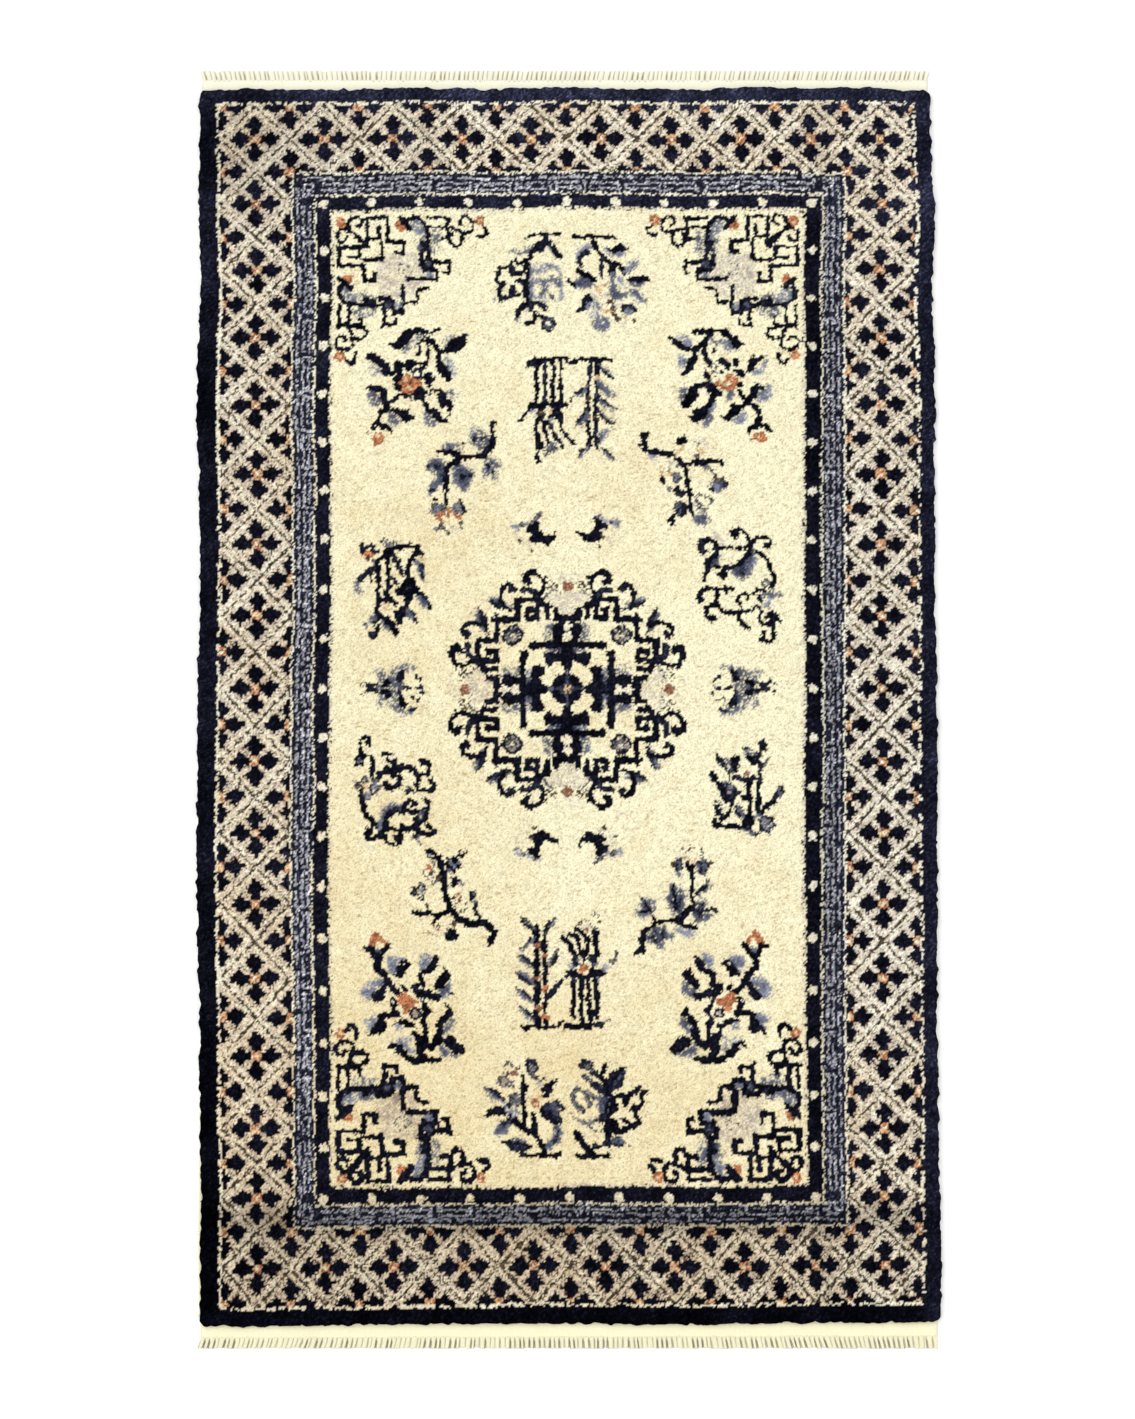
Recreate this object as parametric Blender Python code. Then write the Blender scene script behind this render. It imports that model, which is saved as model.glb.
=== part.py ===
"""Hand-knotted wool rug lying flat on the floor.

A thick pile body stands on its woven foundation, a wrapped selvedge cord runs along each long
side, and a flat-woven end with a cut fringe closes each short side. X runs across the rug, Y
along it and Z up. The origin is under the middle of the whole rug, at floor height.
"""

from collections import namedtuple

import bmesh
import bpy
import numpy as np

MM = 0.001
FIT_GAP = 0.3 * MM

# The pile body, before its edges are drawn in or out
HALF_WIDE = 457.0 * MM
HALF_LONG = 768.0 * MM
CORNER_RADIUS = 7.0 * MM
SIDE_STEPS = 36
END_STEPS = 24
CORNER_STEPS = 3

# How far the foundation stands back under the leaning pile, and how thick it is
FOUNDATION_INSET = 6.0 * MM
FOUNDATION_TOP = 4.3 * MM

# The wrapped selvedge cords
SELVEDGE_WIDE = 5.4 * MM
SELVEDGE_THICK = 3.8 * MM
SELVEDGE_END_STEP_BACK = 9.0 * MM
SectionPoint = namedtuple("SectionPoint", "out up")
SELVEDGE_SECTION = [SectionPoint(*row) for row in (
    (0.0, 0.0),
    (0.88, 0.0),
    (1.0, 0.5),
    (0.85, 0.93),
    (0.5, 1.0),
    (0.0, 0.9),
)]

# A point of the outline belongs to a wall when it lies in this outer share of the half size
END_WALL_SHARE = 0.98
SIDE_WALL_SHARE = 0.9

# The flat-woven ends and their fringe
END_THICK = 2.4 * MM
STRANDS_PER_END = 150
STRAND_SHARE_OF_PITCH = 0.72
STRAND_TIP_WIDTH_SHARE = 0.72
STRAND_TIP_THICK = 1.5 * MM
STRAND_BEND_SHARE = 0.5
BEND_LEAN_SHARES = (0.25, 0.6)
LEAN_WOBBLE = 0.55 * MM
TRIM_WOBBLE = 0.35 * MM
WOBBLE_SEED = 11

# The long sides: how far left and right the pile reaches at each place along the rug, and how
# far the left selvedge shows beyond the pile
Side = namedtuple("Side", "along left right selvedge_shows")
SIDES = [Side(*(value * MM for value in row)) for row in (
    (-768.0, -457.0, 462.0, 3.5),
    (-672.0, -457.0, 462.5, 5.0),
    (-598.0, -456.0, 460.5, 5.0),
    (-505.0, -458.0, 459.5, 2.0),
    (-380.0, -458.0, 457.5, 0.0),
    (-287.0, -461.0, 458.0, 0.0),
    (-175.0, -462.0, 458.0, 0.0),
    (-69.0, -460.5, 457.5, 0.0),
    (24.0, -460.0, 457.0, 0.0),
    (148.0, -456.5, 454.5, 0.0),
    (273.0, -458.0, 454.0, 0.0),
    (366.0, -461.5, 454.5, 0.0),
    (428.0, -460.5, 454.5, 0.0),
    (521.0, -456.5, 451.5, 0.0),
    (615.0, -459.0, 454.5, 0.0),
    (708.0, -458.0, 449.5, 0.0),
    (768.0, -457.5, 448.0, 0.0),
)]

# The short sides: where the pile ends at each place across the rug
End = namedtuple("End", "across bottom top")
ENDS = [End(*(value * MM for value in row)) for row in (
    (-457.0, -766.5, 769.0),
    (-384.0, -767.0, 770.0),
    (-284.0, -765.5, 770.0),
    (-185.0, -764.0, 772.0),
    (-85.0, -763.5, 770.0),
    (2.0, -763.0, 772.0),
    (89.0, -764.0, 770.5),
    (164.0, -764.5, 770.0),
    (226.0, -764.0, 772.0),
    (288.0, -762.0, 771.5),
    (375.0, -762.0, 771.5),
    (457.0, -761.0, 768.0),
)]

# The rim of the pile body from the floor up to the crown: how far in from the edge, how high
Rim = namedtuple("Rim", "inset height")
FOUNDATION_RIM = [Rim(FOUNDATION_INSET, 0.0), Rim(FOUNDATION_INSET, FOUNDATION_TOP)]
PILE_RIM = [Rim(inset * MM, height * MM) for inset, height in (
    (0.9, 4.7),
    (0.0, 6.6),
    (0.5, 9.2),
    (2.2, 11.0),
    (5.5, 11.9),
    (15.0, 12.2),
)]

# How the strands lean at places across the rug: a positive lean carries a tip to the right
Lean = namedtuple("Lean", "across lean")
TOP_LEANS = [Lean(across * MM, lean * MM) for across, lean in (
    (-456.0, -3.5),
    (-300.0, -2.0),
    (-200.0, 1.5),
    (-60.0, 2.5),
    (60.0, 3.0),
    (140.0, 2.0),
    (230.0, 3.5),
    (450.0, 4.0),
)]
BOTTOM_LEANS = [Lean(across * MM, lean * MM) for across, lean in (
    (-456.0, -4.0),
    (-330.0, -4.5),
    (-180.0, -2.5),
    (-60.0, 0.0),
    (80.0, 0.5),
    (200.0, 2.5),
    (330.0, 5.0),
    (456.0, 1.5),
)]

# The flat-woven ends: how far weave and fringe reach from the rug's middle
WovenEnd = namedtuple("WovenEnd", "name side left right weave_left weave_right tip leans")
WOVEN_ENDS = (
    WovenEnd("end_weave_top", 1, -455.5 * MM, 446.5 * MM, 782.5 * MM, 782.5 * MM, 793.5 * MM,
             TOP_LEANS),
    WovenEnd("end_weave_bottom", -1, -458.0 * MM, 459.0 * MM, 783.0 * MM, 780.5 * MM, 794.0 * MM,
             BOTTOM_LEANS),
)

Finish = namedtuple("Finish", "name colour roughness")
PILE_WOOL = Finish("pile_wool", (0.78, 0.68, 0.46), 0.92)
SELVEDGE_COTTON = Finish("selvedge_cotton", (0.82, 0.74, 0.56), 0.88)
WARP_COTTON = Finish("warp_cotton", (0.90, 0.84, 0.66), 0.88)


def clear_scene():
    """Remove every object that the file opened with."""
    for item in list(bpy.data.objects):
        bpy.data.objects.remove(item, do_unlink=True)


def make_material(finish):
    """A matt fibre material for one kind of yarn."""
    material = bpy.data.materials.new(finish.name)
    material.use_nodes = True
    shader = material.node_tree.nodes["Principled BSDF"]
    shader.inputs["Base Color"].default_value = (*finish.colour, 1.0)
    shader.inputs["Roughness"].default_value = finish.roughness
    shader.inputs["Metallic"].default_value = 0.0
    return material


def blend_between(places, stations, values):
    """Values at the given places, eased with a half cosine from each station to the next."""
    places = np.clip(np.asarray(places, float), stations[0], stations[-1])
    stations, values = np.asarray(stations), np.asarray(values)
    before = np.clip(np.searchsorted(stations, places, side="right") - 1, 0, len(stations) - 2)
    share = (places - stations[before]) / (stations[before + 1] - stations[before])
    eased = 0.5 - 0.5 * np.cos(np.pi * share)
    return values[before] + (values[before + 1] - values[before]) * eased


def side_value(column, along):
    """One column of the long-side table at places along the rug."""
    return blend_between(along, [row.along for row in SIDES], [getattr(row, column) for row in SIDES])


def end_value(column, across):
    """One column of the short-side table at places across the rug."""
    return blend_between(across, [row.across for row in ENDS], [getattr(row, column) for row in ENDS])


def lay_out(across, along):
    """Move points of the true rectangle to where the uneven rug has them."""
    left, right = side_value("left", along), side_value("right", along)
    bottom, top = end_value("bottom", across), end_value("top", across)
    x = (left + right) / 2 + across / HALF_WIDE * (right - left) / 2
    y = (bottom + top) / 2 + along / HALF_LONG * (top - bottom) / 2
    return x, y


def rectangle_ring(inset):
    """Points of the true rectangle, drawn in by an inset, counterclockwise with round corners."""
    half_wide, half_long = HALF_WIDE - inset, HALF_LONG - inset
    radius = max(CORNER_RADIUS - inset, 1.0 * MM)
    corners = (
        (1, -1, -90.0, END_STEPS),
        (1, 1, 0.0, SIDE_STEPS),
        (-1, 1, 90.0, END_STEPS),
        (-1, -1, 180.0, SIDE_STEPS),
    )
    across, along = [], []
    last_point = (-half_wide + radius, -half_long)
    for side_x, side_y, start_angle, steps in corners:
        centre = (side_x * (half_wide - radius), side_y * (half_long - radius))
        angles = np.radians(start_angle + np.linspace(0.0, 90.0, CORNER_STEPS + 1))
        arc_x = centre[0] + radius * np.cos(angles)
        arc_y = centre[1] + radius * np.sin(angles)
        shares = np.arange(1, steps) / steps
        across += [last_point[0] + shares * (arc_x[0] - last_point[0]), arc_x]
        along += [last_point[1] + shares * (arc_y[0] - last_point[1]), arc_y]
        last_point = (arc_x[-1], arc_y[-1])
    return np.concatenate(across), np.concatenate(along)


def selvedge_shift(across, along):
    """How far the foundation moves left where the left selvedge shows, fading to the right."""
    left_share = np.clip(-across / HALF_WIDE, 0.0, 1.0)
    return -side_value("selvedge_shows", along) * left_share


def rim_ring(rim, on_foundation):
    """One level ring of the body's rim."""
    across, along = rectangle_ring(rim.inset)
    x, y = lay_out(across, along)
    if on_foundation:
        x = x + selvedge_shift(across, along)
    return np.column_stack([x, y, np.full_like(x, rim.height)])


def add_ring(mesh, points):
    """Add one ring of vertices."""
    return [mesh.verts.new(point) for point in points]


def bridge(mesh, lower, upper):
    """Join two rings of the same count with quads."""
    count = len(lower)
    for index in range(count):
        after = (index + 1) % count
        mesh.faces.new((lower[index], lower[after], upper[after], upper[index]))


def finish_object(mesh, name, material):
    """Turn the faces outwards, make the object and give it its material."""
    bmesh.ops.recalc_face_normals(mesh, faces=mesh.faces)
    data = bpy.data.meshes.new(name)
    mesh.to_mesh(data)
    mesh.free()
    data.materials.append(material)
    item = bpy.data.objects.new(name, data)
    bpy.context.scene.collection.objects.link(item)
    return item


def build_pile_body(material):
    """Foundation and pile in one solid, with the pile leaning out over the foundation."""
    mesh = bmesh.new()
    rings = [add_ring(mesh, rim_ring(rim, True)) for rim in FOUNDATION_RIM]
    rings += [add_ring(mesh, rim_ring(rim, False)) for rim in PILE_RIM]
    for lower, upper in zip(rings, rings[1:]):
        bridge(mesh, lower, upper)
    mesh.faces.new(list(reversed(rings[0])))
    mesh.faces.new(rings[-1])
    return finish_object(mesh, "pile_body", material)


def build_selvedge(name, side, material):
    """A flat-bottomed wrapped cord that follows the foundation wall of one long side."""
    ring = rim_ring(FOUNDATION_RIM[0], True)
    on_side = side * ring[:, 0] > SIDE_WALL_SHARE * (HALF_WIDE - FOUNDATION_INSET)
    between_ends = np.abs(ring[:, 1]) < HALF_LONG - FOUNDATION_INSET - SELVEDGE_END_STEP_BACK
    wall = ring[on_side & between_ends]
    mesh = bmesh.new()
    rings = []
    for x, y, _ in wall:
        inner = x + side * FIT_GAP
        rings.append(add_ring(mesh, [
            (inner + side * point.out * SELVEDGE_WIDE, y, point.up * SELVEDGE_THICK)
            for point in SELVEDGE_SECTION]))
    for nearer, farther in zip(rings, rings[1:]):
        bridge(mesh, nearer, farther)
    mesh.faces.new(rings[0])
    mesh.faces.new(rings[-1])
    return finish_object(mesh, name, material)


def foundation_reach(end_side, across):
    """How far from the middle the foundation's end wall stands, at places across the rug."""
    ring = rim_ring(FOUNDATION_RIM[0], True)
    wall = ring[end_side * ring[:, 1] > END_WALL_SHARE * (HALF_LONG - FOUNDATION_INSET)]
    wall = wall[np.argsort(wall[:, 0])]
    return np.interp(across, wall[:, 0], np.abs(wall[:, 1]))


def strand_paths(end, starts, width, weave_line, rng):
    """Left edge, width, reach and height of every strand at its root, bend and tip."""
    leans = blend_between(starts, [row.across for row in end.leans],
                          [row.lean for row in end.leans])
    leans = leans + rng.uniform(-LEAN_WOBBLE, LEAN_WOBBLE, len(starts))
    bend = rng.uniform(*BEND_LEAN_SHARES, len(starts)) * leans
    tips = end.tip - rng.uniform(0.0, TRIM_WOBBLE, len(starts))
    tip_width = width * STRAND_TIP_WIDTH_SHARE
    bend_width = (width + tip_width) / 2
    middle = starts + width / 2
    return (
        (middle + bend - bend_width / 2, np.full_like(starts, bend_width),
         weave_line + (tips - weave_line) * STRAND_BEND_SHARE, (END_THICK + STRAND_TIP_THICK) / 2),
        (middle + leans - tip_width / 2, np.full_like(starts, tip_width), tips, STRAND_TIP_THICK),
    )


def build_woven_end(end, material):
    """A narrow flat weave tucked under the pile, with its warps standing out as cut strands."""
    rng = np.random.default_rng(WOBBLE_SEED + end.side)
    pitch = (end.right - end.left) / STRANDS_PER_END
    width = pitch * STRAND_SHARE_OF_PITCH
    starts = end.left + pitch * np.arange(STRANDS_PER_END) + (pitch - width) / 2
    borders = end.left + pitch * np.arange(STRANDS_PER_END + 1)
    inner = foundation_reach(end.side, borders) + FIT_GAP
    line_share = (borders - end.left) / (end.right - end.left)
    outer = end.weave_left + (end.weave_right - end.weave_left) * line_share
    weave_line = (outer[:-1] + outer[1:]) / 2

    mesh = bmesh.new()

    def pair(x, reach, thick=END_THICK):
        """A floor vertex and the one above it."""
        return [mesh.verts.new((x, end.side * reach, z)) for z in (0.0, thick)]

    inner_pairs = [pair(x, reach) for x, reach in zip(borders, inner)]
    corner_pairs = [pair(x, reach) for x, reach in ((end.left, outer[0]), (end.right, outer[-1]))]
    left_roots = [pair(x, reach) for x, reach in zip(starts, weave_line)]
    right_roots = [pair(x + width, reach) for x, reach in zip(starts, weave_line)]

    for index in range(STRANDS_PER_END):
        before = right_roots[index - 1] if index else corner_pairs[0]
        outline = [inner_pairs[index], inner_pairs[index + 1], right_roots[index],
                   left_roots[index], before]
        if index == STRANDS_PER_END - 1:
            outline.insert(2, corner_pairs[1])
        for level in (0, 1):
            mesh.faces.new([corner[level] for corner in outline])
        for start, stop in ((outline[0], outline[1]), (before, left_roots[index])):
            mesh.faces.new((start[0], stop[0], stop[1], start[1]))
    for start, stop in ((inner_pairs[0], corner_pairs[0]), (inner_pairs[-1], corner_pairs[1]),
                        (right_roots[-1], corner_pairs[1])):
        mesh.faces.new((start[0], stop[0], stop[1], start[1]))

    sections = [list(zip(left_roots, right_roots))]
    for lefts, widths, reaches, thick in strand_paths(end, starts, width, weave_line, rng):
        sections.append([(pair(x, reach, thick), pair(x + wide, reach, thick))
                         for x, wide, reach in zip(lefts, widths, reaches)])
    for nearer, farther in zip(sections, sections[1:]):
        for (near_left, near_right), (far_left, far_right) in zip(nearer, farther):
            bridge(mesh, [*near_left, *reversed(near_right)], [*far_left, *reversed(far_right)])
    for tip_left, tip_right in sections[-1]:
        mesh.faces.new([*tip_left, *reversed(tip_right)])
    return finish_object(mesh, end.name, material)


def centre_on_origin(items):
    """Move all meshes together, so that the middle of the rug's box lies over the origin."""
    corners = np.array([vertex.co[:] for item in items for vertex in item.data.vertices])
    middle = (corners.min(axis=0) + corners.max(axis=0)) / 2
    for item in items:
        for vertex in item.data.vertices:
            vertex.co.x -= middle[0]
            vertex.co.y -= middle[1]


def build_rug():
    """Build every piece of the rug."""
    clear_scene()
    pile = make_material(PILE_WOOL)
    selvedge = make_material(SELVEDGE_COTTON)
    warp = make_material(WARP_COTTON)
    items = [
        build_pile_body(pile),
        build_selvedge("selvedge_left", -1, selvedge),
        build_selvedge("selvedge_right", 1, selvedge),
    ]
    items += [build_woven_end(end, warp) for end in WOVEN_ENDS]
    centre_on_origin(items)


build_rug()
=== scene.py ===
"""Dresses a hand-knotted Chinese wool rug that lies flat on the floor.

Every knot of the pile is a small tuft with its own yarn. A knot chart of 255 columns and 425
rows says which yarn each knot has: it is drawn here with strokes, leaves, petals and frets, in
knots, and a lay-out of the uneven edges then puts it on the rug.
"""
import logging
from dataclasses import dataclass, field
from enum import Enum, IntEnum
from typing import Sequence

import bpy
import numpy as np
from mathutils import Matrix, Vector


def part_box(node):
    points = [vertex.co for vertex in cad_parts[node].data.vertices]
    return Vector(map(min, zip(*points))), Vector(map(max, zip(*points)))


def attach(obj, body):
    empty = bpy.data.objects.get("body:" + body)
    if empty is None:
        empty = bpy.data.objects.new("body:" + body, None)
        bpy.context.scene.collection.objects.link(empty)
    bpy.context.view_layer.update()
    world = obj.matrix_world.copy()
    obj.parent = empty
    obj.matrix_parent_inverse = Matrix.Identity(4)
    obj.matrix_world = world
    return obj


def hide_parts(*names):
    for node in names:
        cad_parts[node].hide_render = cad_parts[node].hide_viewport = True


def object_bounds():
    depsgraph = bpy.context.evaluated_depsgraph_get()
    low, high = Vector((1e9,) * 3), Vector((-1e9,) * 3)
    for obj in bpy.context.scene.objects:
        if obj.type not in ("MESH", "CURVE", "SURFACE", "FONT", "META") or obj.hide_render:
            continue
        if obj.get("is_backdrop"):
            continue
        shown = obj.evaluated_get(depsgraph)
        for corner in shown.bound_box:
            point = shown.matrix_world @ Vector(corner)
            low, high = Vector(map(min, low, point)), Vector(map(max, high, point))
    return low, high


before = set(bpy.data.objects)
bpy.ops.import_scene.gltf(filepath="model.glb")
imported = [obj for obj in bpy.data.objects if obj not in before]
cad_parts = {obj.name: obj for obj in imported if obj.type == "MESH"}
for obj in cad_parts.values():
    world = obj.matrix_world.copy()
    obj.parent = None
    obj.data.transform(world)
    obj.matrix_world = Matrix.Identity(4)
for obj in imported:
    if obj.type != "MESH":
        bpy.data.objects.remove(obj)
cad_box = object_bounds()

MM = 0.001
LOG = logging.getLogger("rug")


# ---------------------------------------------------------------- the uneven outline


@dataclass(frozen=True)
class Side:
    """How far the pile reaches left and right at one place along the rug, in millimetres."""

    along: float
    left: float
    right: float
    selvedge_shows: float


@dataclass(frozen=True)
class End:
    """Where the pile ends at one place across the rug, in millimetres."""

    across: float
    bottom: float
    top: float


SIDES = (
    Side(-768.0, -457.0, 462.0, 3.5),
    Side(-672.0, -457.0, 462.5, 5.0),
    Side(-598.0, -456.0, 460.5, 5.0),
    Side(-505.0, -458.0, 459.5, 2.0),
    Side(-380.0, -458.0, 457.5, 0.0),
    Side(-287.0, -461.0, 458.0, 0.0),
    Side(-175.0, -462.0, 458.0, 0.0),
    Side(-69.0, -460.5, 457.5, 0.0),
    Side(24.0, -460.0, 457.0, 0.0),
    Side(148.0, -456.5, 454.5, 0.0),
    Side(273.0, -458.0, 454.0, 0.0),
    Side(366.0, -461.5, 454.5, 0.0),
    Side(428.0, -460.5, 454.5, 0.0),
    Side(521.0, -456.5, 451.5, 0.0),
    Side(615.0, -459.0, 454.5, 0.0),
    Side(708.0, -458.0, 449.5, 0.0),
    Side(768.0, -457.5, 448.0, 0.0),
)
ENDS = (
    End(-457.0, -766.5, 769.0),
    End(-384.0, -767.0, 770.0),
    End(-284.0, -765.5, 770.0),
    End(-185.0, -764.0, 772.0),
    End(-85.0, -763.5, 770.0),
    End(2.0, -763.0, 772.0),
    End(89.0, -764.0, 770.5),
    End(164.0, -764.5, 770.0),
    End(226.0, -764.0, 772.0),
    End(288.0, -762.0, 771.5),
    End(375.0, -762.0, 771.5),
    End(457.0, -761.0, 768.0),
)


def eased(places: np.ndarray, table: Sequence, station: str, value: str) -> np.ndarray:
    """Read a table between its rows, eased with half a cosine wave from row to row.

    Args:
        places: where to read, in metres.
        table: rows in the order of their stations, in millimetres.
        station: the column that says where a row stands.
        value: the column to read.

    Returns:
        The column's values at the places, in metres.
    """
    stations = np.array([getattr(row, station) for row in table]) * MM
    values = np.array([getattr(row, value) for row in table]) * MM
    places = np.clip(places, stations[0], stations[-1])
    before = np.clip(np.searchsorted(stations, places, side="right") - 1, 0, len(stations) - 2)
    share = (places - stations[before]) / (stations[before + 1] - stations[before])
    share = 0.5 - 0.5 * np.cos(np.pi * share)
    return values[before] + (values[before + 1] - values[before]) * share


@dataclass
class Outline:
    """The rug's uneven edges, and where a knot of the chart lies between them."""

    half_wide: float = 457.0 * MM
    half_long: float = 768.0 * MM
    columns: int = 255
    rows: int = 425
    row_growth: float = 0.152
    middle_sag: float = 0.00405
    shift_x: float = 0.0
    shift_y: float = 0.0

    def meet(self, low: Sequence[float], high: Sequence[float]) -> None:
        """Shift the lay-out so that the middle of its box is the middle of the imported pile's box."""
        across = np.linspace(-self.half_wide, self.half_wide, 400)
        along = np.linspace(-self.half_long, self.half_long, 600)
        x, _ = self.lay_out(np.array([[-self.half_wide], [self.half_wide]]), along)
        _, y = self.lay_out(across, np.array([[-self.half_long], [self.half_long]]))
        self.shift_x += (low[0] + high[0]) / 2 - (x.min() + x.max()) / 2
        self.shift_y += (low[1] + high[1]) / 2 - (y.min() + y.max()) / 2

    def lay_out(self, across: np.ndarray, along: np.ndarray) -> tuple[np.ndarray, np.ndarray]:
        """Move points of the true rectangle to where the uneven rug has them.

        Each point keeps its share of the way from the left edge to the right one and from the
        bottom edge to the top one.

        Args:
            across: places across the true rectangle, in metres.
            along: places along it.

        Returns:
            The x and y of each point on the rug.
        """
        left = eased(along, SIDES, "along", "left")
        right = eased(along, SIDES, "along", "right")
        bottom = eased(across, ENDS, "across", "bottom")
        top = eased(across, ENDS, "across", "top")
        x = (left + right) / 2 + across / self.half_wide * (right - left) / 2
        y = (bottom + top) / 2 + along / self.half_long * (top - bottom) / 2
        return x + self.shift_x, y + self.shift_y

    def knot_to_rectangle(self, column: np.ndarray, row: np.ndarray) -> tuple[np.ndarray, np.ndarray]:
        """Turn places in the chart into places on the true rectangle.

        Columns are evenly spaced. Rows are packed closer at the top than at the bottom, so the
        share of the length above a row is a straight line plus a parabola and half a sine wave.

        Args:
            column: places in knots from the left edge.
            row: places in knots from the top edge.

        Returns:
            The places across and along the true rectangle, in metres.
        """
        share = row / self.rows
        down = share + self.row_growth / 2 * share * (share - 1) + self.middle_sag * np.sin(np.pi * share)
        across = (column / self.columns * 2 - 1) * self.half_wide
        return across, (1 - 2 * down) * self.half_long

    def place(self, column: np.ndarray, row: np.ndarray) -> tuple[np.ndarray, np.ndarray]:
        """Give the x and y on the rug of places in the chart."""
        return self.lay_out(*self.knot_to_rectangle(column, row))


# ---------------------------------------------------------------- yarns and the knot chart


class Yarn(IntEnum):
    """The yarns that the rug is knotted from."""

    IVORY = 0
    NAVY = 1
    SLATE = 2
    MIST = 3
    CREAM = 4
    OAT = 5
    RUST = 6
    TAN = 7
    UMBER = 8
    LILAC = 9
    INK = 10
    ASH = 11
    FOG = 12
    CLAY = 13


IVORY, NAVY, SLATE, MIST, CREAM, OAT, RUST, TAN, UMBER, LILAC, INK, ASH, FOG, CLAY = Yarn
SOFT_YARNS = (SLATE, MIST, LILAC)


@dataclass(frozen=True)
class Dye:
    """How one yarn takes its dye: a colour, a second one that some knots have, and the unevenness."""

    yarn: Yarn
    colour: tuple[float, float, float]
    second: tuple[float, float, float]
    second_share: float
    uneven: float


DYES = (
    Dye(IVORY, (0.930, 0.878, 0.614), (0.700, 0.575, 0.360), 0.08, 0.070),
    Dye(NAVY, (0.0038, 0.0040, 0.0080), (0.0110, 0.0120, 0.0230), 0.22, 0.40),
    Dye(SLATE, (0.122, 0.135, 0.198), (0.042, 0.046, 0.078), 0.38, 0.34),
    Dye(MIST, (0.285, 0.305, 0.385), (0.110, 0.120, 0.175), 0.33, 0.30),
    Dye(CREAM, (0.900, 0.855, 0.680), (0.680, 0.600, 0.420), 0.25, 0.12),
    Dye(OAT, (0.690, 0.590, 0.455), (0.130, 0.095, 0.065), 0.12, 0.28),
    Dye(RUST, (0.520, 0.195, 0.088), (0.170, 0.080, 0.045), 0.26, 0.28),
    Dye(TAN, (0.620, 0.400, 0.215), (0.740, 0.560, 0.330), 0.40, 0.20),
    Dye(UMBER, (0.050, 0.038, 0.026), (0.150, 0.110, 0.070), 0.25, 0.35),
    Dye(LILAC, (0.640, 0.570, 0.480), (0.430, 0.375, 0.330), 0.22, 0.16),
    Dye(ASH, (0.190, 0.180, 0.175), (0.035, 0.034, 0.036), 0.42, 0.40),
    Dye(INK, (0.0100, 0.0110, 0.0190), (0.034, 0.038, 0.066), 0.20, 0.42),
    Dye(FOG, (0.300, 0.300, 0.335), (0.560, 0.560, 0.590), 0.30, 0.34),
    Dye(CLAY, (0.210, 0.092, 0.055), (0.400, 0.230, 0.150), 0.30, 0.32),
)


def corners_of(points: str) -> np.ndarray:
    """Read points written as x,y pairs with spaces between them."""
    return np.array([pair.split(",") for pair in points.split()], float)


def smooth_line(given: np.ndarray, closed: bool = False, spacing: float = 0.3) -> np.ndarray:
    """Run a smooth line through points.

    Between two points the line is the cubic whose slope at each point is half the way from the
    point before to the point after.

    Args:
        given: places that the line goes through, in knots.
        closed: whether the last point joins the first.
        spacing: about how far apart the line's own points are.

    Returns:
        The line's points, one per row.
    """
    if closed:
        padded = np.vstack([given[-1:], given, given[:2]])
    else:
        padded = np.vstack([2 * given[:1] - given[1:2], given, 2 * given[-1:] - given[-2:-1]])
    before, start, stop, after = padded[:-3], padded[1:-2], padded[2:-1], padded[3:]
    longest = np.hypot(*(stop - start).T).max()
    t = np.linspace(0.0, 1.0, max(3, int(longest / spacing) + 2))[None, :, None]
    before, start, stop, after = (part[:, None, :] for part in (before, start, stop, after))
    line = 0.5 * (2 * start + (stop - before) * t
                  + (2 * before - 5 * start + 4 * stop - after) * t ** 2
                  + (3 * start - before - 3 * stop + after) * t ** 3)
    return line.reshape(-1, 2)


@dataclass(frozen=True)
class Drift:
    """How a weaver's count drifts on one side, in knots, for lines at given distances from the edge.

    A number above 0 brings the line closer to the edge. Between the stations along the side, and
    between one line and the next, the drift changes evenly.
    """

    distances: tuple[float, ...]
    stations: tuple[float, ...]
    rows: tuple[tuple[float, ...], ...]

    def at(self, distance: np.ndarray, along: np.ndarray) -> np.ndarray:
        """Give the drift at distances from the edge and places along the side."""
        total = np.zeros(np.broadcast(distance, along).shape)
        for index, row in enumerate(self.rows):
            share = np.interp(distance, self.distances, np.eye(len(self.rows))[index])
            total = total + share * np.interp(along, self.stations, row)
        return total


LEFT_DRIFT = Drift((5.5, 31, 39, 45), (20, 96, 172, 248, 324, 400), (
    (0.3, -0.6, 0.3, -0.1, 0.05, 0.1),
    (-0.5, -1.2, -0.6, -0.7, -1.0, -0.6),
    (-0.5, -0.75, -0.05, -0.3, -0.05, 0.6),
    (-0.3, -0.5, 0.05, -0.2, 0.05, 0.65),
))
RIGHT_DRIFT = Drift((5.5, 31, 39, 45), (20, 96, 172, 248, 324, 400), (
    (1.1, 1.2, 1.45, 1.0, 1.5, 1.05),
    (0.4, 0.3, 0.35, -0.1, -0.2, -0.1),
    (0.8, 1.0, 0.5, 0.3, 0.0, 0.3),
    (0.5, 0.55, 0.15, -0.4, -0.1, 0.2),
))
TOP_DRIFT = Drift((4, 30, 38, 43.5), (14, 58, 102, 146, 190, 234), (
    (-0.6, -0.3, -0.45, -0.65, -0.6, -0.65),
    (0.5, -0.2, -0.1, 0.4, 0.1, -0.8),
    (0.0, 0.15, 0.35, 0.6, 0.4, 0.0),
    (-0.9, -0.85, -0.4, 0.2, -0.7, -0.9),
))
BOTTOM_DRIFT = Drift((5, 31, 38.5, 44), (14, 58, 102, 146, 190, 234), (
    (-1.1, -0.9, -1.25, -1.5, -1.5, -1.3),
    (-0.95, -0.95, -1.05, -1.4, -1.55, -1.05),
    (-0.3, -0.3, -0.15, -0.5, -0.5, -0.5),
    (-1.3, -1.3, -1.0, -1.5, -1.3, -1.3),
))


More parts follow.
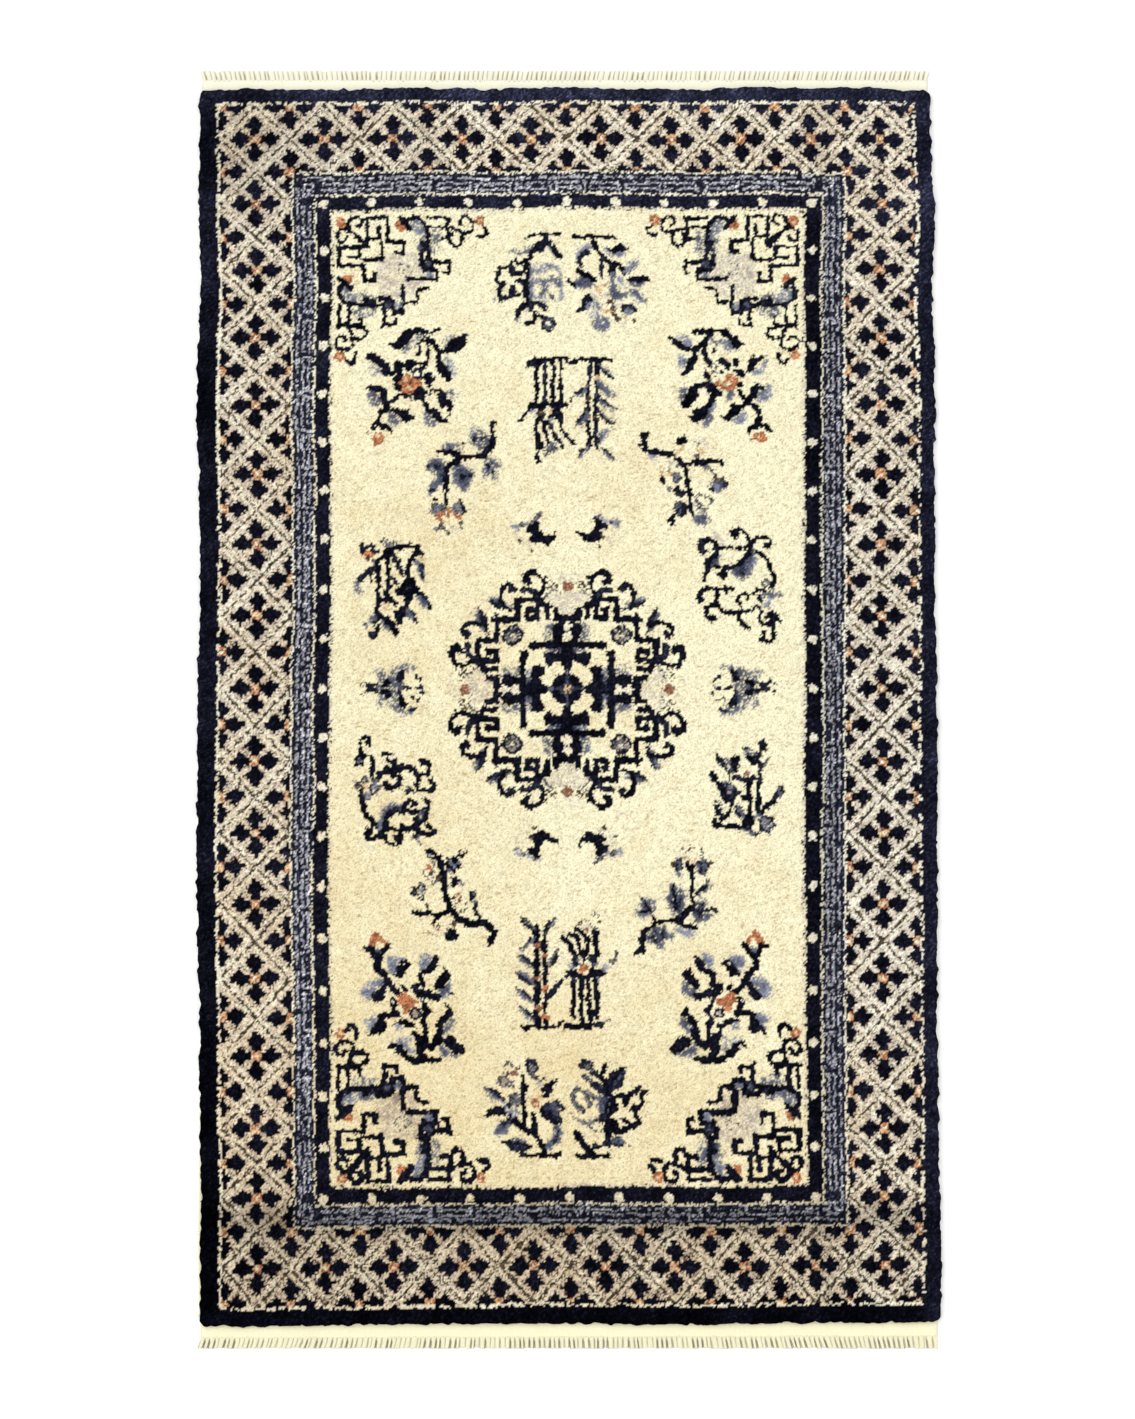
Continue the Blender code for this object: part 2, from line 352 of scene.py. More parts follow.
@dataclass
class KnotChart:
    """The yarn of every tuft. A knot's two ends and its neighbours' make four tufts to a knot."""

    columns: int = 255
    rows: int = 425
    tufts: int = 2
    seed: int = 5

    def __post_init__(self) -> None:
        """Lay the empty chart and a chance number for each tuft."""
        self.rng = np.random.default_rng(self.seed)
        shape = (self.rows * self.tufts, self.columns * self.tufts)
        self.yarn = np.full(shape, IVORY, np.uint8)
        self.chance = self.rng.random(shape)
        rows, columns = np.mgrid[:shape[0], :shape[1]]
        self.row = (rows + 0.5) / self.tufts - 0.5
        self.column = (columns + 0.5) / self.tufts - 0.5

    def from_side(self) -> np.ndarray:
        """Give each tuft's distance from the nearer long side in knots, as the bands were woven."""
        right = self.columns - 1 - self.column
        return np.rint(np.minimum(self.column + LEFT_DRIFT.at(self.column, self.row),
                                  right + RIGHT_DRIFT.at(right, self.row)))

    def from_end(self) -> np.ndarray:
        """Give each tuft's distance from the nearer end in knots, as the bands were woven."""
        below = self.rows - 1 - self.row
        return np.rint(np.minimum(self.row + TOP_DRIFT.at(self.row, self.column),
                                  below + BOTTOM_DRIFT.at(below, self.column)))

    def knot_chance(self) -> np.ndarray:
        """Draw one chance number for each knot, the same for its four tufts."""
        return np.kron(self.rng.random((self.rows, self.columns)), np.ones((self.tufts, self.tufts)))


@dataclass
class Pen:
    """Draws on the chart round one motif's middle, in knots to the right and down.

    A quarter turn or a mirror image of the motif is drawn by turning the places back first, so
    a motif's own numbers never change.
    """

    chart: KnotChart
    column: float
    row: float
    reach: float = 30.0
    turn: int = 0
    mirrored: bool = False
    middle: tuple[float, float] = (0.0, 0.0)
    grown: float = 1.0
    bold: float = 1.0

    def __post_init__(self) -> None:
        """Cut the window and work out each of its tufts' places in the motif's own numbers."""
        tufts = self.chart.tufts
        top, left = (max(0, int((at - self.reach) * tufts)) for at in (self.row, self.column))
        bottom, right = (int((at + self.reach + 1) * tufts) + 1 for at in (self.row, self.column))
        window = (slice(top, bottom), slice(left, right))
        self.cloth = self.chart.yarn[window]
        self.chance = self.chart.chance[window]
        x = (self.chart.column[window] - self.column) / self.grown
        y = (self.chart.row[window] - self.row) / self.grown
        for _ in range(self.turn % 4):
            x, y = y, -x
        self.x = (-x if self.mirrored else x) + self.middle[0]
        self.y = y + self.middle[1]

    def knot(self, inside: np.ndarray, yarn: Yarn, cover: float = 1.0) -> None:
        """Knot every place that is inside with one yarn, or only a share of them."""
        self.cloth[inside & (self.chance < cover)] = yarn

    def off_line(self, line: np.ndarray) -> tuple[np.ndarray, np.ndarray, np.ndarray]:
        """Measure each knot against a line.

        Args:
            line: the line's points.

        Returns:
            How far each knot is from the line, how far along the line its nearest point is as a
            share, and on which side it is, above 0 on the left of the way that the line runs.
        """
        gap_x = self.x[..., None] - line[:, 0]
        gap_y = self.y[..., None] - line[:, 1]
        nearest = np.argmin(gap_x ** 2 + gap_y ** 2, axis=-1)
        run = np.gradient(line, axis=0)[nearest]
        take = np.take_along_axis
        gap_x = take(gap_x, nearest[..., None], -1)[..., 0]
        gap_y = take(gap_y, nearest[..., None], -1)[..., 0]
        side = run[..., 1] * gap_x - run[..., 0] * gap_y
        return np.hypot(gap_x, gap_y), nearest / (len(line) - 1), side


def half_width(width: float, least: float = 0.44, spread: float = 0.07) -> float:
    """Give how far a line's own knots lie from its middle: the tufts spread over the rest."""
    return max(least, width / 2 - spread)


EVEN_SHIFT = 200  # moves the places of every motif above 0 before rows are told even or odd
THINNEST_LEAF = 0.45  # half the width of a leaf's ends, in knots
LOBE_DEPTH = 0.28  # of a lobed leaf, as a share of its width
EDGE_WIDTH = 1.1  # of a flower's edge, in knots
SCALLOP_DEPTH = 0.20  # of a flower's petals, as a share of its radius


@dataclass(frozen=True)
class Stem:
    """A line of one width, such as a stem, a twig, a tendril or a bar."""

    points: str
    width: float = 1.2
    yarn: Yarn = NAVY
    dotted: bool = False

    def draw(self, pen: Pen) -> None:
        """Knot what lies within half the width of the line, or every other knot of a dotted one."""
        off, _, _ = pen.off_line(smooth_line(corners_of(self.points)))
        inside = off <= half_width(self.width * pen.bold)
        if self.dotted:
            inside &= (np.rint(pen.x + EVEN_SHIFT) + np.rint(pen.y + EVEN_SHIFT)) % 2 == 0
        pen.knot(inside, self.yarn)


@dataclass(frozen=True)
class Fret:
    """A navy line of straight strokes that meet in square corners."""

    points: str
    width: float = 1.2

    def draw(self, pen: Pen) -> None:
        """Knot each stroke as the box round its two ends, half the width larger on each side."""
        half = half_width(self.width * pen.bold)
        corners = corners_of(self.points)
        for (x0, y0), (x1, y1) in zip(corners, corners[1:]):
            beside = np.maximum(np.abs(pen.x - (x0 + x1) / 2) - abs(x1 - x0) / 2,
                                np.abs(pen.y - (y0 + y1) / 2) - abs(y1 - y0) / 2)
            pen.knot(beside <= half, NAVY)


@dataclass(frozen=True)
class Leaf:
    """A leaf from its foot to its tip, with one yarn on each side of the midrib."""

    foot: tuple[float, float]
    tip: tuple[float, float]
    width: float
    left: Yarn = SLATE
    right: Yarn = NAVY
    bow: float = 0.0
    lobes: float = 0.0

    def draw(self, pen: Pen) -> None:
        """Knot what lies off the bowed midrib by less than half the width there.

        The width runs as the root of a half sine wave along the midrib, and lobes ripple it.
        """
        foot, tip = np.array(self.foot), np.array(self.tip)
        run = tip - foot
        middle = (foot + tip) / 2 + self.bow * np.array([run[1], -run[0]])
        off, share, side = pen.off_line(smooth_line(np.array([foot, middle, tip])))
        half = self.width * pen.bold / 2 * np.sin(np.pi * np.clip(share, 0.02, 0.98)) ** 0.6
        if self.lobes:
            half = half * (1 - LOBE_DEPTH + LOBE_DEPTH * np.abs(np.sin(np.pi * self.lobes * share)))
        inside = off <= np.maximum(half, THINNEST_LEAF)
        pen.knot(inside & (side >= 0), self.left)
        pen.knot(inside & (side < 0), self.right)


@dataclass(frozen=True)
class Bloom:
    """A round flower with scalloped petals, an edge and a heart."""

    at: tuple[float, float]
    radius: float
    petals: int = 5
    yarn: Yarn = SLATE
    heart: Yarn = RUST
    heart_radius: float = 1.0
    edge: Yarn | None = None
    start: float = 0.0
    cover: float = 1.0

    def draw(self, pen: Pen) -> None:
        """Knot the petals, whose edge swings in and out round the middle, then the heart."""
        x, y = pen.x - self.at[0], pen.y - self.at[1]
        off, angle = np.hypot(x, y), np.arctan2(y, x) - np.radians(self.start)
        scallop = SCALLOP_DEPTH * np.abs(np.cos(self.petals * angle / 2)) ** 0.7
        rim = self.radius * (1 - SCALLOP_DEPTH + scallop)
        pen.knot(off <= rim, self.yarn, self.cover)
        if self.edge is not None:
            pen.knot((off <= rim) & (off > rim - EDGE_WIDTH), self.edge)
        pen.knot(off <= self.heart_radius, self.heart, self.cover)


@dataclass(frozen=True)
class Patch:
    """A closed shape with smooth or straight edges, filled with one yarn."""

    points: str
    yarn: Yarn = NAVY
    straight: bool = False
    cover: float = 1.0

    def draw(self, pen: Pen) -> None:
        """Knot every place from which a ray to the right crosses the edge an odd number of times."""
        edge = corners_of(self.points)
        edge = edge if self.straight else smooth_line(edge, True, 1.0)
        ahead = np.roll(edge, -1, axis=0)
        x, y = pen.x[..., None], pen.y[..., None] + 1e-6
        (x0, y0), (x1, y1) = edge.T, ahead.T
        crosses = (y0 > y) != (y1 > y)
        fall = np.where(y1 == y0, 1.0, y1 - y0)
        left_of = x < x0 + (y - y0) * (x1 - x0) / fall
        pen.knot((crosses & left_of).sum(axis=-1) % 2 == 1, self.yarn, self.cover)


@dataclass(frozen=True)
class Dot:
    """A round or oval spot."""

    at: tuple[float, float]
    radius: float = 0.8
    yarn: Yarn = NAVY
    tall: float = 1.0
    cover: float = 1.0

    def draw(self, pen: Pen) -> None:
        """Knot what lies inside the oval."""
        off = np.hypot(pen.x - self.at[0], (pen.y - self.at[1]) / self.tall)
        pen.knot(off <= self.radius, self.yarn, self.cover)


@dataclass(frozen=True)
class Charted:
    """A small repeat charted knot by knot: a letter for each yarn, a full stop for none."""

    at: tuple[float, float]
    lines: tuple[str, ...]

    def draw(self, pen: Pen) -> None:
        """Knot each letter's places; the chart's own middle lies on the given place."""
        height, width = len(self.lines), len(self.lines[0])
        column = np.rint(pen.x - self.at[0] + (width - 1) / 2).astype(int)
        row = np.rint(pen.y - self.at[1] + (height - 1) / 2).astype(int)
        inside = (column >= 0) & (column < width) & (row >= 0) & (row < height)
        letters = np.array([list(line) for line in self.lines])
        found = np.where(inside, letters[np.clip(row, 0, height - 1), np.clip(column, 0, width - 1)], ".")
        for letter, yarn in YARN_LETTERS.items():
            pen.knot(found == letter, yarn)


YARN_LETTERS = {"n": NAVY, "r": RUST, "t": TAN, "c": CREAM}


# ---------------------------------------------------------------- the bands round the field


@dataclass(frozen=True)
class Bands:
    """How many knots each band takes, from the edge inwards, on the long sides and at the ends."""

    side_plain: int = 6
    side_lattice: int = 31
    side_fret: int = 39
    side_guard: int = 45
    end_plain: int = 4
    end_lattice: int = 30
    end_fret: int = 38
    end_guard: int = 43


@dataclass
class LatticeBand:
    """The wide band of diamonds, each with a rust centre and four navy clover florets."""

    bands: Bands = field(default_factory=Bands)
    first: tuple[float, float] = (18.7, 17.3)
    across: int = 9
    down: int = 16
    floret_step: float = 5.1
    floret: tuple[str, ...] = (
        "..nn...",
        "..nnn..",
        ".nnnnn.",
        "nnnnnnn",
        ".nnnnn.",
        "..nnn..",
        "..nnn..",
    )
    centre: tuple[str, ...] = (
        ".rtr.",
        "rtrtr",
        "trcrt",
        "rtrtr",
        ".rtr.",
    )
    pale_centre: tuple[str, ...] = (
        ".tct.",
        "trtrt",
        "ctctc",
        "trtrt",
        ".tct.",
    )
    rows: tuple[float, ...] = (
        15, 51, 87, 122, 157, 192, 226, 260, 277, 311, 328, 361, 377, 394, 410)
    left_up: tuple[float, ...] = (
        -0.3, 0.7, 1.4, 1.8, 1.8, 1.0, 0, -0.3, 0.5, -0.7, -2.3, -1.8, -0.8, 0.6, 0.7)
    right_up: tuple[float, ...] = (
        -0.7, 0.7, 1.1, 1.5, 0.7, 0, -1, -1.3, -0.7, -1.7, -2.9, -3, -2, 0.3, 0.9)
    left_over: tuple[float, ...] = (
        0, 0.3, 0.4, 0.9, 0.4, 0, 0.3, 0.7, 1.0, 0, 0.1, 0, -0.3, 0, 0.3)
    right_over: tuple[float, ...] = (
        1.7, 1.1, 1.0, 1.0, 1.0, 0.7, 0.4, 1.0, 0.7, 0.7, 0.7, 0.7, 0.4, 0.3, 0.3)
    columns: tuple[float, ...] = (17, 51, 86, 120, 155, 175, 227)
    top_over: tuple[float, ...] = (0, 0, 0, 0.2, 0.7, 1.0, 1.7)
    bottom_over: tuple[float, ...] = (0.3, -0.7, -0.7, -0.3, 0, 0, 0.3)
    top_strip: tuple[float, float] = (28, 38)
    bottom_strip: tuple[float, float] = (397, 387)
    pale_line: tuple[float, float] = (2.4, 0.42)
    dark_line: tuple[float, float] = (0.58, 0.86)
    speck_rows: tuple[float, float] = (385, 400)
    speck_above: tuple[float, float] = (1.0, 0.87)
    deepest: float = 40
    dark_hearts: float = 0.6

    def drift(self, column: np.ndarray, row: np.ndarray) -> tuple[np.ndarray, np.ndarray]:
        """Give how far the pattern has drifted at places in the chart, in knots over and up.

        Each side's own table is read along the side. From left to right the drift changes evenly
        in between, but across the two end bands the end's own table gives the drift over.
        """
        share = column / (KnotChart.columns - 1)
        tables = (self.left_over, self.right_over, self.left_up, self.right_up)
        left, right, left_up, right_up = (np.interp(row, self.rows, table) for table in tables)
        over = left + (right - left) * share
        for table, stations in ((self.top_over, self.top_strip), (self.bottom_over, self.bottom_strip)):
            weight = np.clip((row - stations[1]) / (stations[0] - stations[1]), 0, 1)
            over = over + (np.interp(column, self.columns, table) - over) * weight
        return over, left_up + (right_up - left_up) * share

    def draw(self, chart: KnotChart, inside: np.ndarray) -> None:
        """Draw the band: speckled ground, dark lines between the diamonds, florets and centres.

        With u and v the places in half periods, a diamond is where the distances to its middle
        in u and v add up to less than 1, and the dark line runs where they add up to 1. A line's
        two numbers are half its width in knots and the share of it that is knotted.

        Args:
            chart: the knot chart.
            inside: where the band is.
        """
        half_u = (chart.columns - 1 - 2 * self.first[0]) / self.across / 2
        half_v = (chart.rows - 1 - 2 * self.first[1]) / self.down / 2
        sheet = chart.yarn
        kept = sheet[~inside]
        sheet[:] = OAT
        over, up = self.drift(chart.column, chart.row)
        u, v = (chart.column - over - self.first[0]) / half_u, (chart.row + up - self.first[1]) / half_v
        chance = chart.knot_chance()
        slants = ((u + v - 1) / 2, (u - v - 1) / 2)
        off_lines = [np.abs(slant - np.rint(slant)) * 2 * half_u for slant in slants]
        for off in off_lines:
            sheet[(off <= self.pale_line[0]) & (chart.chance < self.pale_line[1])] = CREAM
        sheet[chart.chance > np.interp(chart.row, self.speck_rows, self.speck_above)] = UMBER
        for off in off_lines:
            sheet[(off <= self.dark_line[0]) & (chance < self.dark_line[1])] = UMBER
        for b in range(-1, 2 * self.down + 2):
            for a in range(-1, 2 * self.across + 2):
                column, row = self.first[0] + a * half_u, self.first[1] + b * half_v
                over, up = self.drift(column, row)
                column, row = column + over, row - up
                from_edge = (min(column, chart.columns - column), min(row, chart.rows - row))
                if (a + b) % 2 or min(from_edge) > self.deepest:
                    continue
                heart = self.centre if chart.rng.random() < self.dark_hearts else self.pale_centre
                Charted((0, 0), heart).draw(Pen(chart, column, row, 4))
                for turn in range(4):
                    Charted((0, -self.floret_step), self.floret).draw(Pen(chart, column, row, 10, turn))
        sheet[~inside] = kept


@dataclass
class KeyFret:
    """The slate band of light lines nested in dark ones, closed off at steps as running keys."""

    period: float = 13.7
    first_step: float = 9.0
    half_step: float = 0.5
    step_ends: tuple[float, float] = (1.0, 2.2)
    second_bar: float = 1.6
    crisp: float = 0.985

    def draw(self, chart: KnotChart, deep: np.ndarray, run: np.ndarray, inside: np.ndarray,
             beads: np.ndarray) -> None:
        """Draw the band.

        Args:
            chart: the knot chart.
            deep: each knot's depth in the band, 0 in its outermost line.
            run: each knot's place along the band, in knots from the corner.
            inside: where the band is.
            beads: the tufts that stand up as beads on a light line.
        """
        half, (after, before) = self.half_step, self.step_ends
        step = np.mod(run - self.first_step, self.period)
        light = (deep == 1) | (deep == 3) | (deep == 5)
        light &= ~((deep == 1) & (np.abs(step - self.period / 2) < 1.0))
        closing = (np.abs(step - half) < half) | (np.abs(step - self.period + self.second_bar) < half)
        gap = (step > after) & (step < self.period - before)
        light = np.where((deep >= 3) & ~gap, closing & (deep < 7), light)
        light = np.where(chart.knot_chance() > self.crisp, ~light, light)
        chart.yarn[inside] = INK
        chart.yarn[inside & light & beads] = FOG


@dataclass
class Border:
    """All bands from the navy edge to the pearl guard, drawn from the edge inwards."""

    bands: Bands = field(default_factory=Bands)
    lattice: LatticeBand = field(default_factory=LatticeBand)
    fret: KeyFret = field(default_factory=KeyFret)
    pearl_at: tuple[float, float] = (42.2, 40.7)
    pearls_across: int = 11
    pearls_down: int = 21
    pearl_radius: float = 1.52
    pearl_drift: float = 0.7
    drift_read: tuple[float, float] = (1.6, -1.2)
    bottom_pearls_down: float = 0.8
    pearl_columns: tuple[float, ...] = (60, 95, 130, 165, 190)
    pearls_over: tuple[float, ...] = (-0.9, -0.8, 0, 0.3, 0.3)
    pearl_rows: tuple[float, ...] = (50, 130, 210, 280, 350)
    left_pearls_down: tuple[float, ...] = (0.1, -0.6, -0.2, -1.2, 0.5)
    right_pearls_down: tuple[float, ...] = (0.3, 0.4, 0.6, -0.5, 0.9)
    frayed_edge: tuple[float, float] = (0.3, 0.5)
    bead_shares: tuple[float, float] = (0.93, 0.42)
    fine_bead_shares: tuple[float, float] = (0.98, 0.50)
    pale_rim: float = 0.35
    dark_rim: float = 0.84

    def draw(self, chart: KnotChart) -> None:
        """Draw every band, from the edge inwards."""
        bands, yarn = self.bands, chart.yarn
        side, end = chart.from_side(), chart.from_end()
        yarn[:] = NAVY
        yarn[(side >= bands.side_plain) & (end >= bands.end_plain)] = CREAM
        yarn[(end == bands.end_plain) & (chart.knot_chance() < self.frayed_edge[0])] = NAVY
        column, row = chart.column, chart.row
        outer = (np.minimum(column, chart.columns - 1 - column) < bands.side_plain)
        outer |= np.minimum(row, chart.rows - 1 - row) < bands.end_plain
        yarn[outer & (chart.knot_chance() < self.frayed_edge[1])] = NAVY
        self.lattice.draw(chart, (side > bands.side_plain) & (end > bands.end_plain))
        side_deep, end_deep = side - bands.side_lattice - 1, end - bands.end_lattice - 1
        along_end = end_deep < side_deep
        # beads: of a knot's four tufts the two outer ones stand up, the inner ones now and then
        outer_tuft = np.where(along_end, np.mod(2 * row + 0.5, 2) < 1, np.mod(2 * column + 0.5, 2) < 1)
        beads = chart.chance < np.where(outer_tuft, *self.bead_shares)
        lines = (side >= bands.side_lattice) & (end >= bands.end_lattice)
        yarn[lines] = np.where(beads, CREAM, INK)[lines]
        deep = np.where(along_end, end_deep, side_deep)
        run = np.where(along_end, side, end) - bands.side_lattice
        fine = chart.chance < np.where(outer_tuft, *self.fine_bead_shares)
        self.fret.draw(chart, deep, run, (side_deep >= 0) & (end_deep >= 0), fine)
        lines = (side >= bands.side_fret) & (end >= bands.end_fret)
        yarn[lines] = np.where(beads, CREAM, INK)[lines]
        yarn[(side > bands.side_fret) & (end > bands.end_fret)] = NAVY
        self.draw_pearls(chart)
        field_inside = (side >= bands.side_guard) & (end >= bands.end_guard)
        yarn[field_inside] = IVORY
        rim = field_inside & ((side == bands.side_guard) | (end == bands.end_guard))
        yarn[rim & (chart.chance < self.pale_rim)] = LILAC
        yarn[rim & (chart.chance > self.dark_rim)] = NAVY

    def draw_pearls(self, chart: KnotChart) -> None:
        """Set the pearls in their guard band, evenly from corner to corner but for the drift."""
        left, top = self.pearl_at
        right, bottom = chart.columns - 1 - left, chart.rows - 1 - top
        places = []
        for column in np.linspace(left, right, self.pearls_across):
            over = np.interp(column, self.pearl_columns, self.pearls_over)
            up = TOP_DRIFT.at(top + self.drift_read[0], column) * self.pearl_drift
            down = BOTTOM_DRIFT.at(top + self.drift_read[1], column)
            places.append((column, top - up))
            places.append((column + over, bottom + down + self.bottom_pearls_down))
        for row in np.linspace(top, bottom, self.pearls_down):
            left_down = np.interp(row, self.pearl_rows, self.left_pearls_down)
            right_down = np.interp(row, self.pearl_rows, self.right_pearls_down)
            places.append((left - LEFT_DRIFT.at(left, row), row + left_down))
            places.append((right + RIGHT_DRIFT.at(left, row), row + right_down))
        for column, row in places:
            Dot((0, 0), self.pearl_radius, CREAM).draw(Pen(chart, float(column), float(row), 3))


# ---------------------------------------------------------------- the motifs of the field

@dataclass(frozen=True)
class Placed:
    """A motif's place in the chart: its middle, its quarter turns and whether it is mirrored."""

    column: float
    row: float
    turn: int = 0
    mirrored: bool = False
    grown: float = 1.0


@dataclass(frozen=True)
class Motif:
    """A motif of the field: its middle, how far it reaches, its strokes and its further places."""

    middle: tuple[float, float]
    reach: float
    strokes: tuple
    places: tuple[Placed, ...] = ()


# One eighth of the medallion, in knots right of and below its middle: from the arm that points
# up to the diagonal on its right. Four turns and their mirror images make the whole.
MEDALLION_EIGHTH = (
    # the lotus over the arm, pale, with a brown bud
    Patch("-0.1,-25.6 3,-26 5,-29.5 8,-31.4 7.4,-33.6 4,-34.2 -0.1,-34.4", LILAC, cover=0.42),
    Patch("-0.1,-37.6 3.4,-38 4.8,-39.6 3,-41 -0.1,-41.2", LILAC, cover=0.20),
    Stem("2.6,-33.6 4.6,-34.6 6.4,-33.4 8,-31.6", 1.0, ASH, dotted=True),
    Stem("3.6,-36.2 5,-37.2 6.2,-35.4 7.4,-36.6", 1.7, UMBER, dotted=True),
    Dot((0, -35.8), 2.1, CLAY, 0.85),
    # the arm: cup, bars and slate bands
    Patch("4.6,-22.6 7.6,-22.4 8.2,-19.5 8,-16.6 4.6,-16.2", SLATE, cover=0.66),
    Patch("-0.1,-15.3 3.4,-15.3 3.4,-12 -0.1,-12", SLATE, straight=True),
    Patch("3,-15.2 6.7,-15 6.9,-12.2 3,-12", MIST, cover=0.8),
    Patch("2.4,-15.3 6,-15 6,-12 2.4,-12", INK, cover=0.25), Dot((0, -19.2), 4.9, NAVY),
    Patch("1.1,-22.4 2.8,-23 4.9,-22.2 5.1,-19 2,-19", NAVY),
    Patch("-0.1,-25 0.7,-25 0.6,-22.4 -0.1,-21.8", IVORY, straight=True),
    Dot((0, -17.4), 1.8, CREAM, 1.35),
    Patch("-0.1,-20 0.7,-20.2 1.9,-22.5 -0.1,-22.5", CREAM, straight=True),
    Fret("0,-15.6 12.4,-15.6", 2.3), Dot((12.3, -15.2), 1.45), Stem("0,-14.5 0,-5.5", 3.9),
    Fret("0,-10.7 6.4,-10.7", 3.2), Dot((6.3, -9.3), 1.5),
    # the rosette in the middle
    Dot((0, 0), 6.1, NAVY),
    Patch("1,-6.3 2.3,-7.9 3.9,-7.6 5.4,-5.7 5.9,-5.9 4.4,-3.8 3.9,-4.3 2.5,-4.9 1.6,-5.4", IVORY),
    Dot((3.9, -8.6), 0.7, IVORY), Dot((0, 0), 2.1, SLATE, cover=0.6),
    Stem("0,-1.5 0,-6", 0.8, SLATE), Dot((0, 0), 1.3, TAN, cover=0.85),
    # the stepped frame with its key hook
    Fret("0,-24.6 4,-24.6 4,-27.4", 2.1), Fret("6.9,-25.2 6.9,-29.2", 1.8),
    Stem("6.2,-28.6 8.4,-29.8 10,-31", 2.0), Fret("9.8,-31.3 17.3,-31.3 17.3,-24.6", 2.1),
    Fret("10.3,-30.8 10.3,-24.7 13.9,-24.7 13.9,-28 12.8,-28", 1.9),
    Fret("17.3,-24.6 24.5,-24.6 24.5,-17.3", 1.9), Fret("24.7,-24.6 24.9,-26.2", 1.3),
    # curls, leaf and tendrils outside the frame
    Stem("10.4,-32.4 11.6,-34 13.4,-34.9 15.4,-34.8", 2.2, INK),
    Stem("9.8,-32.4 8.7,-35 8.5,-37.4 9.5,-39.5 11.6,-40.8 13.5,-40.6", 1.5),
    Stem("12,-40.8 14,-40.2 14.8,-38.8 13.6,-37.6", 2.3), Dot((7.4, -38.9), 0.7),
    Leaf((20.2, -28.3), (28.2, -31.7), 3.8, SLATE, INK, 0.04, 3),
    Stem("17.6,-27.6 20.4,-28.3", 1.5, dotted=True),
    Stem("21.9,-28.6 23.1,-31 23.4,-33.6 22.7,-35.8 20.9,-36.9 19.3,-36.4 18.4,-35", 1.6),
    Dot((19.6, -34.9), 1.2, INK),
    # the rosette on the diagonal
    Bloom((18.8, -19.3), 3.7, 4, ASH, CREAM, 0.5, INK, cover=0.92),
    Bloom((18.8, -19.3), 2.6, 4, INK, ASH, 0.5, cover=0.22),
    Bloom((18.8, -19.3), 2.8, 4, LILAC, CREAM, 0.7, cover=0.18),
)

# Half of a corner piece, in knots right of and below the corner of the field; the other half is
# its mirror image over the diagonal.
CORNER_HALF = (
    Dot((4.6, 4.6), 1.8, RUST), Dot((4.6, 4.6), 0.7, TAN),
    Stem("6.6,7.6 6.9,5.5 7.5,3.8 9,3 10.8,3.2 11.6,4.6 11,6 9.8,6.3", 1.5),
    Stem("5.6,6.6 7.6,8 10.4,10.4 12.6,12.2 13.6,13.8", 1.5),
    # the square fret beside the edge
    Fret("13.5,13 13.5,3.4 20.3,3.4 20.3,12.2 25.8,12.2 25.8,16.2 23.2,16.2", 1.5),
    Fret("13.5,10.8 17.3,10.8 17.3,6.8", 1.5), Fret("18.3,12.2 18.3,18.3", 1.5),
    # the bud on its thick curling stem with slate leaves
    Patch("28,5.4 31.5,4.6 33.6,8 33.6,13 31,10 29,7.5", MIST, cover=0.85),
    Patch("35.4,9.5 38.4,8.4 38.8,13 37.6,16.5 35.4,16", SLATE, cover=0.65),
    Patch("30.2,11 33.4,12 33.6,16 31,15.8", SLATE, cover=0.7), Dot((25.0, 6.6), 1.8, RUST),
    Stem("24.8,3.6 26.2,5.2 28.2,7.4", 2.2),
    Stem("26.8,4.8 29,3.5 31.8,4 33.8,6.5 34.3,10 34.3,14 34.8,19", 1.8),
    Dot((32.8, 12.8), 1.2), Dot((33, 15), 1.1, INK),
    # the hooks and curls that run on along the edge
    Fret("34.6,3.6 42.2,3.6", 1.4), Fret("34.6,7 42,7", 1.4), Fret("41.6,3.6 41.6,11 39.4,11", 1.5),
    Stem("42,7 45.5,8.3 48.5,8.7 50,7.4 50,4.6 48.5,3 46.5,3.2 45.6,5 47,6.3", 1.5),
    Stem("42.4,9 42.3,11.2 43.2,13 44.7,13.6 46.1,12.5 46.5,10.5 46,8.6", 1.5),
    Dot((52.5, 4.2), 1.8, RUST), Dot((52.5, 4.2), 0.7, TAN),
    Stem("53.6,6.4 55.2,7.8 54.3,9.5 51.6,9.8", 1.5),
    # the stepped frame towards the field
    Fret("32.3,17.6 32.3,20.4", 2.0), Stem("34.8,19 36.6,19.2 38.5,19.7 42.2,19.1", 1.6),
    Fret("41.6,19.3 41.6,23.5 40,23.5", 1.4), Dot((34.8, 20.6), 1.9, INK),
    Fret("33,22.4 37.4,22.4 37.4,25.7 27.6,25.7", 1.8), Dot((35, 24.2), 1.3, MIST),
    Dot((34.6, 20.4), 1.0, SLATE),
)
CORNER_CLOUD = (
    Bloom((24.4, 24), 9.0, 5, LILAC, LILAC, 1.0, cover=0.6), Dot((26, 22.5), 3.0, ASH, cover=0.2),
    Dot((31, 19), 2.6, LILAC, cover=0.6), Dot((19.5, 30), 2.6, LILAC, cover=0.6),
)
CORNER_STEP = (
    Stem("27,34 30.4,34 30.6,31.4 31.4,29.4 34.8,29", 1.4),
)

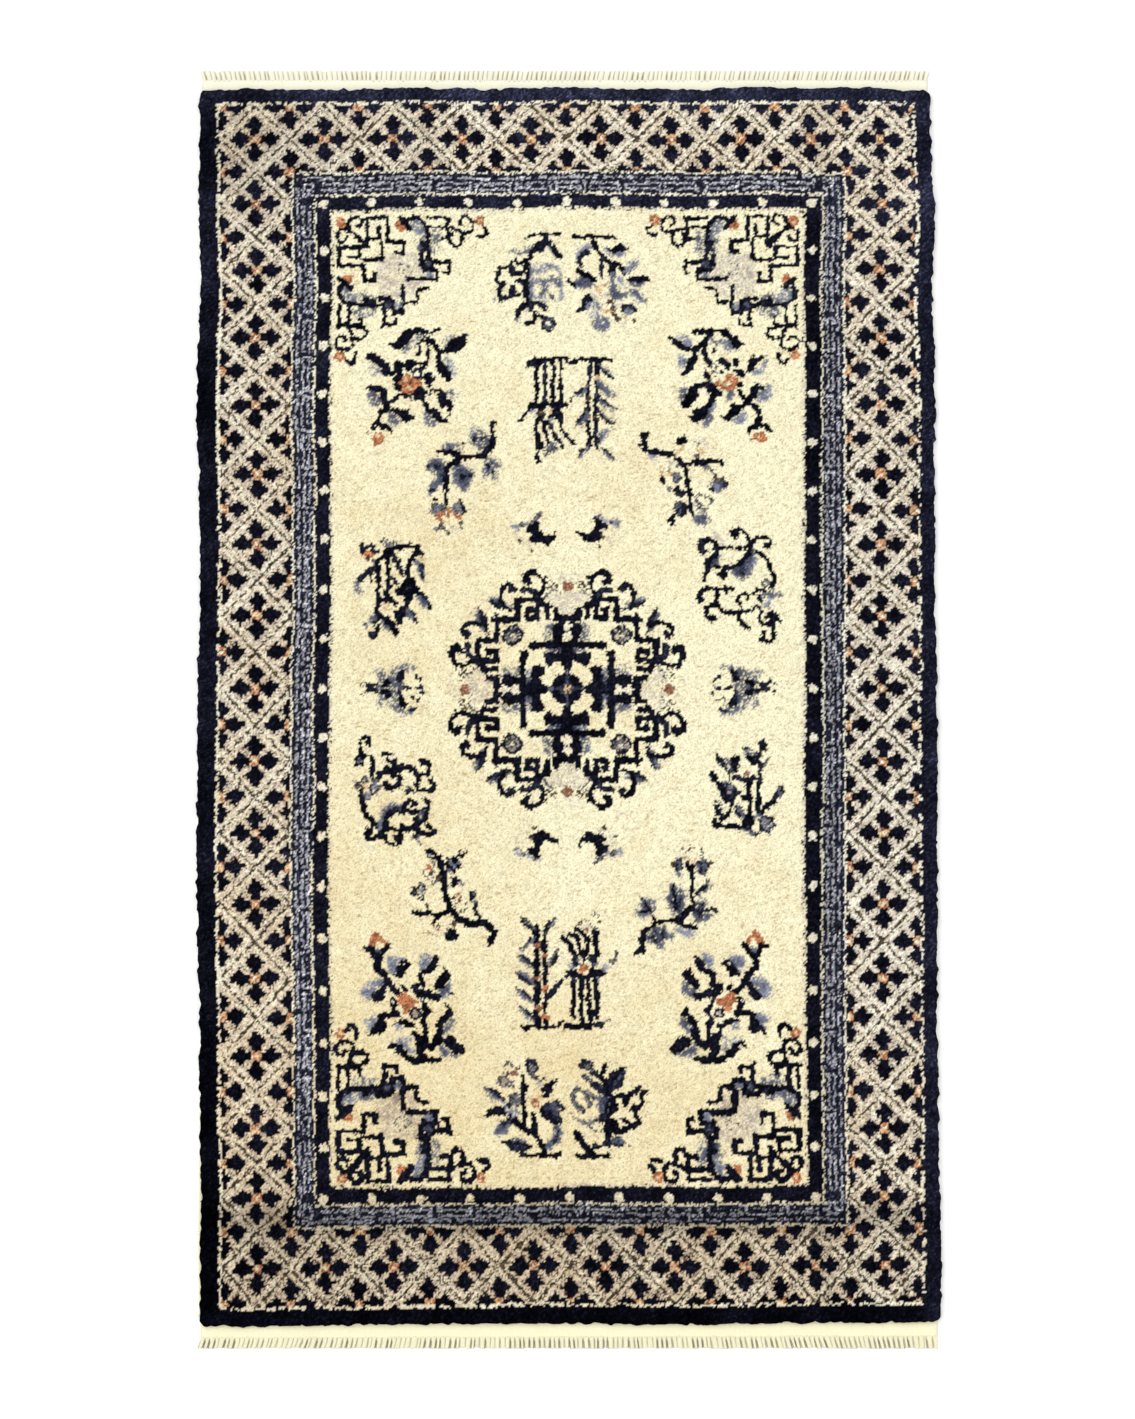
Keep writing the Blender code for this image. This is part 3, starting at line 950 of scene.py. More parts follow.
# Each motif below is drawn in the chart's own knots, at its own place in the field. Where the
# weaver's copies of a motif differ, each has strokes of its own.
PEONY = Motif((72.3, 106.3), 28, (
    # the bent leaf over the flower, with its tendril and the stems
    Patch("70,94.5 71.5,91.5 73.8,90 76,88.6 78,89 77.5,91 75,92.2 73,93.6 71.5,95.3", SLATE, cover=0.75),
    Patch("65.5,91.7 68.5,90.2 69.6,88 71.4,86.8 73.5,86.2 76,85.9 78,87.2 78,89.4 76,88.2 74,89 72,91 "
          "70.2,93.4 68,94.2 66.8,92.9"),
    Dot((74.7, 88.9), 0.7, CREAM), Stem("77.2,90.2 76,92.3 76.7,94.3 75.6,95.8", 1.4),
    Stem("78,87.7 80,87.8 83.2,86.4", 1.2), Stem("78.8,89.8 79.1,94 79.2,97 78.2,99.2 76.8,101.2", 1.3),
    Stem("78.9,90.2 80.6,91.5 83,94.4 85.2,94 86.5,93", 2.0), Stem("83,94.4 82.8,97 82.4,98.6", 1.5),
    # the leaves, each half navy and half slate
    Patch("84.2,91.8 85,89 87.5,88.6 90,88.6 88,91 86,93.2", MIST, cover=0.6),
    Leaf((86.2, 94.8), (92.3, 88.4), 4.6, NAVY, NAVY),
    Patch("59.6,97.5 61,99.3 63.2,101.6 65,103 62,103.2 59.4,102.5 58.6,100", MIST, cover=0.5),
    Stem("59.3,96 61.6,97.2 63.6,99.2 65,101.4", 3.0), Stem("58.4,95.5 59.6,96", 1.2),
    Stem("65.4,102 67,102.2 68.2,101.2", 1.3),
    Patch("58,109.6 59.5,107.8 61.6,108.2 63.3,110.5 63.6,113 62,114.2 59.6,112.8", SLATE, cover=0.8),
    Stem("59.2,107 62,107.3 63.9,108.9 64.4,111.4 65,113.6", 2.2),
    Dot((63, 106.3), 0.6), Dot((65.4, 114.4), 0.9),
    Patch("84.6,97.4 86.5,96.6 88.4,98.6 88.4,101 89,103 87.5,102.4 86,100.4", MIST, cover=0.7),
    Patch("82,98 83.6,97.5 85.6,99.8 87.2,102 87.5,104.2 85.9,105.4 85.3,104.2 85.4,103 84.2,103.4 "
          "82.9,102 82.2,100"),
    Patch("85.4,109 86.8,107.3 88.6,108.4 88.9,110.6 88,112.2 86,111.2", SLATE, cover=0.65),
    Stem("80.3,108.8 82.4,107.9 84,108.6", 1.3),
    Patch("82.7,109.6 84,108.2 85.5,109.3 85.8,111.4 87.4,111.6 88.1,114 87.2,117 86.3,116.4 86.2,114 "
          "85.3,113.2 84.3,114.9 83.1,112.6"),
    Patch("65.2,115.4 67,116 69,118 70.2,120 68,121 66,119.6", SLATE, cover=0.8),
    Patch("66.2,115 69,114.6 72.8,115.2 73,116.4 72,117.1 74.6,117.2 74.8,118.3 72,119.3 70.2,119 "
          "69,117.4 67.6,116"),
    Patch("77.9,115.8 79.5,116.2 81,118.2 82.6,120.2 80.4,121.2 78,119.4", SLATE, cover=0.7),
    Patch("78.4,115.4 81.5,114.7 83.7,115.9 84.3,117.9 86,117.7 86.6,119 85,120.1 82.5,119.4 80.8,117.4"),
    # the flower, with navy petals round its rust heart
    Patch("68.9,105 70.2,103.2 72,102.4 74.2,103.6 77,104.4 77.2,106.6 75,107.6 74.4,109.2 72,109.4 "
          "70,108.6 69,107", RUST),
    Dot((73, 105.3), 0.7, UMBER), Dot((71.4, 104.2), 0.8, TAN), Dot((73, 107.4), 0.9, TAN),
    Stem("68.2,99.9 69.3,98.8 69.5,101.4 69.4,103 68.2,104.4", 2.2),
    Patch("70.3,99.4 72,97.6 74,97 75.4,98.3 74.8,100 73.2,100.8 72.4,102.3 71.5,101"),
    Stem("75,98.2 76.8,98.7", 1.2), Dot((67.7, 104.3), 0.9),
    Patch("67.2,106.2 68.8,105.5 70,107 69.5,108.5 68,108.4"),
    Stem("66.8,112 68.3,110.7 70,109.5 72,110.2 74.4,109.6", 1.5),
    Patch("74.3,108.6 76.4,106.4 78.1,107.4 78.7,109.4 77.6,111.6 75.5,112.2 74.3,110.6"),
    Stem("73.4,110 73.7,112", 1.1, ASH), Stem("77.5,111.4 78.4,113.2 79.8,115", 1.5),
    Dot((75.6, 102.3), 2.0, INK), Dot((75.5, 102.4), 0.9, CREAM),
    Patch("77.2,103.6 79,101.7 80.6,102.5 82.2,104.3 80.6,106 79.9,107.9 78.8,106.5 77.6,105"),
    Dot((81, 103.6), 0.6, MIST), Stem("79.2,107.5 78.6,109.5 80,109.8", 1.0, dotted=True),
    # the bud that hangs at the side
    Stem("65.6,115.1 63.4,115.3 62.3,116.6 62.2,119.6", 1.5),
    Stem("60.1,121.9 61,120 62.4,119.7 63.2,121 65.1,121 66.3,122.6", 1.6),
    Dot((58.3, 122.8), 0.6), Dot((61.9, 125.2), 2.3, RUST), Dot((61.7, 124.3), 0.9, TAN),
))

WINGED_SPRAY = Motif((119.5, 52.8), 40, (
    Patch("119.4,56 121.2,57 123.4,60.2 122.6,60.8 120.8,58.6", MIST, cover=0.7),
    Patch("107,57.6 109,57.8 110.6,58.6 112.6,56.6 115,56.8 114.4,58.6 111,59.4 "
          "108,59.4", SLATE, cover=0.8),
    Stem("113.4,53.6 115.6,52.6 120,52.5 125,52.6", 1.4),
    Patch("118.3,53 121.3,52.8 122,55.4 123.6,57.8 125.8,60.8 124.6,61.6 122.6,59.6 120.6,57 119.4,56"),
    Patch("118,54.6 119.6,55.4 119.4,57.8 118,59.2 116.8,57.8 115.8,59.4 114.8,61.4 113.4,61.2 "
          "114.4,58.4 115.8,56"),
    Dot((121.4, 53.9), 0.7, CREAM),
    # the stem and the outlined wing on its left
    Stem("112,62 113.3,62.4 113.6,66 113.2,70 113,74 113.3,76.6", 1.7),
    Dot((114, 65), 1.3),
    Stem("112,62.4 110.4,62.8 109,61.7 107.4,62.7 105.8,64.2 103.8,64 104,65.6 102.4,65.6 103,67 "
         "102.2,68.6 103.4,69.4", 1.2),
    Patch("103,69 104.3,69.1 106,69.5 104.8,71.2 104.4,73.4 103.4,75 102.4,74.4 102.8,71.4"),
    Patch("103,76.6 103.4,74.6 106,73.8 107.8,74.6 105.6,76 104,76.4", INK),
    Patch("106.2,63.4 108.3,62.6 109.1,65.4 108.9,67.4 107.4,67.4 106.6,65.5", INK),
    Dot((101.6, 75.8), 0.7, SLATE), Stem("109,66 110.6,66.4 112,65.8 112.3,64", 1.3),
    Patch("109.2,68.6 111,68 113,68 113,70 111.2,70 109.6,70"),
    Patch("106.4,71.6 109.4,70.2 109.6,72 108.6,75 107,74.6 106.6,73"),
    Stem("111.6,70.3 112.1,71.6 111.3,73.2 110.2,74.4 108.5,74.3", 1.3),
    # the pale open basket on its right
    Patch("114.6,63 119,62.4 121.4,64 120.5,66.2 115,66.2", MIST, cover=0.65),
    Stem("121,64 123.6,64.6 124.9,67 125.1,71 125,75.6 123.4,76.6", 1.3, MIST),
    Stem("114.6,66 114.7,70 114.9,76", 1.5, MIST), Stem("115,69.6 117.6,69.4", 1.5, MIST),
    Stem("119.2,70 119.5,72.4 118.3,74.6", 2.0, SLATE),
    Stem("121.3,68.6 122.8,69.2 124.2,70.3", 1.9, SLATE), Stem("121.3,74.4 122.6,75.2", 1.5, ASH),
    Stem("115.4,74.4 118,75 119.3,77", 1.3, MIST),
    # the leaves and the small flower at its end
    Patch("109,82.8 109.2,80 111,77.2 113,76.1 115.6,75.8 118,76.4 120.3,78.2 120,79.6 118.8,79.8 "
          "117.4,78.4 116,78.4 115.3,80.6 113.8,80 113,78.6 112,79.8 110.8,81.8", INK),
    Stem("109.6,82 110.6,79 113,77", 1.6), Dot((113.7, 79.6), 0.7, MIST),
    Dot((110.2, 82.6), 0.8, SLATE), Stem("115.2,80 117,81.9 118.6,82.2", 1.4),
    Stem("115.7,80.5 115.5,84 113.2,84.1", 1.5), Bloom((120.8, 84.6), 3.0, 5, SLATE, CREAM, 0.8, INK, 90),
))

TWIG_SPRAY = Motif((136.6, 53.5), 40, (
    Stem("129.4,53.3 131.5,53.7 136,53.3 143.6,53.4", 1.5),
    Stem("136.2,54 136.9,56.6 138.5,59 141.4,62.2 143,63 145,63.1 147.4,66.4", 1.8),
    Stem("136.4,55 137,57.4", 2.2), Stem("139.3,60 139.3,64 139.5,68.4", 1.5, INK),
    Stem("142.6,63 142.7,67", 2.3), Stem("142.8,67 143,71 143.3,75", 2.0, SLATE),
    # the leaves
    Stem("135.2,56.8 133,57.4 131.2,59.6 130.6,62.2", 1.7, MIST),
    Stem("134.6,58.7 132.7,60 131.6,61.6 131.9,63.6", 1.8, INK),
    Patch("139.4,56.4 141.4,57.4 143.5,58.6 148,58.2 146,60.2 143,60.2 141.2,59", MIST),
    Patch("141,57.8 143,57.2 144.8,55.8 146.4,55.9 147.5,57 149.6,57.5 147,58.4 143.4,58.8"),
    Patch("127.4,68.8 129,69.8 131,68.2 132.2,67.4 134,68.2 136.4,69.8 135.4,71.6 132.8,72 130.4,71.6 "
          "128.4,70.8", SLATE),
    Patch("129.8,65.8 130.5,64.2 132,65.4 134.6,65.9 136,67.4 138.1,68.9 136,69.6 133.5,68.2 131.5,66.9"),
    Stem("127.6,69.2 129.8,70.9", 1.4), Leaf((147.2, 66.3), (151.9, 61.6), 2.6, MIST, SLATE),
    Patch("148.2,69 151,69.4 154.4,69.4 152.8,71.4 150.5,71", SLATE),
    Patch("147.8,68.6 150.3,67.1 152,67.8 153.5,67.1 156,67.9 155,69.5 152,69.7 149.5,69.3"),
    Leaf((148.3, 71.8), (154.6, 76.6), 2.8, SLATE, MIST), Dot((147, 73.8), 1.3, SLATE),
    Stem("145.5,68.5 146,70.2", 1.6, MIST), Stem("144,72 145.6,75", 1.8, SLATE),
    Patch("133,75.2 134.5,74.1 136.2,75.6 135.6,77.2 134.3,79.1 132.4,80 130.8,81 130.5,79.9 132,78.2 "
          "132.7,76.4"),
    # the twig in tan and brown, and the small flowers
    Dot((140.2, 70.7), 1.0, TAN), Stem("137.4,71.4 138.9,72.9", 1.5, TAN),
    Stem("135.4,73.8 137,74.6 139,74.9 142.4,73.4", 1.1, LILAC),
    Stem("134.2,78.6 135,77.2 137.6,76.9 138.2,78.6 137.6,81 136.4,82.2 135,80.6 134.2,78.6", 1.2, MIST),
    Dot((136.4, 79.3), 0.7, SLATE), Dot((138, 77.8), 0.8, SLATE),
    Bloom((139.3, 84.4), 3.0, 5, MIST, CREAM, 0.6, SLATE),
    Stem("142.7,76.2 143.5,78 143,80.2 144.1,81.7", 1.8, UMBER), Stem("140.2,80 143,80", 1.3, TAN),
    Dot((142, 76.6), 1.0, UMBER), Dot((145, 82.9), 0.9, UMBER), Dot((147.8, 82), 0.8, TAN),
    Dot((150.3, 83.3), 0.6, UMBER), Dot((147.2, 84.9), 0.9, LILAC),
    Dot((144.6, 77.9), 0.9, LILAC), Dot((148.5, 79.8), 1.6, MIST),
    Stem("146.7,79.8 147,78.5 148.6,77.7 150.1,78.6 150.8,80", 1.5, INK),
))

LOWER_TWIGS = Motif((117.0, 355.0), 24, (
    Stem("110.2,369.4 112,369.6 116,369.9 120,369.8 123.8,369.3", 1.5),
    Dot((122, 370.2), 1.1),
    Stem("118.8,369.2 117.2,366.2 115.7,363.2 114.9,359.6 114.7,356", 1.8),
    Stem("115.4,362.9 112.4,361.3 110.2,360.2 108.4,358.6 106.9,357.3", 2.4),
    Stem("111.3,359.4 111.5,355.5 111.2,351.2 111.6,347.4 111,343.4", 1.6),
    Dot((111.6, 347.3), 1.4),
    # the leaves on the left
    Leaf((113.8, 367), (104, 365.5), 4.4, INK, NAVY), Stem("107.6,364.9 110,364.4 112,365.4", 1.2, SLATE),
    Leaf((107, 357.6), (101.4, 362.8), 3.8, SLATE, SLATE), Stem("106.4,358 103.6,359.4", 1.2, INK),
    Patch("105.8,356.2 104.8,353.8 102.6,353 100.4,353.8 98.6,355.2 97,357 99.4,356.7 102,356.6"),
    Patch("104.4,353.4 107,353.2 110,354.2 109.6,356.4 106.4,356.6", MIST, cover=0.55),
    Leaf((104.4, 351.5), (98, 347.4), 3.0, SLATE, INK), Bloom((108.4, 351.4), 2.5, 5, ASH, MIST, 0.8),
    Dot((106.1, 353), 1.0, INK),
    # the buds at the top
    Dot((106.1, 340.9), 2.2, ASH, 1.1, 0.85), Dot((106.1, 340.9), 1.3, IVORY),
    Dot((108.3, 342.2), 1.3, CLAY), Dot((109.4, 340.8), 0.7, UMBER),
    Dot((104.4, 345.4), 2.2, ASH, 0.95), Dot((104.5, 345.3), 1.1, LILAC),
    Dot((106.8, 346), 1.4, ASH, cover=0.8), Dot((114.2, 340.3), 2.4, INK, 1.2),
    Dot((114.4, 340.7), 1.2, ASH), Stem("113.8,342.6 114.6,344", 1.6, ASH),
    Stem("115.6,342.8 116.4,344.4 118.2,344.6", 1.9, ASH, True), Dot((116.8, 346), 1.2, MIST, cover=0.7),
    # the leaves on the right and the small flower
    Patch("123.8,344 121.4,345.2 118.6,345.8 117.6,347.4 118.4,348.8 117.6,350.8 119.4,350.8 120.8,349 "
          "122,346.8"),
    Dot((115.4, 352.6), 1.6, RUST), Dot((115.5, 352.7), 0.6, TAN),
    Stem("113,350.6 114.4,350.2 116.8,350.4", 1.0, TAN),
    Patch("117,355.4 118.4,353 120.6,351.8 123,351.6 125.2,353.4 126.2,355.2 123.8,354.6 124.1,356.4 "
          "124.3,358.8 123,360.6 121.3,358.8 119.2,357.6", INK),
    Patch("120.4,353.2 122.6,352.8 123.6,354.8 123.2,356.8 121.2,355.8", SLATE),
    Stem("117.6,355.4 120,357.4 122.4,359", 2.1),
    Stem("122.6,360.8 123,363 121.8,365.1 119.7,366.6", 2.7, SLATE),
    Stem("122.8,361.4 122.6,363.4 121.2,365.4", 1.0, INK),
))

LOWER_WINGS = Motif((140.5, 355.0), 24, (
    Stem("129.7,370.2 132,370.2 136,370 140.7,369.5", 1.5),
    Patch("128.1,362.2 129.6,361.7 131.4,362.6 133,364.8 134.4,367 135.8,370.2 133.4,369.8 131.4,367.6 "
          "129.7,365"),
    Patch("131.6,362.4 133,363.4 133.8,365.6 132.6,365", MIST, cover=0.7),
    Patch("134.8,367.6 135.4,365 136.6,366 138.4,365.6 139.2,364.4 140.6,365.3 143,363.6 145,363.9 "
          "146.2,365.2 144.4,366.9 141.6,366.7 138.4,367.2 136,368", INK),
    Patch("140.8,365.1 143,363.8 145.2,364.2 145.6,365.4 143,366.2", SLATE),
    Dot((147.6, 366.2), 0.6, ASH),
    # the stem with the leaves at its top
    Stem("140.4,363.6 140.2,360 140.4,356 140.6,350 140.6,348", 2.3),
    Stem("141,351 140.9,355", 0.8, MIST, True), Leaf((140.2, 348.4), (146.3, 340.8), 4.6, NAVY, INK),
    Stem("142.6,346 144.6,343.4", 0.8, SLATE, True),
    Patch("140.6,348.8 139.2,346.4 137.2,345.6 135,344.6 133.4,343.4 132,343.4 133.2,345.2 134.6,346.8 "
          "136.4,348.6 138.6,349", INK),
    Stem("132.2,343.6 134.4,345", 1.5, ASH), Dot((138, 347), 0.7, SLATE),
    Patch("137.8,344 136.4,341.6 135,339.4 133,338 131.4,338.4 130.4,340.2 132.2,341.4 134.2,342.4 "
          "135.8,343.6", INK),
    Patch("133,339.4 134.8,340 135.6,341.8 134,341.6 132.2,340.6", ASH),
    Stem("140.2,347 139,345 138,343.6 138.8,341.6 139.6,339.8", 1.5),
    Dot((139.8, 339.6), 0.9, INK),
    # the half wing on the right
    Patch("141.2,350.4 142.8,350.6 144.1,352.8 144.1,355 142.2,356 141,354.8"),
    Patch("141.2,358.4 143,357.6 143.8,359.8 142.4,361.2 140.8,361.6"),
    Stem("142.6,361.8 144.8,361.4 147.4,360.6 149,359.8 151.4,358.6", 1.7),
    Patch("144.7,357.6 146.6,356.8 148,358.2 150,358.6 151.7,356.8 152.2,359 150.4,360.1 147.6,359.9 "
          "145.6,359.1"),
    Stem("151.3,358.8 150.3,356.6 150.2,355 151.4,353.4 152.3,351.6 152,349.6 153.7,348.3", 1.6),
    Stem("142.2,351 143.6,350 146.4,350 148.4,349.4 150.2,348.2 151.5,347", 1.6),
    Patch("145.2,349.8 148,349.6 148.2,351.4 146.8,353.4 145.3,352.8"),
    Patch("148,354.8 149.4,352.8 151.6,352.4 151.4,354.4 149.6,355.4"),
    # the pale half wing on the left
    Patch("137,356.8 139.4,355.4 140,358 139.4,361.6 137.6,360.6 136.6,358.6", INK, cover=0.85),
    Stem("138.6,351 137.8,354.6", 2.0, SLATE), Stem("136,350.4 138.4,350.8", 1.5, SLATE),
    Stem("128.2,349.4 129.6,347.8 131.4,348.6 133.6,349.2 136,350.4", 1.4, ASH),
    Stem("133,349.6 133.8,351.6 134.2,353.4", 1.6, ASH),
    Stem("128.3,350.4 129,352.4 130.2,354.2 131.6,354.8", 1.9, ASH),
    Dot((131.2, 354.4), 1.2, ASH),
    Stem("128,355.6 128.6,357.4 130,358.4 132.6,359 135.2,358.8 137,357.8", 1.3, ASH, True),
    Stem("133.4,359.6 135,361.2 137.4,362", 1.3, ASH, True),
    Stem("129.6,358 132,359.2 134.6,359.2", 0.9, SLATE),
))

REEDS = Motif((121.3, 113.4), 26, (
    Stem("113.4,99.6 114.6,98 116.4,97.4 121,97.2 126.4,97 128,98.5 130.2,99", 1.5),
    Patch("114.4,98 119.6,97.8 117.6,99.8 115.2,99.6", INK), Dot((122.2, 98.3), 1.3),
    Stem("117.2,98 116.6,103 117.2,107 116.6,112.6", 1.6),
    Stem("119.8,98 119.6,103 119.9,108 119.6,112.6", 1.5, INK),
    Stem("122.4,98 122.6,103 122.2,108 122.7,112.6", 1.6),
    Stem("125.3,98 125,103 125.4,108 125.2,112.6", 1.6),
    Patch("114.8,112.4 120,112.8 125,111.8 127.8,113.2 126.4,114.8 122,114.8 118,115.2 114.6,115"),
    Dot((120.9, 114.7), 0.8, CREAM), Stem("114.6,115 113,117 110.9,119.2", 1.1),
    Stem("115,115.6 119,115.8", 0.9, MIST),
    Patch("117,116.4 118,115.1 119.9,115.4 120.2,117.8 119,119.2 117.2,119.6", UMBER),
    Dot((121.8, 115.7), 1.0, TAN), Dot((118, 118), 1.1),
    Patch("122.8,115.1 125,115.2 126,117 126.2,120.2 124.5,120.2 123.4,118 122,119.4 121,121 119.9,120 "
          "121,118"),
    Dot((122, 118.6), 0.8, MIST), Stem("116.8,119 117,124 117.6,128", 1.8),
    Stem("117.2,128 116.7,131.6 117,133.2", 1.4), Dot((118.1, 133.3), 0.8),
    Dot((118.2, 127.8), 1.3), Stem("119.8,119.5 120,124 121.2,127", 1.6),
    Stem("121.8,120.5 122.5,122.6 123.5,125.2 125.2,126.7", 1.5, INK),
    Dot((125.9, 128), 0.8),
    Stem("125.3,119.5 125.4,121.7 126.6,124 128.5,125.7 129.8,127", 1.5),
    Dot((122.1, 128.4), 1.7, SLATE), Dot((123, 128.5), 0.7, INK), Dot((120, 130.6), 1.6, ASH, cover=0.65),
))

BAMBOO = Motif((136.4, 97.5), 42, (
    Stem("130,97.6 136,97.3 142.6,97.5", 1.6), Dot((142.7, 97.4), 0.9),
    Stem("135.7,98 135.2,103 134.8,106", 1.7, INK), Stem("134.8,106 134.8,113 135,118", 1.7),
    Stem("134.8,119.6 134.8,122 135.4,126 134.6,128.5", 1.8), Stem("138,98 137.7,103", 1.8),
    Stem("137.6,104.8 137.8,110 137.3,113", 1.8, INK), Stem("137.2,113 137.4,117.5 137.5,121.6", 1.8),
    Stem("137.2,123 137.8,128.6", 1.8, INK), Dot((135, 111), 0.8, UMBER),
    Dot((135, 117.8), 0.9, RUST), Dot((137.4, 118), 0.9, UMBER), Dot((137.5, 104), 0.8, TAN),
    Leaf((138.2, 99), (143.3, 103.6), 2.2, SLATE, INK),
    Leaf((138.2, 104.8), (144.2, 110), 3.0, SLATE, SLATE, -0.12),
    Leaf((138.2, 110.2), (145.4, 115.2), 2.2, INK, SLATE, -0.1),
    Leaf((138.2, 115), (143.9, 119.8), 2.0, SLATE, INK, -0.1),
    Leaf((138.4, 127), (143.2, 121.4), 2.2, SLATE, MIST, 0.1),
    Leaf((139.2, 128.6), (143.2, 132.6), 2.2, INK, SLATE),
    Leaf((134.2, 106.6), (129.2, 110.4), 2.2, SLATE, INK, 0.12), Dot((129, 111.8), 0.7, INK),
    Leaf((134.4, 114.4), (130.2, 121), 3.0, SLATE, INK, 0.1),
    Leaf((134.8, 128), (130.6, 132.4), 2.2, SLATE, INK),
))

LOBED_BRANCH = Motif((93.5, 134.2), 28, (
    Patch("92.5,125 94,124 94.3,121.6 96.5,121.1 98.8,122.4 100.4,124 100.6,126.5 99,129.2 97,130.4 "
          "96,128 94.5,127.4 92.8,126.2", SLATE, cover=0.85),
    Dot((95.2, 125.6), 0.9, INK), Dot((98, 124.9), 0.8, INK), Dot((91.6, 126.4), 0.6, INK),
    Patch("98.4,131.4 101,132 103,133.2 104,135 102.2,136 102.9,138.4 101.8,140.2 100.8,138 99.5,137.6 "
          "98.6,139.4 97.8,136.5 98.7,134", SLATE, cover=0.85),
    Dot((100, 134.7), 0.9, INK), Dot((101.8, 136.5), 0.8, INK),
    Patch("83.4,129 85,127.2 88,126.8 90,127.4 91.4,129.4 89,130 86,129.6", SLATE, cover=0.8),
    Patch("77.8,135.8 79.3,133.6 81,132 83,132.1 85,133.8 85.2,136 84.7,138.6 83.8,140.4 82.2,140 "
          "81.2,138 80.5,136.3 79,137.2", SLATE),
    Dot((82, 135), 1.2, INK), Dot((79.4, 135), 0.7, INK),
    Patch("80.5,139.8 83,140.2 84,140.6 82.6,142 82,144 80.6,143.6 79.8,145.4 78.7,144 "
          "79.4,142.2", SLATE),
    Dot((79.9, 143.7), 1.0, INK),
    Patch("88.2,133.8 90,133.4 92.2,135.4 94.4,136.4 95,138.3 93.2,139.8 92.6,142.3 91,144.4 90,142.6 "
          "88,141.4 87.4,138.5 87.7,136", SLATE),
    Dot((90.6, 138.4), 1.3, INK), Dot((93.6, 138), 0.9, INK), Dot((89, 139), 0.8, MIST),
    Dot((91.6, 141), 0.8, MIST), Dot((89.6, 135.6), 0.9, MIST),
    # the stem
    Stem("102.4,119.3 101.5,120.2 101.5,123 101.8,125.6 101,127.8 99.4,129.6", 1.7),
    Stem("101.8,124.6 101,127.8 99.4,129.6 98.2,131", 2.4),
    Stem("98.4,130.8 95,131.3 92.5,131.6 90,131.4", 1.7), Stem("97,131 98.6,131", 2.4),
    Stem("90.4,131.6 88,130.5 86,130 84.4,129.8", 2.4), Stem("85,129.8 82.4,130.2", 1.4),
    Stem("90,131.8 88.6,133.2 86.8,134.4 85.6,135.8", 2.5),
    Stem("85.4,135.4 85,139 85,143 84.7,147 84.9,149", 1.8), Dot((85, 142.4), 1.2),
    # the two heads with their rust marks
    Dot((81.3, 147), 0.8),
    Patch("79.7,147.8 82,148.2 84.5,147.8 85,150 84,151.6 82.5,151.3 81.3,152.6 79.7,151.3 78.9,150.6 "
          "79.9,149.5", ASH),
    Patch("86.9,149 88.3,147.2 90,146 91.1,148 90.7,149.3 92.2,150.8 90.9,152 89.5,151.4 88.2,152.2 "
          "86.9,150.8", ASH),
    Stem("90.2,146.8 90.8,149 91.6,151", 1.1, INK), Dot((82, 149.6), 1.0, MIST),
    Dot((88.8, 149.2), 1.0, MIST),
    Patch("81.2,152.6 83,151.2 84.4,151.5 83.4,153 83.2,154.8 82.1,153.6", RUST),
    Stem("85.8,150 85.9,153", 1.4, RUST),
    Patch("87.2,151.3 89,152 90.3,151.8 90.1,153.6 88.2,153.2", RUST),
    Stem("83.4,155 82.6,156.8 81.2,157.3", 1.4, ASH), Stem("84,156.3 85.6,158.6", 1.1, ASH),
    Stem("86.8,156 88,157.6", 1.1, LILAC), Stem("90,154.4 90,156.6", 1.2, ASH),
))

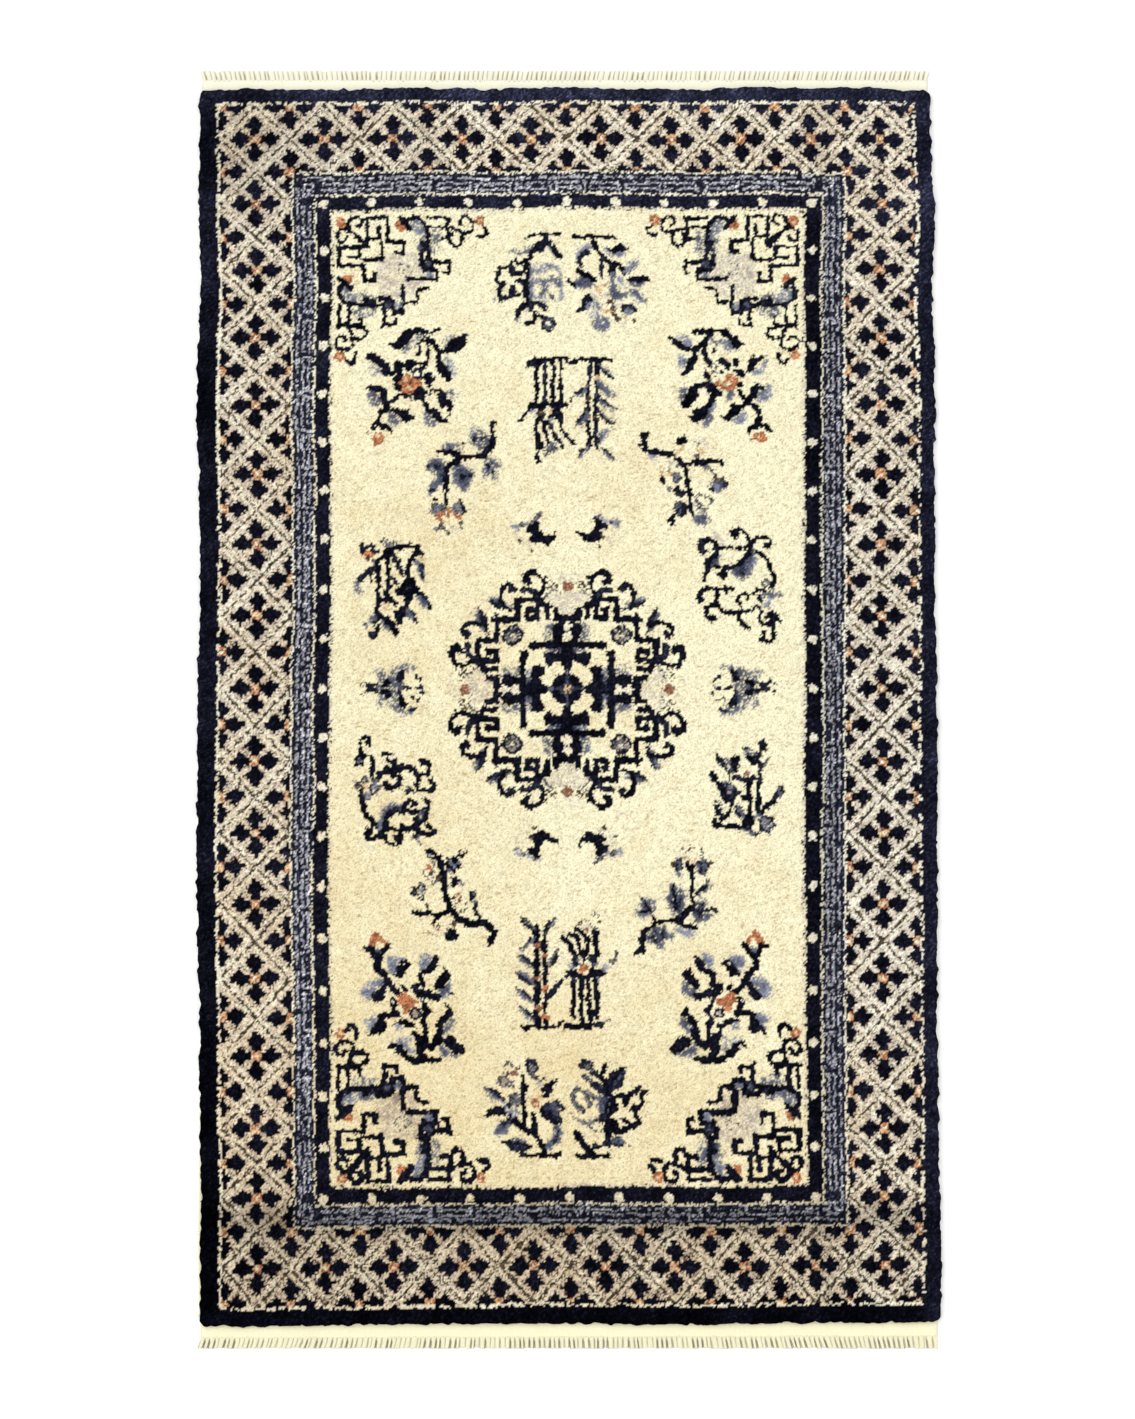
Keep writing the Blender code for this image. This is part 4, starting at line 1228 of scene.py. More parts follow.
PLUM_BRANCH = Motif((162.0, 137.6), 26, (
    Patch("155.4,130 158.4,130.8 157.8,132.4 156.4,131.9", MIST), Stem("153,123.4 155.2,123.3", 1.8),
    Stem("154,123.4 154,127", 2.2), Stem("152,127.4 153.6,127", 1.5),
    Stem("154,128.4 156,129.5 160,130 163.4,130.4 165.2,131.6 166.6,133.4 168,135.2 168.8,138 169,141 "
         "169.6,144 170.3,148 170.8,152", 2.1),
    Stem("157,129.6 160,130 163.6,130.4", 2.5), Stem("169.4,143 170.3,148 170.6,150", 2.6),
    Stem("168,134 169.6,133.8 170.6,133 172.2,133.2", 1.4), Dot((175.4, 134.8), 1.0, SLATE),
    Stem("172,133.4 174.5,133.3 177,132.8", 2.7), Stem("176,133 179.4,132.8 181.2,134.1", 1.8),
    Stem("176.5,135 178.4,137.8", 1.1, ASH),
    Patch("176.6,140.6 179,139.8 182.2,140.4 182.2,142.4 180.6,143.6 179,144.4 177,143.4 "
          "176.6,142", SLATE),
    Dot((179.4, 142), 0.9, MIST), Dot((182, 140.8), 1.0, INK), Dot((177.4, 142.8), 0.9, INK),
    Stem("178.2,139 180,139.2 181.4,139.2", 2.0, UMBER),
    # the bud above and the faint twigs on its right
    Patch("166,125 167.4,123.7 168.8,124.4 169,126.4 167.6,127.2 166.2,126.8 164.9,126.8 165,125.6"),
    Stem("167.7,127.4 167.1,129 165.6,129.6 165.2,131", 1.1, TAN),
    Stem("172.1,125 172.5,127 172.9,128.6", 1.3, ASH, dotted=True),
    Dot((174.5, 126), 0.7, LILAC), Dot((176, 126.6), 0.7, LILAC), Dot((173.9, 129.6), 1.3, TAN),
    Dot((172.3, 131.2), 0.8, ASH),
    # the small buds and blossoms under the arm
    Stem("157,132 159,133.6", 0.9, LILAC), Stem("159.7,135 160,138", 1.2, TAN),
    Patch("158.9,139 160.2,137.9 161.4,139 161.4,140.6 161.8,141.6 160,141 159,140"),
    Stem("162.3,134.8 162.2,137", 1.3, ASH, dotted=True), Dot((163, 137.4), 1.1, TAN),
    Dot((163.5, 133.6), 0.9, LILAC), Dot((165.2, 134.8), 0.8, ASH),
    Bloom((165.2, 138.6), 1.9, 5, ASH, MIST, 0.8), Dot((162.7, 142.6), 1.2, ASH, cover=0.7),
    Patch("164.4,142.2 166,141.7 168,144 167.4,145.4 165.5,145.2 164.3,143.8", INK),
    Patch("163.8,148.6 165,147.2 167,147 168.4,147.7 169.6,149 168.2,152 166,152.2 164.6,151.4 "
          "164.5,149.8", INK),
    Dot((165.6, 148.6), 1.0, SLATE), Dot((166.4, 150.8), 0.8, SLATE),
    Stem("169.6,149 168.4,149.8", 1.6), Stem("164.7,151.4 163.7,152.8 161.9,154.2", 1.3),
    Stem("163.8,152.8 163.8,155.2", 1.4), Stem("171,145.5 172.2,146.7", 1.5, ASH),
    Dot((173, 144.5), 1.0, ASH), Dot((172.6, 148.4), 1.7, ASH, cover=0.8),
    Stem("175,145.8 176.3,145.2 177.4,146.3 176.9,147.9 175.8,148.5", 1.1, ASH),
    Dot((175, 149.6), 0.8, ASH), Dot((173.8, 150.2), 0.8, LILAC), Stem("170.9,146 172,150.6", 1.0, CREAM),
    Bloom((173.9, 153.3), 2.6, 5, SLATE, MIST, 0.7),
))

BAT_LEFT = Motif((127.05, 212.0), 80, (
    Patch("110,158.5 113,157.4 115,161.6 119,162.6 116,164 112,163", LILAC, cover=0.25),
    Stem("108.6,156.4 110.6,155.4 112,155.2 113.8,155.4", 1.9, MIST),
    Dot((111.4, 155.4), 1.0, ASH), Stem("115.3,154.4 116.6,153.2 117.6,151.9", 1.7, ASH),
    Patch("112.9,158 112.9,156.3 114.5,155.1 117.1,154.6 117.3,156.3 118.1,158 119,159 121,159.2 "
          "122.2,158.9 122.7,157 123.3,157.8 122.6,160.5 121.5,161.3 120.5,163 118.5,162.2 116,161.8 "
          "114.4,161.6 113.9,159.8 114.9,158.8 114,158.2"),
    Dot((114.6, 164.2), 0.7, UMBER), Dot((110.6, 161.2), 0.6, ASH),
), (Placed(127.3, 212.0, 2),))

BAT_RIGHT = Motif((127.05, 212.0), 80, (
    Patch("136.3,153 137.5,151.6 140,152.9 142,154.2 143.8,153.1 145.7,155.5 144.5,156.5 142.5,155.4 "
          "140.5,155.2 138,153.9", MIST, cover=0.85),
    Dot((137.8, 152.8), 0.8, ASH), Dot((142, 154.6), 0.7, ASH), Dot((144.8, 155.8), 0.8, SLATE),
    Patch("139.4,157.6 145,156.8 144,161 140.4,162.6", LILAC, cover=0.15),
    Patch("136.2,153.3 138,153.3 140.1,154.7 141.1,156.2 139,156.8 138.3,157.8 139.6,158.8 139.4,160.4 "
          "137.5,161.4 135.5,162.2 133,161.2 131.7,159.6 130.2,158.9 130.2,157.3 131.5,158.2 134,158.6 "
          "135.3,158.4 135.9,157 136.7,156 136.7,154.8"),
    Dot((139.2, 159.6), 0.7, UMBER), Dot((138.3, 163.4), 0.7, UMBER),
), (Placed(127.0, 211.2, 2),))

POTTED_PLANT = Motif((66.0, 177.3), 26, (
    Patch("61.2,161.3 63.5,159.8 66,160.4 67.6,162.6 65.5,163.6 64,164 62.9,162.4", ASH, cover=0.7),
    # the flower on the left and the arms at the top
    Patch("55.6,165.3 57,164.1 59,164.7 59.6,166 58,167.2 57.3,168.2 56.2,167", RUST, cover=0.85),
    Dot((57.2, 166.8), 0.8, UMBER), Stem("55.3,162.3 55.9,164.6", 1.4, INK),
    Stem("57.3,162.8 59,162.5 59.3,164.7 61,164.9", 1.4, INK), Stem("59.8,168.8 58.8,167", 1.1, ASH),
    Stem("65,164.4 67,163.8 70,163.3 73,163.2 75,163.7 76.1,165.7", 1.8),
    Stem("74.6,164.4 73.5,166.6 72,168.3 71.8,169.9", 1.8), Stem("71.6,171 71.3,174", 1.8),
    Stem("64.7,165 64.3,170 64.8,174 64.2,178 64.1,181.6", 1.8), Dot((64.8, 165), 1.6),
    Stem("64.9,174 66.4,174.8 67.8,175.9", 1.3, INK),
    Patch("65.9,164.8 67.8,166.4 68.9,169 69.8,171 70.2,173.5 68.5,173 67.3,170 66,168", INK),
    Dot((68.9, 168.2), 0.7, INK), Stem("63.6,166 62,167 60.8,168.4 60.6,170", 1.6),
    Stem("60.9,169.8 61,175.2", 2.2),
    Patch("60.3,170.1 58.5,169.7 56.5,171 54.5,172.6 53,174 53.4,175.5 55.5,175 57,173.2 57.8,172.4 "
          "57.9,175.2 58.9,175.2 59.1,172.6 60,171.6", INK),
    Stem("53.7,175.5 53.3,177 54.7,178.8", 1.6, SLATE),
    Stem("61.3,176.6 60.9,178 61.2,180 61.2,183 60.7,185 61,188", 1.6),
    Dot((61.5, 177), 0.8),
    Patch("73.6,167.8 75,167.3 76.7,169 77.2,171 77.2,174 76.5,175.2 75.2,174 74.6,171.5 "
          "74.2,169.5", SLATE),
    Stem("76.2,169.6 76.4,173.6", 1.4, INK),
    # the navy knot with its leaves
    Leaf((74, 177.6), (79.2, 185.2), 2.8, INK, SLATE),
    Patch("66.6,177.6 68,177.5 69.5,175.4 70.8,174.1 72.8,174.1 74.2,174.9 74.2,176.5 75.4,177.8 "
          "75.4,180 73.5,180.1 72.9,181.2 72,182.4 70.5,182.2 69.7,180.3 68,180.7 67.2,179.2"),
    Dot((71.3, 177.5), 0.6, SLATE), Dot((78.9, 184.9), 0.8), Stem("71,182 70.8,184.4", 1.8),
    Patch("70.3,184.3 72.3,185.1 74,187 75.2,188.8 74.4,190.2 72.5,189 70.6,187.5", SLATE),
    Stem("72.6,185.6 74.6,189.4", 1.1, INK),
    Patch("66.6,185.8 68.4,184.5 70.2,184.3 70.6,187 69.4,189.7 68,190.5 67,188.5"),
    # the foot
    Stem("61.4,182.5 63,181.4 65.8,181.4 67.1,182.9", 1.9), Dot((64.3, 181.2), 1.3),
    Dot((64, 184), 1.7, TAN, cover=0.5),
    Patch("62,188.8 64,189.3 66.2,192.4 64.8,193 63,191.2", SLATE),
    Stem("60.9,186.4 63.4,188 65.4,189.7 66.8,191.8 67.4,193.2", 2.3),
    Patch("58.6,187.3 60,186.1 60.5,188.3 59,189.2", SLATE), Dot((60, 189.5), 0.9, INK),
    Dot((58.2, 189), 0.7, SLATE), Dot((56.8, 190.1), 0.8, ASH), Stem("61.3,190.8 60.4,192.2", 1.5),
    Patch("57.9,192.6 60,191.8 61,193.5 60,195 58.7,195.1", INK),
))

SCROLL = Motif((186.4, 176.7), 27, (
    Patch("176.7,170.6 177.5,167.6 179.5,165.8 181.2,165.8 179.7,168.2 178.6,170.2", SLATE),
    Stem("178.8,158.6 179.6,160 181,161.6", 1.5, LILAC),
    Patch("191,161.5 192.1,163 192.1,165.5 192.5,168 191.9,171 190.3,173.2 188.6,173.7 187.8,175.7 "
          "186.7,174.2 184.9,173.7 184.2,171.5 186.5,170.3 189,168.3 190.6,165.5", SLATE),
    Dot((187.8, 172.4), 1.0, INK), Dot((190.6, 170), 1.0, MIST),
    # the hook on the left
    Patch("172.2,161.5 173.5,160 175.4,159.6 175.2,161.3 174.5,163 176.7,165 175,165.2 174,165.8 "
          "172.8,165 172.1,164", INK),
    Stem("175,160.5 178,160.8 178.9,162.6 179,164.4 178.2,166", 1.8),
    Dot((178.9, 163), 1.5), Stem("178.4,165.6 176.4,167.3 175.6,168.6 175.8,170.8", 2.4),
    Stem("175.6,170.8 174.7,172.4 174.7,175", 1.3), Stem("180,163 182,163.5 184,163.2", 1.5),
    Stem("185.7,163.6 187.6,163.7 189.6,163.2", 1.4),
    # the curls at the top and the long arc
    Stem("184.4,157.6 184.3,159 185.3,159.7 185.9,158.4", 1.9),
    Stem("185.1,157.4 186.5,156.8 188,157.7 189.3,158.8 190,160.2", 1.5),
    Stem("190,160 190.6,162 190.1,165 189,167 187,168.9 185,170 183,170.6 181.5,171.6 181,173", 2.1),
    Dot((181.2, 173), 1.5), Dot((179.7, 172.9), 0.8), Stem("178.4,169.8 181,170.1 183.4,170.1", 1.4),
    Stem("191.4,161.4 193,160.3 195,160.2 196.9,160.3 197.4,161.7 196.6,163.2 195.2,163.4", 1.4),
    Dot((196, 162.7), 1.2, INK),
    Stem("193.2,165 195,166 197,169 198.2,172 198.6,175 197.7,178", 1.7),
    Dot((195, 173.5), 0.7, LILAC), Dot((196, 176), 1.4, ASH), Dot((195.9, 176), 0.6, IVORY),
    # the short hooks below
    Stem("173,181.3 172.8,179.9 173.8,178 176,177.3 178.8,177.9", 1.6),
    Dot((173, 181.2), 1.3), Stem("179,178 178.8,181.5 179.6,183.6", 1.7),
    Stem("180,178 182,177.5 184.3,177.8", 1.7), Dot((182.3, 179), 0.6),
    Stem("174.9,184.6 176,183.4 179,183.2 180.4,184.4", 1.5),
    Stem("175.3,184.4 175.4,187 176.5,188.2 178.4,188", 1.7), Dot((177, 187.9), 1.4),
    Stem("180.4,184.9 182,185.9 185,186 187,186 190.1,185.4", 1.8),
    Stem("186.6,186.4 186.3,188.3 187.8,190 189.7,191.4", 2.1),
    Stem("186.2,182.1 187,180 188.5,179.7 190,180 189.6,181.4", 1.6),
    Stem("187,183 187.7,185", 1.2),
    Stem("191.9,179.6 193.3,178.2 195,178.3 195,180.6 193,181 194.2,182.4", 1.6),
    Stem("195.4,180 200.6,180", 2.2, SLATE), Dot((198.2, 178.9), 0.8, SLATE),
    Stem("197.4,181.4 197,182.8 195.8,183.7", 1.9, MIST),
    Stem("191.3,185.2 192,184 193.4,184.4 194.2,185.5 193.8,188 194.9,190.6", 1.5),
    Stem("196.3,187.6 198,186.4 199.5,187 200.8,189.1", 1.7), Stem("196,190 197.8,190 198.3,188.2", 2.1),
    Stem("198,190.2 198.5,193 198.3,195 197,196.4 195.5,196", 1.7),
    Stem("195.3,193.2 195,194.4 193.9,195.4", 2.0),
))

BUTTERFLY = Motif((68.3, 212.4), 18, (
    Patch("59.8,206.5 61.4,206 63,205.3 64.6,207.6 66,205.6 68.5,204.6 69,206 70.6,207 70.4,212 69.8,214 "
          "70,216 72,218.3 74.2,219 74,221.2 71,221.6 68,220.6 66,219.2 65.2,217.2 63.4,216.6 62.4,218.8 "
          "61,217.6 61.8,215 61,212 61.6,209", SLATE, cover=0.8),
    Patch("69.4,205 71,203.7 73,203.7 74.4,204.6 74,206.2 72.6,205.6 71.5,207.2 "
          "70.4,206.6", SLATE, cover=0.8),
    Patch("68,208.2 69.7,206 71,206.2 70.6,208.2 69.4,209.8 68,209.8"),
    Patch("62.4,211.2 63.5,209.4 65.4,208.4 65.8,210.2 64.5,211.8"),
    Patch("62.6,212.8 65.6,212.7 66,214.8 64.8,215.5 63.2,214.4"),
    Patch("68.4,214.8 69.9,215 71.7,217 71.4,219 69.8,218.9 68.4,217"),
    Stem("69,213.3 69.6,214.8", 1.3, INK), Stem("73.2,220.2 74.3,219", 1.3, INK),
    Stem("57.6,210.5 59.2,211.3 61.2,210.6", 1.6, INK), Stem("57.7,213 60,212.7 61.6,213.4", 1.6, INK),
    Dot((55.6, 210.6), 0.7), Dot((57.2, 209.8), 0.5), Dot((56, 213.8), 0.6),
    Dot((70.6, 211.8), 0.7, INK),
    *(Dot(at, 0.75, INK) for at in (
        (75, 208.2), (76.4, 209.4), (72.8, 212.1), (75, 212.4), (76.4, 211.9), (76.9, 213.9), (73.4, 215.5),
        (75.1, 216.1), (71.6, 212.1))),
), (Placed(186.1, 212.3, 0, True),))

LOWER_PEONY = Motif((71.3, 319.0), 28, (
    # the bud at the side and the stem
    Patch("58,299.6 59.2,297 60.4,295.4 62,295.2 63.6,297.2 65.2,299.4 63.4,299.4 62.2,297.8 61.4,297.8 "
          "60.8,299.4", RUST),
    Stem("57.6,300.4 59.4,300.4 60.4,302.6 61.2,304.6", 1.6),
    Stem("65,300 63.6,301.2 62.4,303.2 61.4,305", 1.7), Dot((61.5, 301.5), 1.0, SLATE),
    Stem("60.4,303.2 61.5,303.8 61.1,306.9 63.1,309.1 64.5,310.9 65.7,313.1 67.5,314.9 68.4,316", 1.8),
    # the leaves
    Patch("64.8,303.8 66.8,303.2 69.6,303.6 70.8,304.4 69.1,305.6 67.8,307.8 65.9,309.3 "
          "65,306.4", MIST, cover=0.95),
    Patch("66.6,309.3 68.2,307.3 69.6,305.3 71,304.4 72.4,304.9 73.2,306.4 71.9,306.9 71.2,307.8 "
          "70.5,309.8 69.1,310.4 66.8,310"),
    Dot((70.5, 306.2), 0.5, CREAM),
    Patch("75.6,303.8 77.5,302.8 80.2,302.7 79.8,304.4 78.4,306.7 76.1,308", MIST, cover=0.95),
    Patch("76.5,308 78.4,306.9 79.8,304.7 81.4,302.9 83,304.2 82.1,304.9 82.1,306.9 81.2,308.2 "
          "79.3,309.3 77,309.6"),
    Stem("75.8,309.6 76.3,311.3 76.1,313.6 74.7,314.4", 1.6),
    Patch("86.5,311.3 86.7,314 84.8,317.3 82.5,316.9 82.1,314.9 83.9,314", SLATE, cover=0.95),
    Patch("83.7,306.7 84.9,308 86.5,309.1 86.2,310.7 84.8,312.7 83.5,314 81.6,314.9 80.5,314 81.2,311.3 "
          "82.5,309.6 83.9,308.9"),
    Dot((86.7, 315.8), 0.7, INK), Stem("81.6,317.1 80.2,316.9 78.4,316 76.5,315.3", 2.0),
    Patch("63.1,311.4 59.4,311.1 56.7,313.1 55,315.1 56.7,317.6 57.8,318.7 59,316.7 60.8,314.4 "
          "62.7,312.4", MIST, cover=0.95),
    Patch("63.6,311.6 64.5,312.2 63.8,314.4 63.6,316.7 61.8,318.2 59.4,318.2 59,316.2 60.8,314.9 "
          "62.7,312.7"),
    Patch("56.2,324.9 59.4,322.9 61.5,322.9 60.8,325.1 59,327.3 57.6,328.2 57.4,326", MIST, cover=0.95),
    Patch("61.8,323.1 63.6,324.2 63.6,327.8 62,329.8 60.1,328.9 58.1,330 57.4,329.3 59,327.3 60.8,325.1"),
    Stem("65.9,322.9 63.6,323.1 61.8,323.4", 1.6),
    Patch("65.5,332 70.1,331.3 72.8,334 73.8,336.2 72,335.6 70.1,333.7", MIST, cover=0.75),
    Patch("70.6,330.4 72.8,330.2 73,332 71.4,332", MIST, cover=0.5),
    Patch("64.5,334.2 65.5,332 67.8,332.2 70.1,334 71.9,336.2 73.8,338.2 71.9,338.4 69.6,337.3 "
          "67.8,335.8 65.9,334.4"),
    Dot((66.8, 334), 0.5, CREAM),
    Patch("87.4,323.3 87.9,325.1 86.7,327.8 84.4,329.6 82.1,329.6 82.8,327.8 84.2,325.8 "
          "85.8,324.2", SLATE, cover=0.95),
    Patch("84.6,319.1 86.2,320.7 87.2,322.9 85.3,324.2 83.9,326 82.5,328.2 81.6,328.7 81.2,326.9 "
          "81.6,324.7 83.5,322.9 84.8,321.6"),
    Patch("82.1,332.2 83.9,333.6 86.7,335.6 89,336.7 84.8,337.2 82.1,335.8", SLATE, cover=0.95),
    Patch("82.5,331.3 84.4,330.4 87.2,330.2 89,332.2 91.3,334.2 90.9,336 89,336.2 86.7,335.3 84.6,333.6 "
          "83.5,332.2"),
    Stem("82.4,328.6 81.8,330.6 80.6,332.4 79.3,333.6", 2.1),
    # the flower
    Patch("68.2,316.7 70.1,315.6 71.9,316.2 72.8,317.8 74.9,318 75.1,319.3 72.8,320.2 71.7,322.2 "
          "70.3,322.4 69.4,320.2 68,318.9", RUST),
    Patch("68.9,313.3 70.1,313.1 71.7,314.4 71.5,315.6 70.1,314.9"),
    Patch("72.8,312.7 74.7,312.4 75.6,314 77.5,315.3 75.6,317.3 74.2,316.7 72.8,314.9"),
    Dot((76.2, 314.2), 0.5, CREAM),
    Patch("65.7,316.9 67.5,317.6 68,319.3 67.6,320.6 69.1,322.9 68.2,324.2 66.4,323.6 65.7,321.6 "
          "64.8,319.3"),
    Dot((65.9, 318.7), 0.5, CREAM),
    Patch("70.1,324 71.9,325.3 73.8,326 74.9,327.1 73.3,327.8 71.5,327.3 69.6,326 67.5,326 66.4,326.4 "
          "67.1,325.3 68.8,324.6"),
    Dot((68.5, 327.3), 1.3, MIST, cover=0.95),
    Patch("76.1,319.3 77.5,318.9 78.4,320.2 80,321.6 79.1,322.7 77.5,322.4 76.1,321.1"),
    Dot((76.4, 317.8), 1.1, INK), Dot((76.4, 317.8), 0.5, CREAM), Dot((74, 322.6), 2.0, INK),
    Dot((74.1, 322.6), 1.0, LILAC),
    Stem("77.5,322.9 76.5,325.1 77.7,326.4 77.5,328.7 77.7,331.8 78.6,333.6", 1.5),
    Stem("74,329.6 75.6,331.3 75.2,334 76.1,336.7", 1.9), Stem("72.8,338.2 77,338.2 82.1,338", 1.6),
    Dot((76.3, 337.3), 1.8), Stem("77.6,333.4 76.4,334.2 75.6,335.6", 1.6),
    Stem("79.3,333.6 81.6,331.8", 2.0),
), (Placed(181.9, 318.6, 0, True),))

UPPER_PEONY = Motif((183.1, 106.0), 28, (
    # the bent stem over the flower and the leaf at its end
    Stem("171.5,87.2 172.4,86.5 173.7,86.9 176.2,86.7 178.7,86.7 181.2,86.8 183.2,87.3", 1.5),
    Dot((177.4, 87.8), 1.2),
    Patch("181.1,90.3 183.4,89.9 184.8,92.1 186.8,93.7 184.6,94.3 181.7,93.8 "
          "181.1,92.1", MIST, cover=0.95),
    Patch("183.2,87 185.1,88.9 187,89.4 187.1,91 189.1,91.6 188.5,92.6 187.3,92.7 186.8,93.7 185.1,92.8 "
          "183.9,90.6 182.6,89.4 181.3,88.8 180.9,87.5"),
    Stem("176.4,88 175.7,89.7 174.7,91 173.2,92.2 171.8,93.5", 1.5),
    Stem("175.7,89.7 175.5,92.1", 1.2), Stem("177.1,89.6 178.7,90.7", 1.3, SLATE),
    Stem("180.4,89.9 179.8,90.9", 1.0, SLATE), Patch("177.5,94.7 178.4,92.6 179.3,94.2 178.7,95"),
    Stem("175,92.5 174.8,94 175.4,96.1 176.2,97.7 177.2,99.2", 1.4),
    Dot((178.4, 100), 1.3, ASH, cover=0.6),
    # the leaves on the left
    Patch("164.8,88.4 166.8,88.6 168.5,87.8 170.3,88.8 170.7,91.1 169.5,92.4 167.7,91.1 "
          "165.9,89.6", MIST, cover=0.95),
    Patch("162.4,88.6 164.3,88.4 165.1,89.7 166.9,90.7 168.7,91.9 169.8,93.1 167.7,94.1 165.7,93 "
          "164.3,91.5 163.8,90.1 162.4,89.8"),
    Stem("169.2,92.8 171.4,93.3 173.2,92.2", 1.5), Stem("171.5,93.5 171.5,95.3", 1.8),
    Patch("165.7,95.7 168.2,95.6 169.4,96.7 168.5,98.7 167,100.1 165.7,97.7", MIST, cover=0.95),
    Patch("170.7,95 171.8,94.3 172.4,96.1 172,98.7 170.8,100.6 169.5,101.6 168.7,102.8 167.5,103.2 "
          "167,102.2 167.8,100.6 168.7,98.2 169.7,96.6"),
    Patch("167.7,105.2 169.1,107.3 168.8,109.4 167.1,111.4 166.1,109.9 166.3,107.9 "
          "167.2,106.7", SLATE, cover=0.95),
    Patch("170.2,106.7 172,106.3 173,107.7 173.1,109.9 172.1,111.9 171,112.8 169.6,114.6 167.8,114.2 "
          "166.8,112.4 167.8,110.9 168.8,109.4 169,107.8"),
    Stem("172,106.3 173.1,105.7 173.5,106.3 175.7,105.9 177.3,107.3 176.7,108.3", 1.5),
    Patch("175.3,100 176.2,101.2 177.7,102.7 177.2,104.9 175.3,104.3 174.4,102.9 173.6,102.5 "
          "174.5,101.9"),
    Dot((177.4, 104.9), 0.8, SLATE), Stem("177.2,103 178.6,102.8 179.7,102.3", 1.0, NAVY, True),
    Dot((180.9, 101.4), 0.6),
    # the rust heart and its petals
    Patch("178.4,104.8 180.2,104.1 181.6,104.7 182.6,102.5 184.2,101.9 185.6,103.1 186.7,105.1 "
          "186.2,107.2 185.2,108.2 183.1,108.4 180.9,107.5 178.7,105.9", RUST),
    Dot((183.8, 105.6), 0.9, CREAM), Dot((182.4, 106.4), 0.8, TAN),
    Dot((180.7, 105.3), 0.8, TAN), Dot((184.6, 103.5), 0.8, TAN),
    Patch("179.3,96.8 181.2,95.9 182.4,97.4 183.9,98.3 184,100.6 182.7,101 181.2,99.4 179.4,97.8"),
    Patch("184.7,98 185.8,96.9 187.1,98 187,99.6 185.5,99.8"),
    Patch("184.8,101.6 186.6,100.4 188.3,101.1 188.8,103.7 187.6,103.2 186,102.7"),
    Patch("186.5,105.1 188.6,105.3 188.5,106.5 187.4,107.5 186.3,107.1"),
    Patch("186.1,108.1 187.9,108.2 188.2,110.2 188.9,111 187.8,111.3 186.6,110"),
    Patch("178,104.8 179.6,107.4 181.2,108.1 181.4,109.6 180.2,110.7 178.2,109.8 178.4,107.9 "
          "177.6,106.8"),
    Patch("182.6,108.6 184.6,108.2 185.4,110.1 183.2,111.5", SLATE),
    Stem("178.1,109.3 177.7,110.6 177.4,112.4 176.3,113.6", 1.8),
    Stem("178.4,112.9 177.7,114.4", 1.3, MIST),
    # the lower leaves
    Patch("176.2,113.8 177.7,115.9 177.8,118.5 176,120.8 173.7,119.8 175.5,117.5", SLATE, cover=0.95),
    Patch("171,115.4 173.2,113.8 175.8,113.4 175.9,116.4 174.7,118 173.2,119.1 170.8,119.5 169.8,118.1 "
          "169.8,116.9 171.3,117"),
    Patch("184.6,118.3 187.6,116.3 189.8,115.8 189.7,118.4 188.1,120.4 185.6,120.6 "
          "184.4,119.3", MIST, cover=0.95),
    Patch("180.8,117 183.1,116.7 183.6,114.6 184.9,113.1 186.7,113.5 189.1,112.2 190.5,112.7 189.1,114.4 "
          "187.6,115.8 185.6,117.3 183.6,118.8 181.2,118.2"),
    # the leaves on the right
    Patch("193,101.1 196,97.6 197.2,98.2 196,100.7 195.4,102.7 192.1,102.7 190.5,102", MIST, cover=0.95),
    Patch("190,98.7 191,97 192,95.4 193.1,96.7 195,95.8 196.5,96 195.5,97.1 193.5,98.7 192,100.7 "
          "190,102.2 189.2,101.9 190.2,100.4"),
    Patch("194,108.8 196.1,106.8 197.4,105.9 198.7,108.3 197.5,111.2 194,112.5 192.3,111.5 "
          "193.5,110", MIST, cover=0.95),
    Patch("190.9,107.8 191.8,106.3 193,105.3 194.2,106.5 195.1,106.6 195.6,107.7 194.1,108.3 193.5,109.8 "
          "191.8,111.6 190.9,110.3"),
    Stem("191.1,110.5 190.4,111.8", 1.4),
    # the bud that hangs at the side
    Stem("188.3,111 190.1,111.7 191.1,113.2 193,114.8 193.8,116.8 194,118.5", 1.5),
    Patch("192.3,118.3 194.5,118 195.1,119.8 193.1,120.9 191.9,119.7"),
    Stem("190.3,122.8 191.3,121.3 193.1,121.7", 1.6, NAVY),
    Stem("194,120.6 195.6,120.7 196.6,121.6 197.7,122.6", 1.5, NAVY),
    Patch("190.9,125.1 193.1,123.8 195.5,123.1 196.4,125.6 194.6,127.2 193.5,126 191.5,125.9", RUST),
    Dot((193.7, 124.8), 0.9, TAN),
))

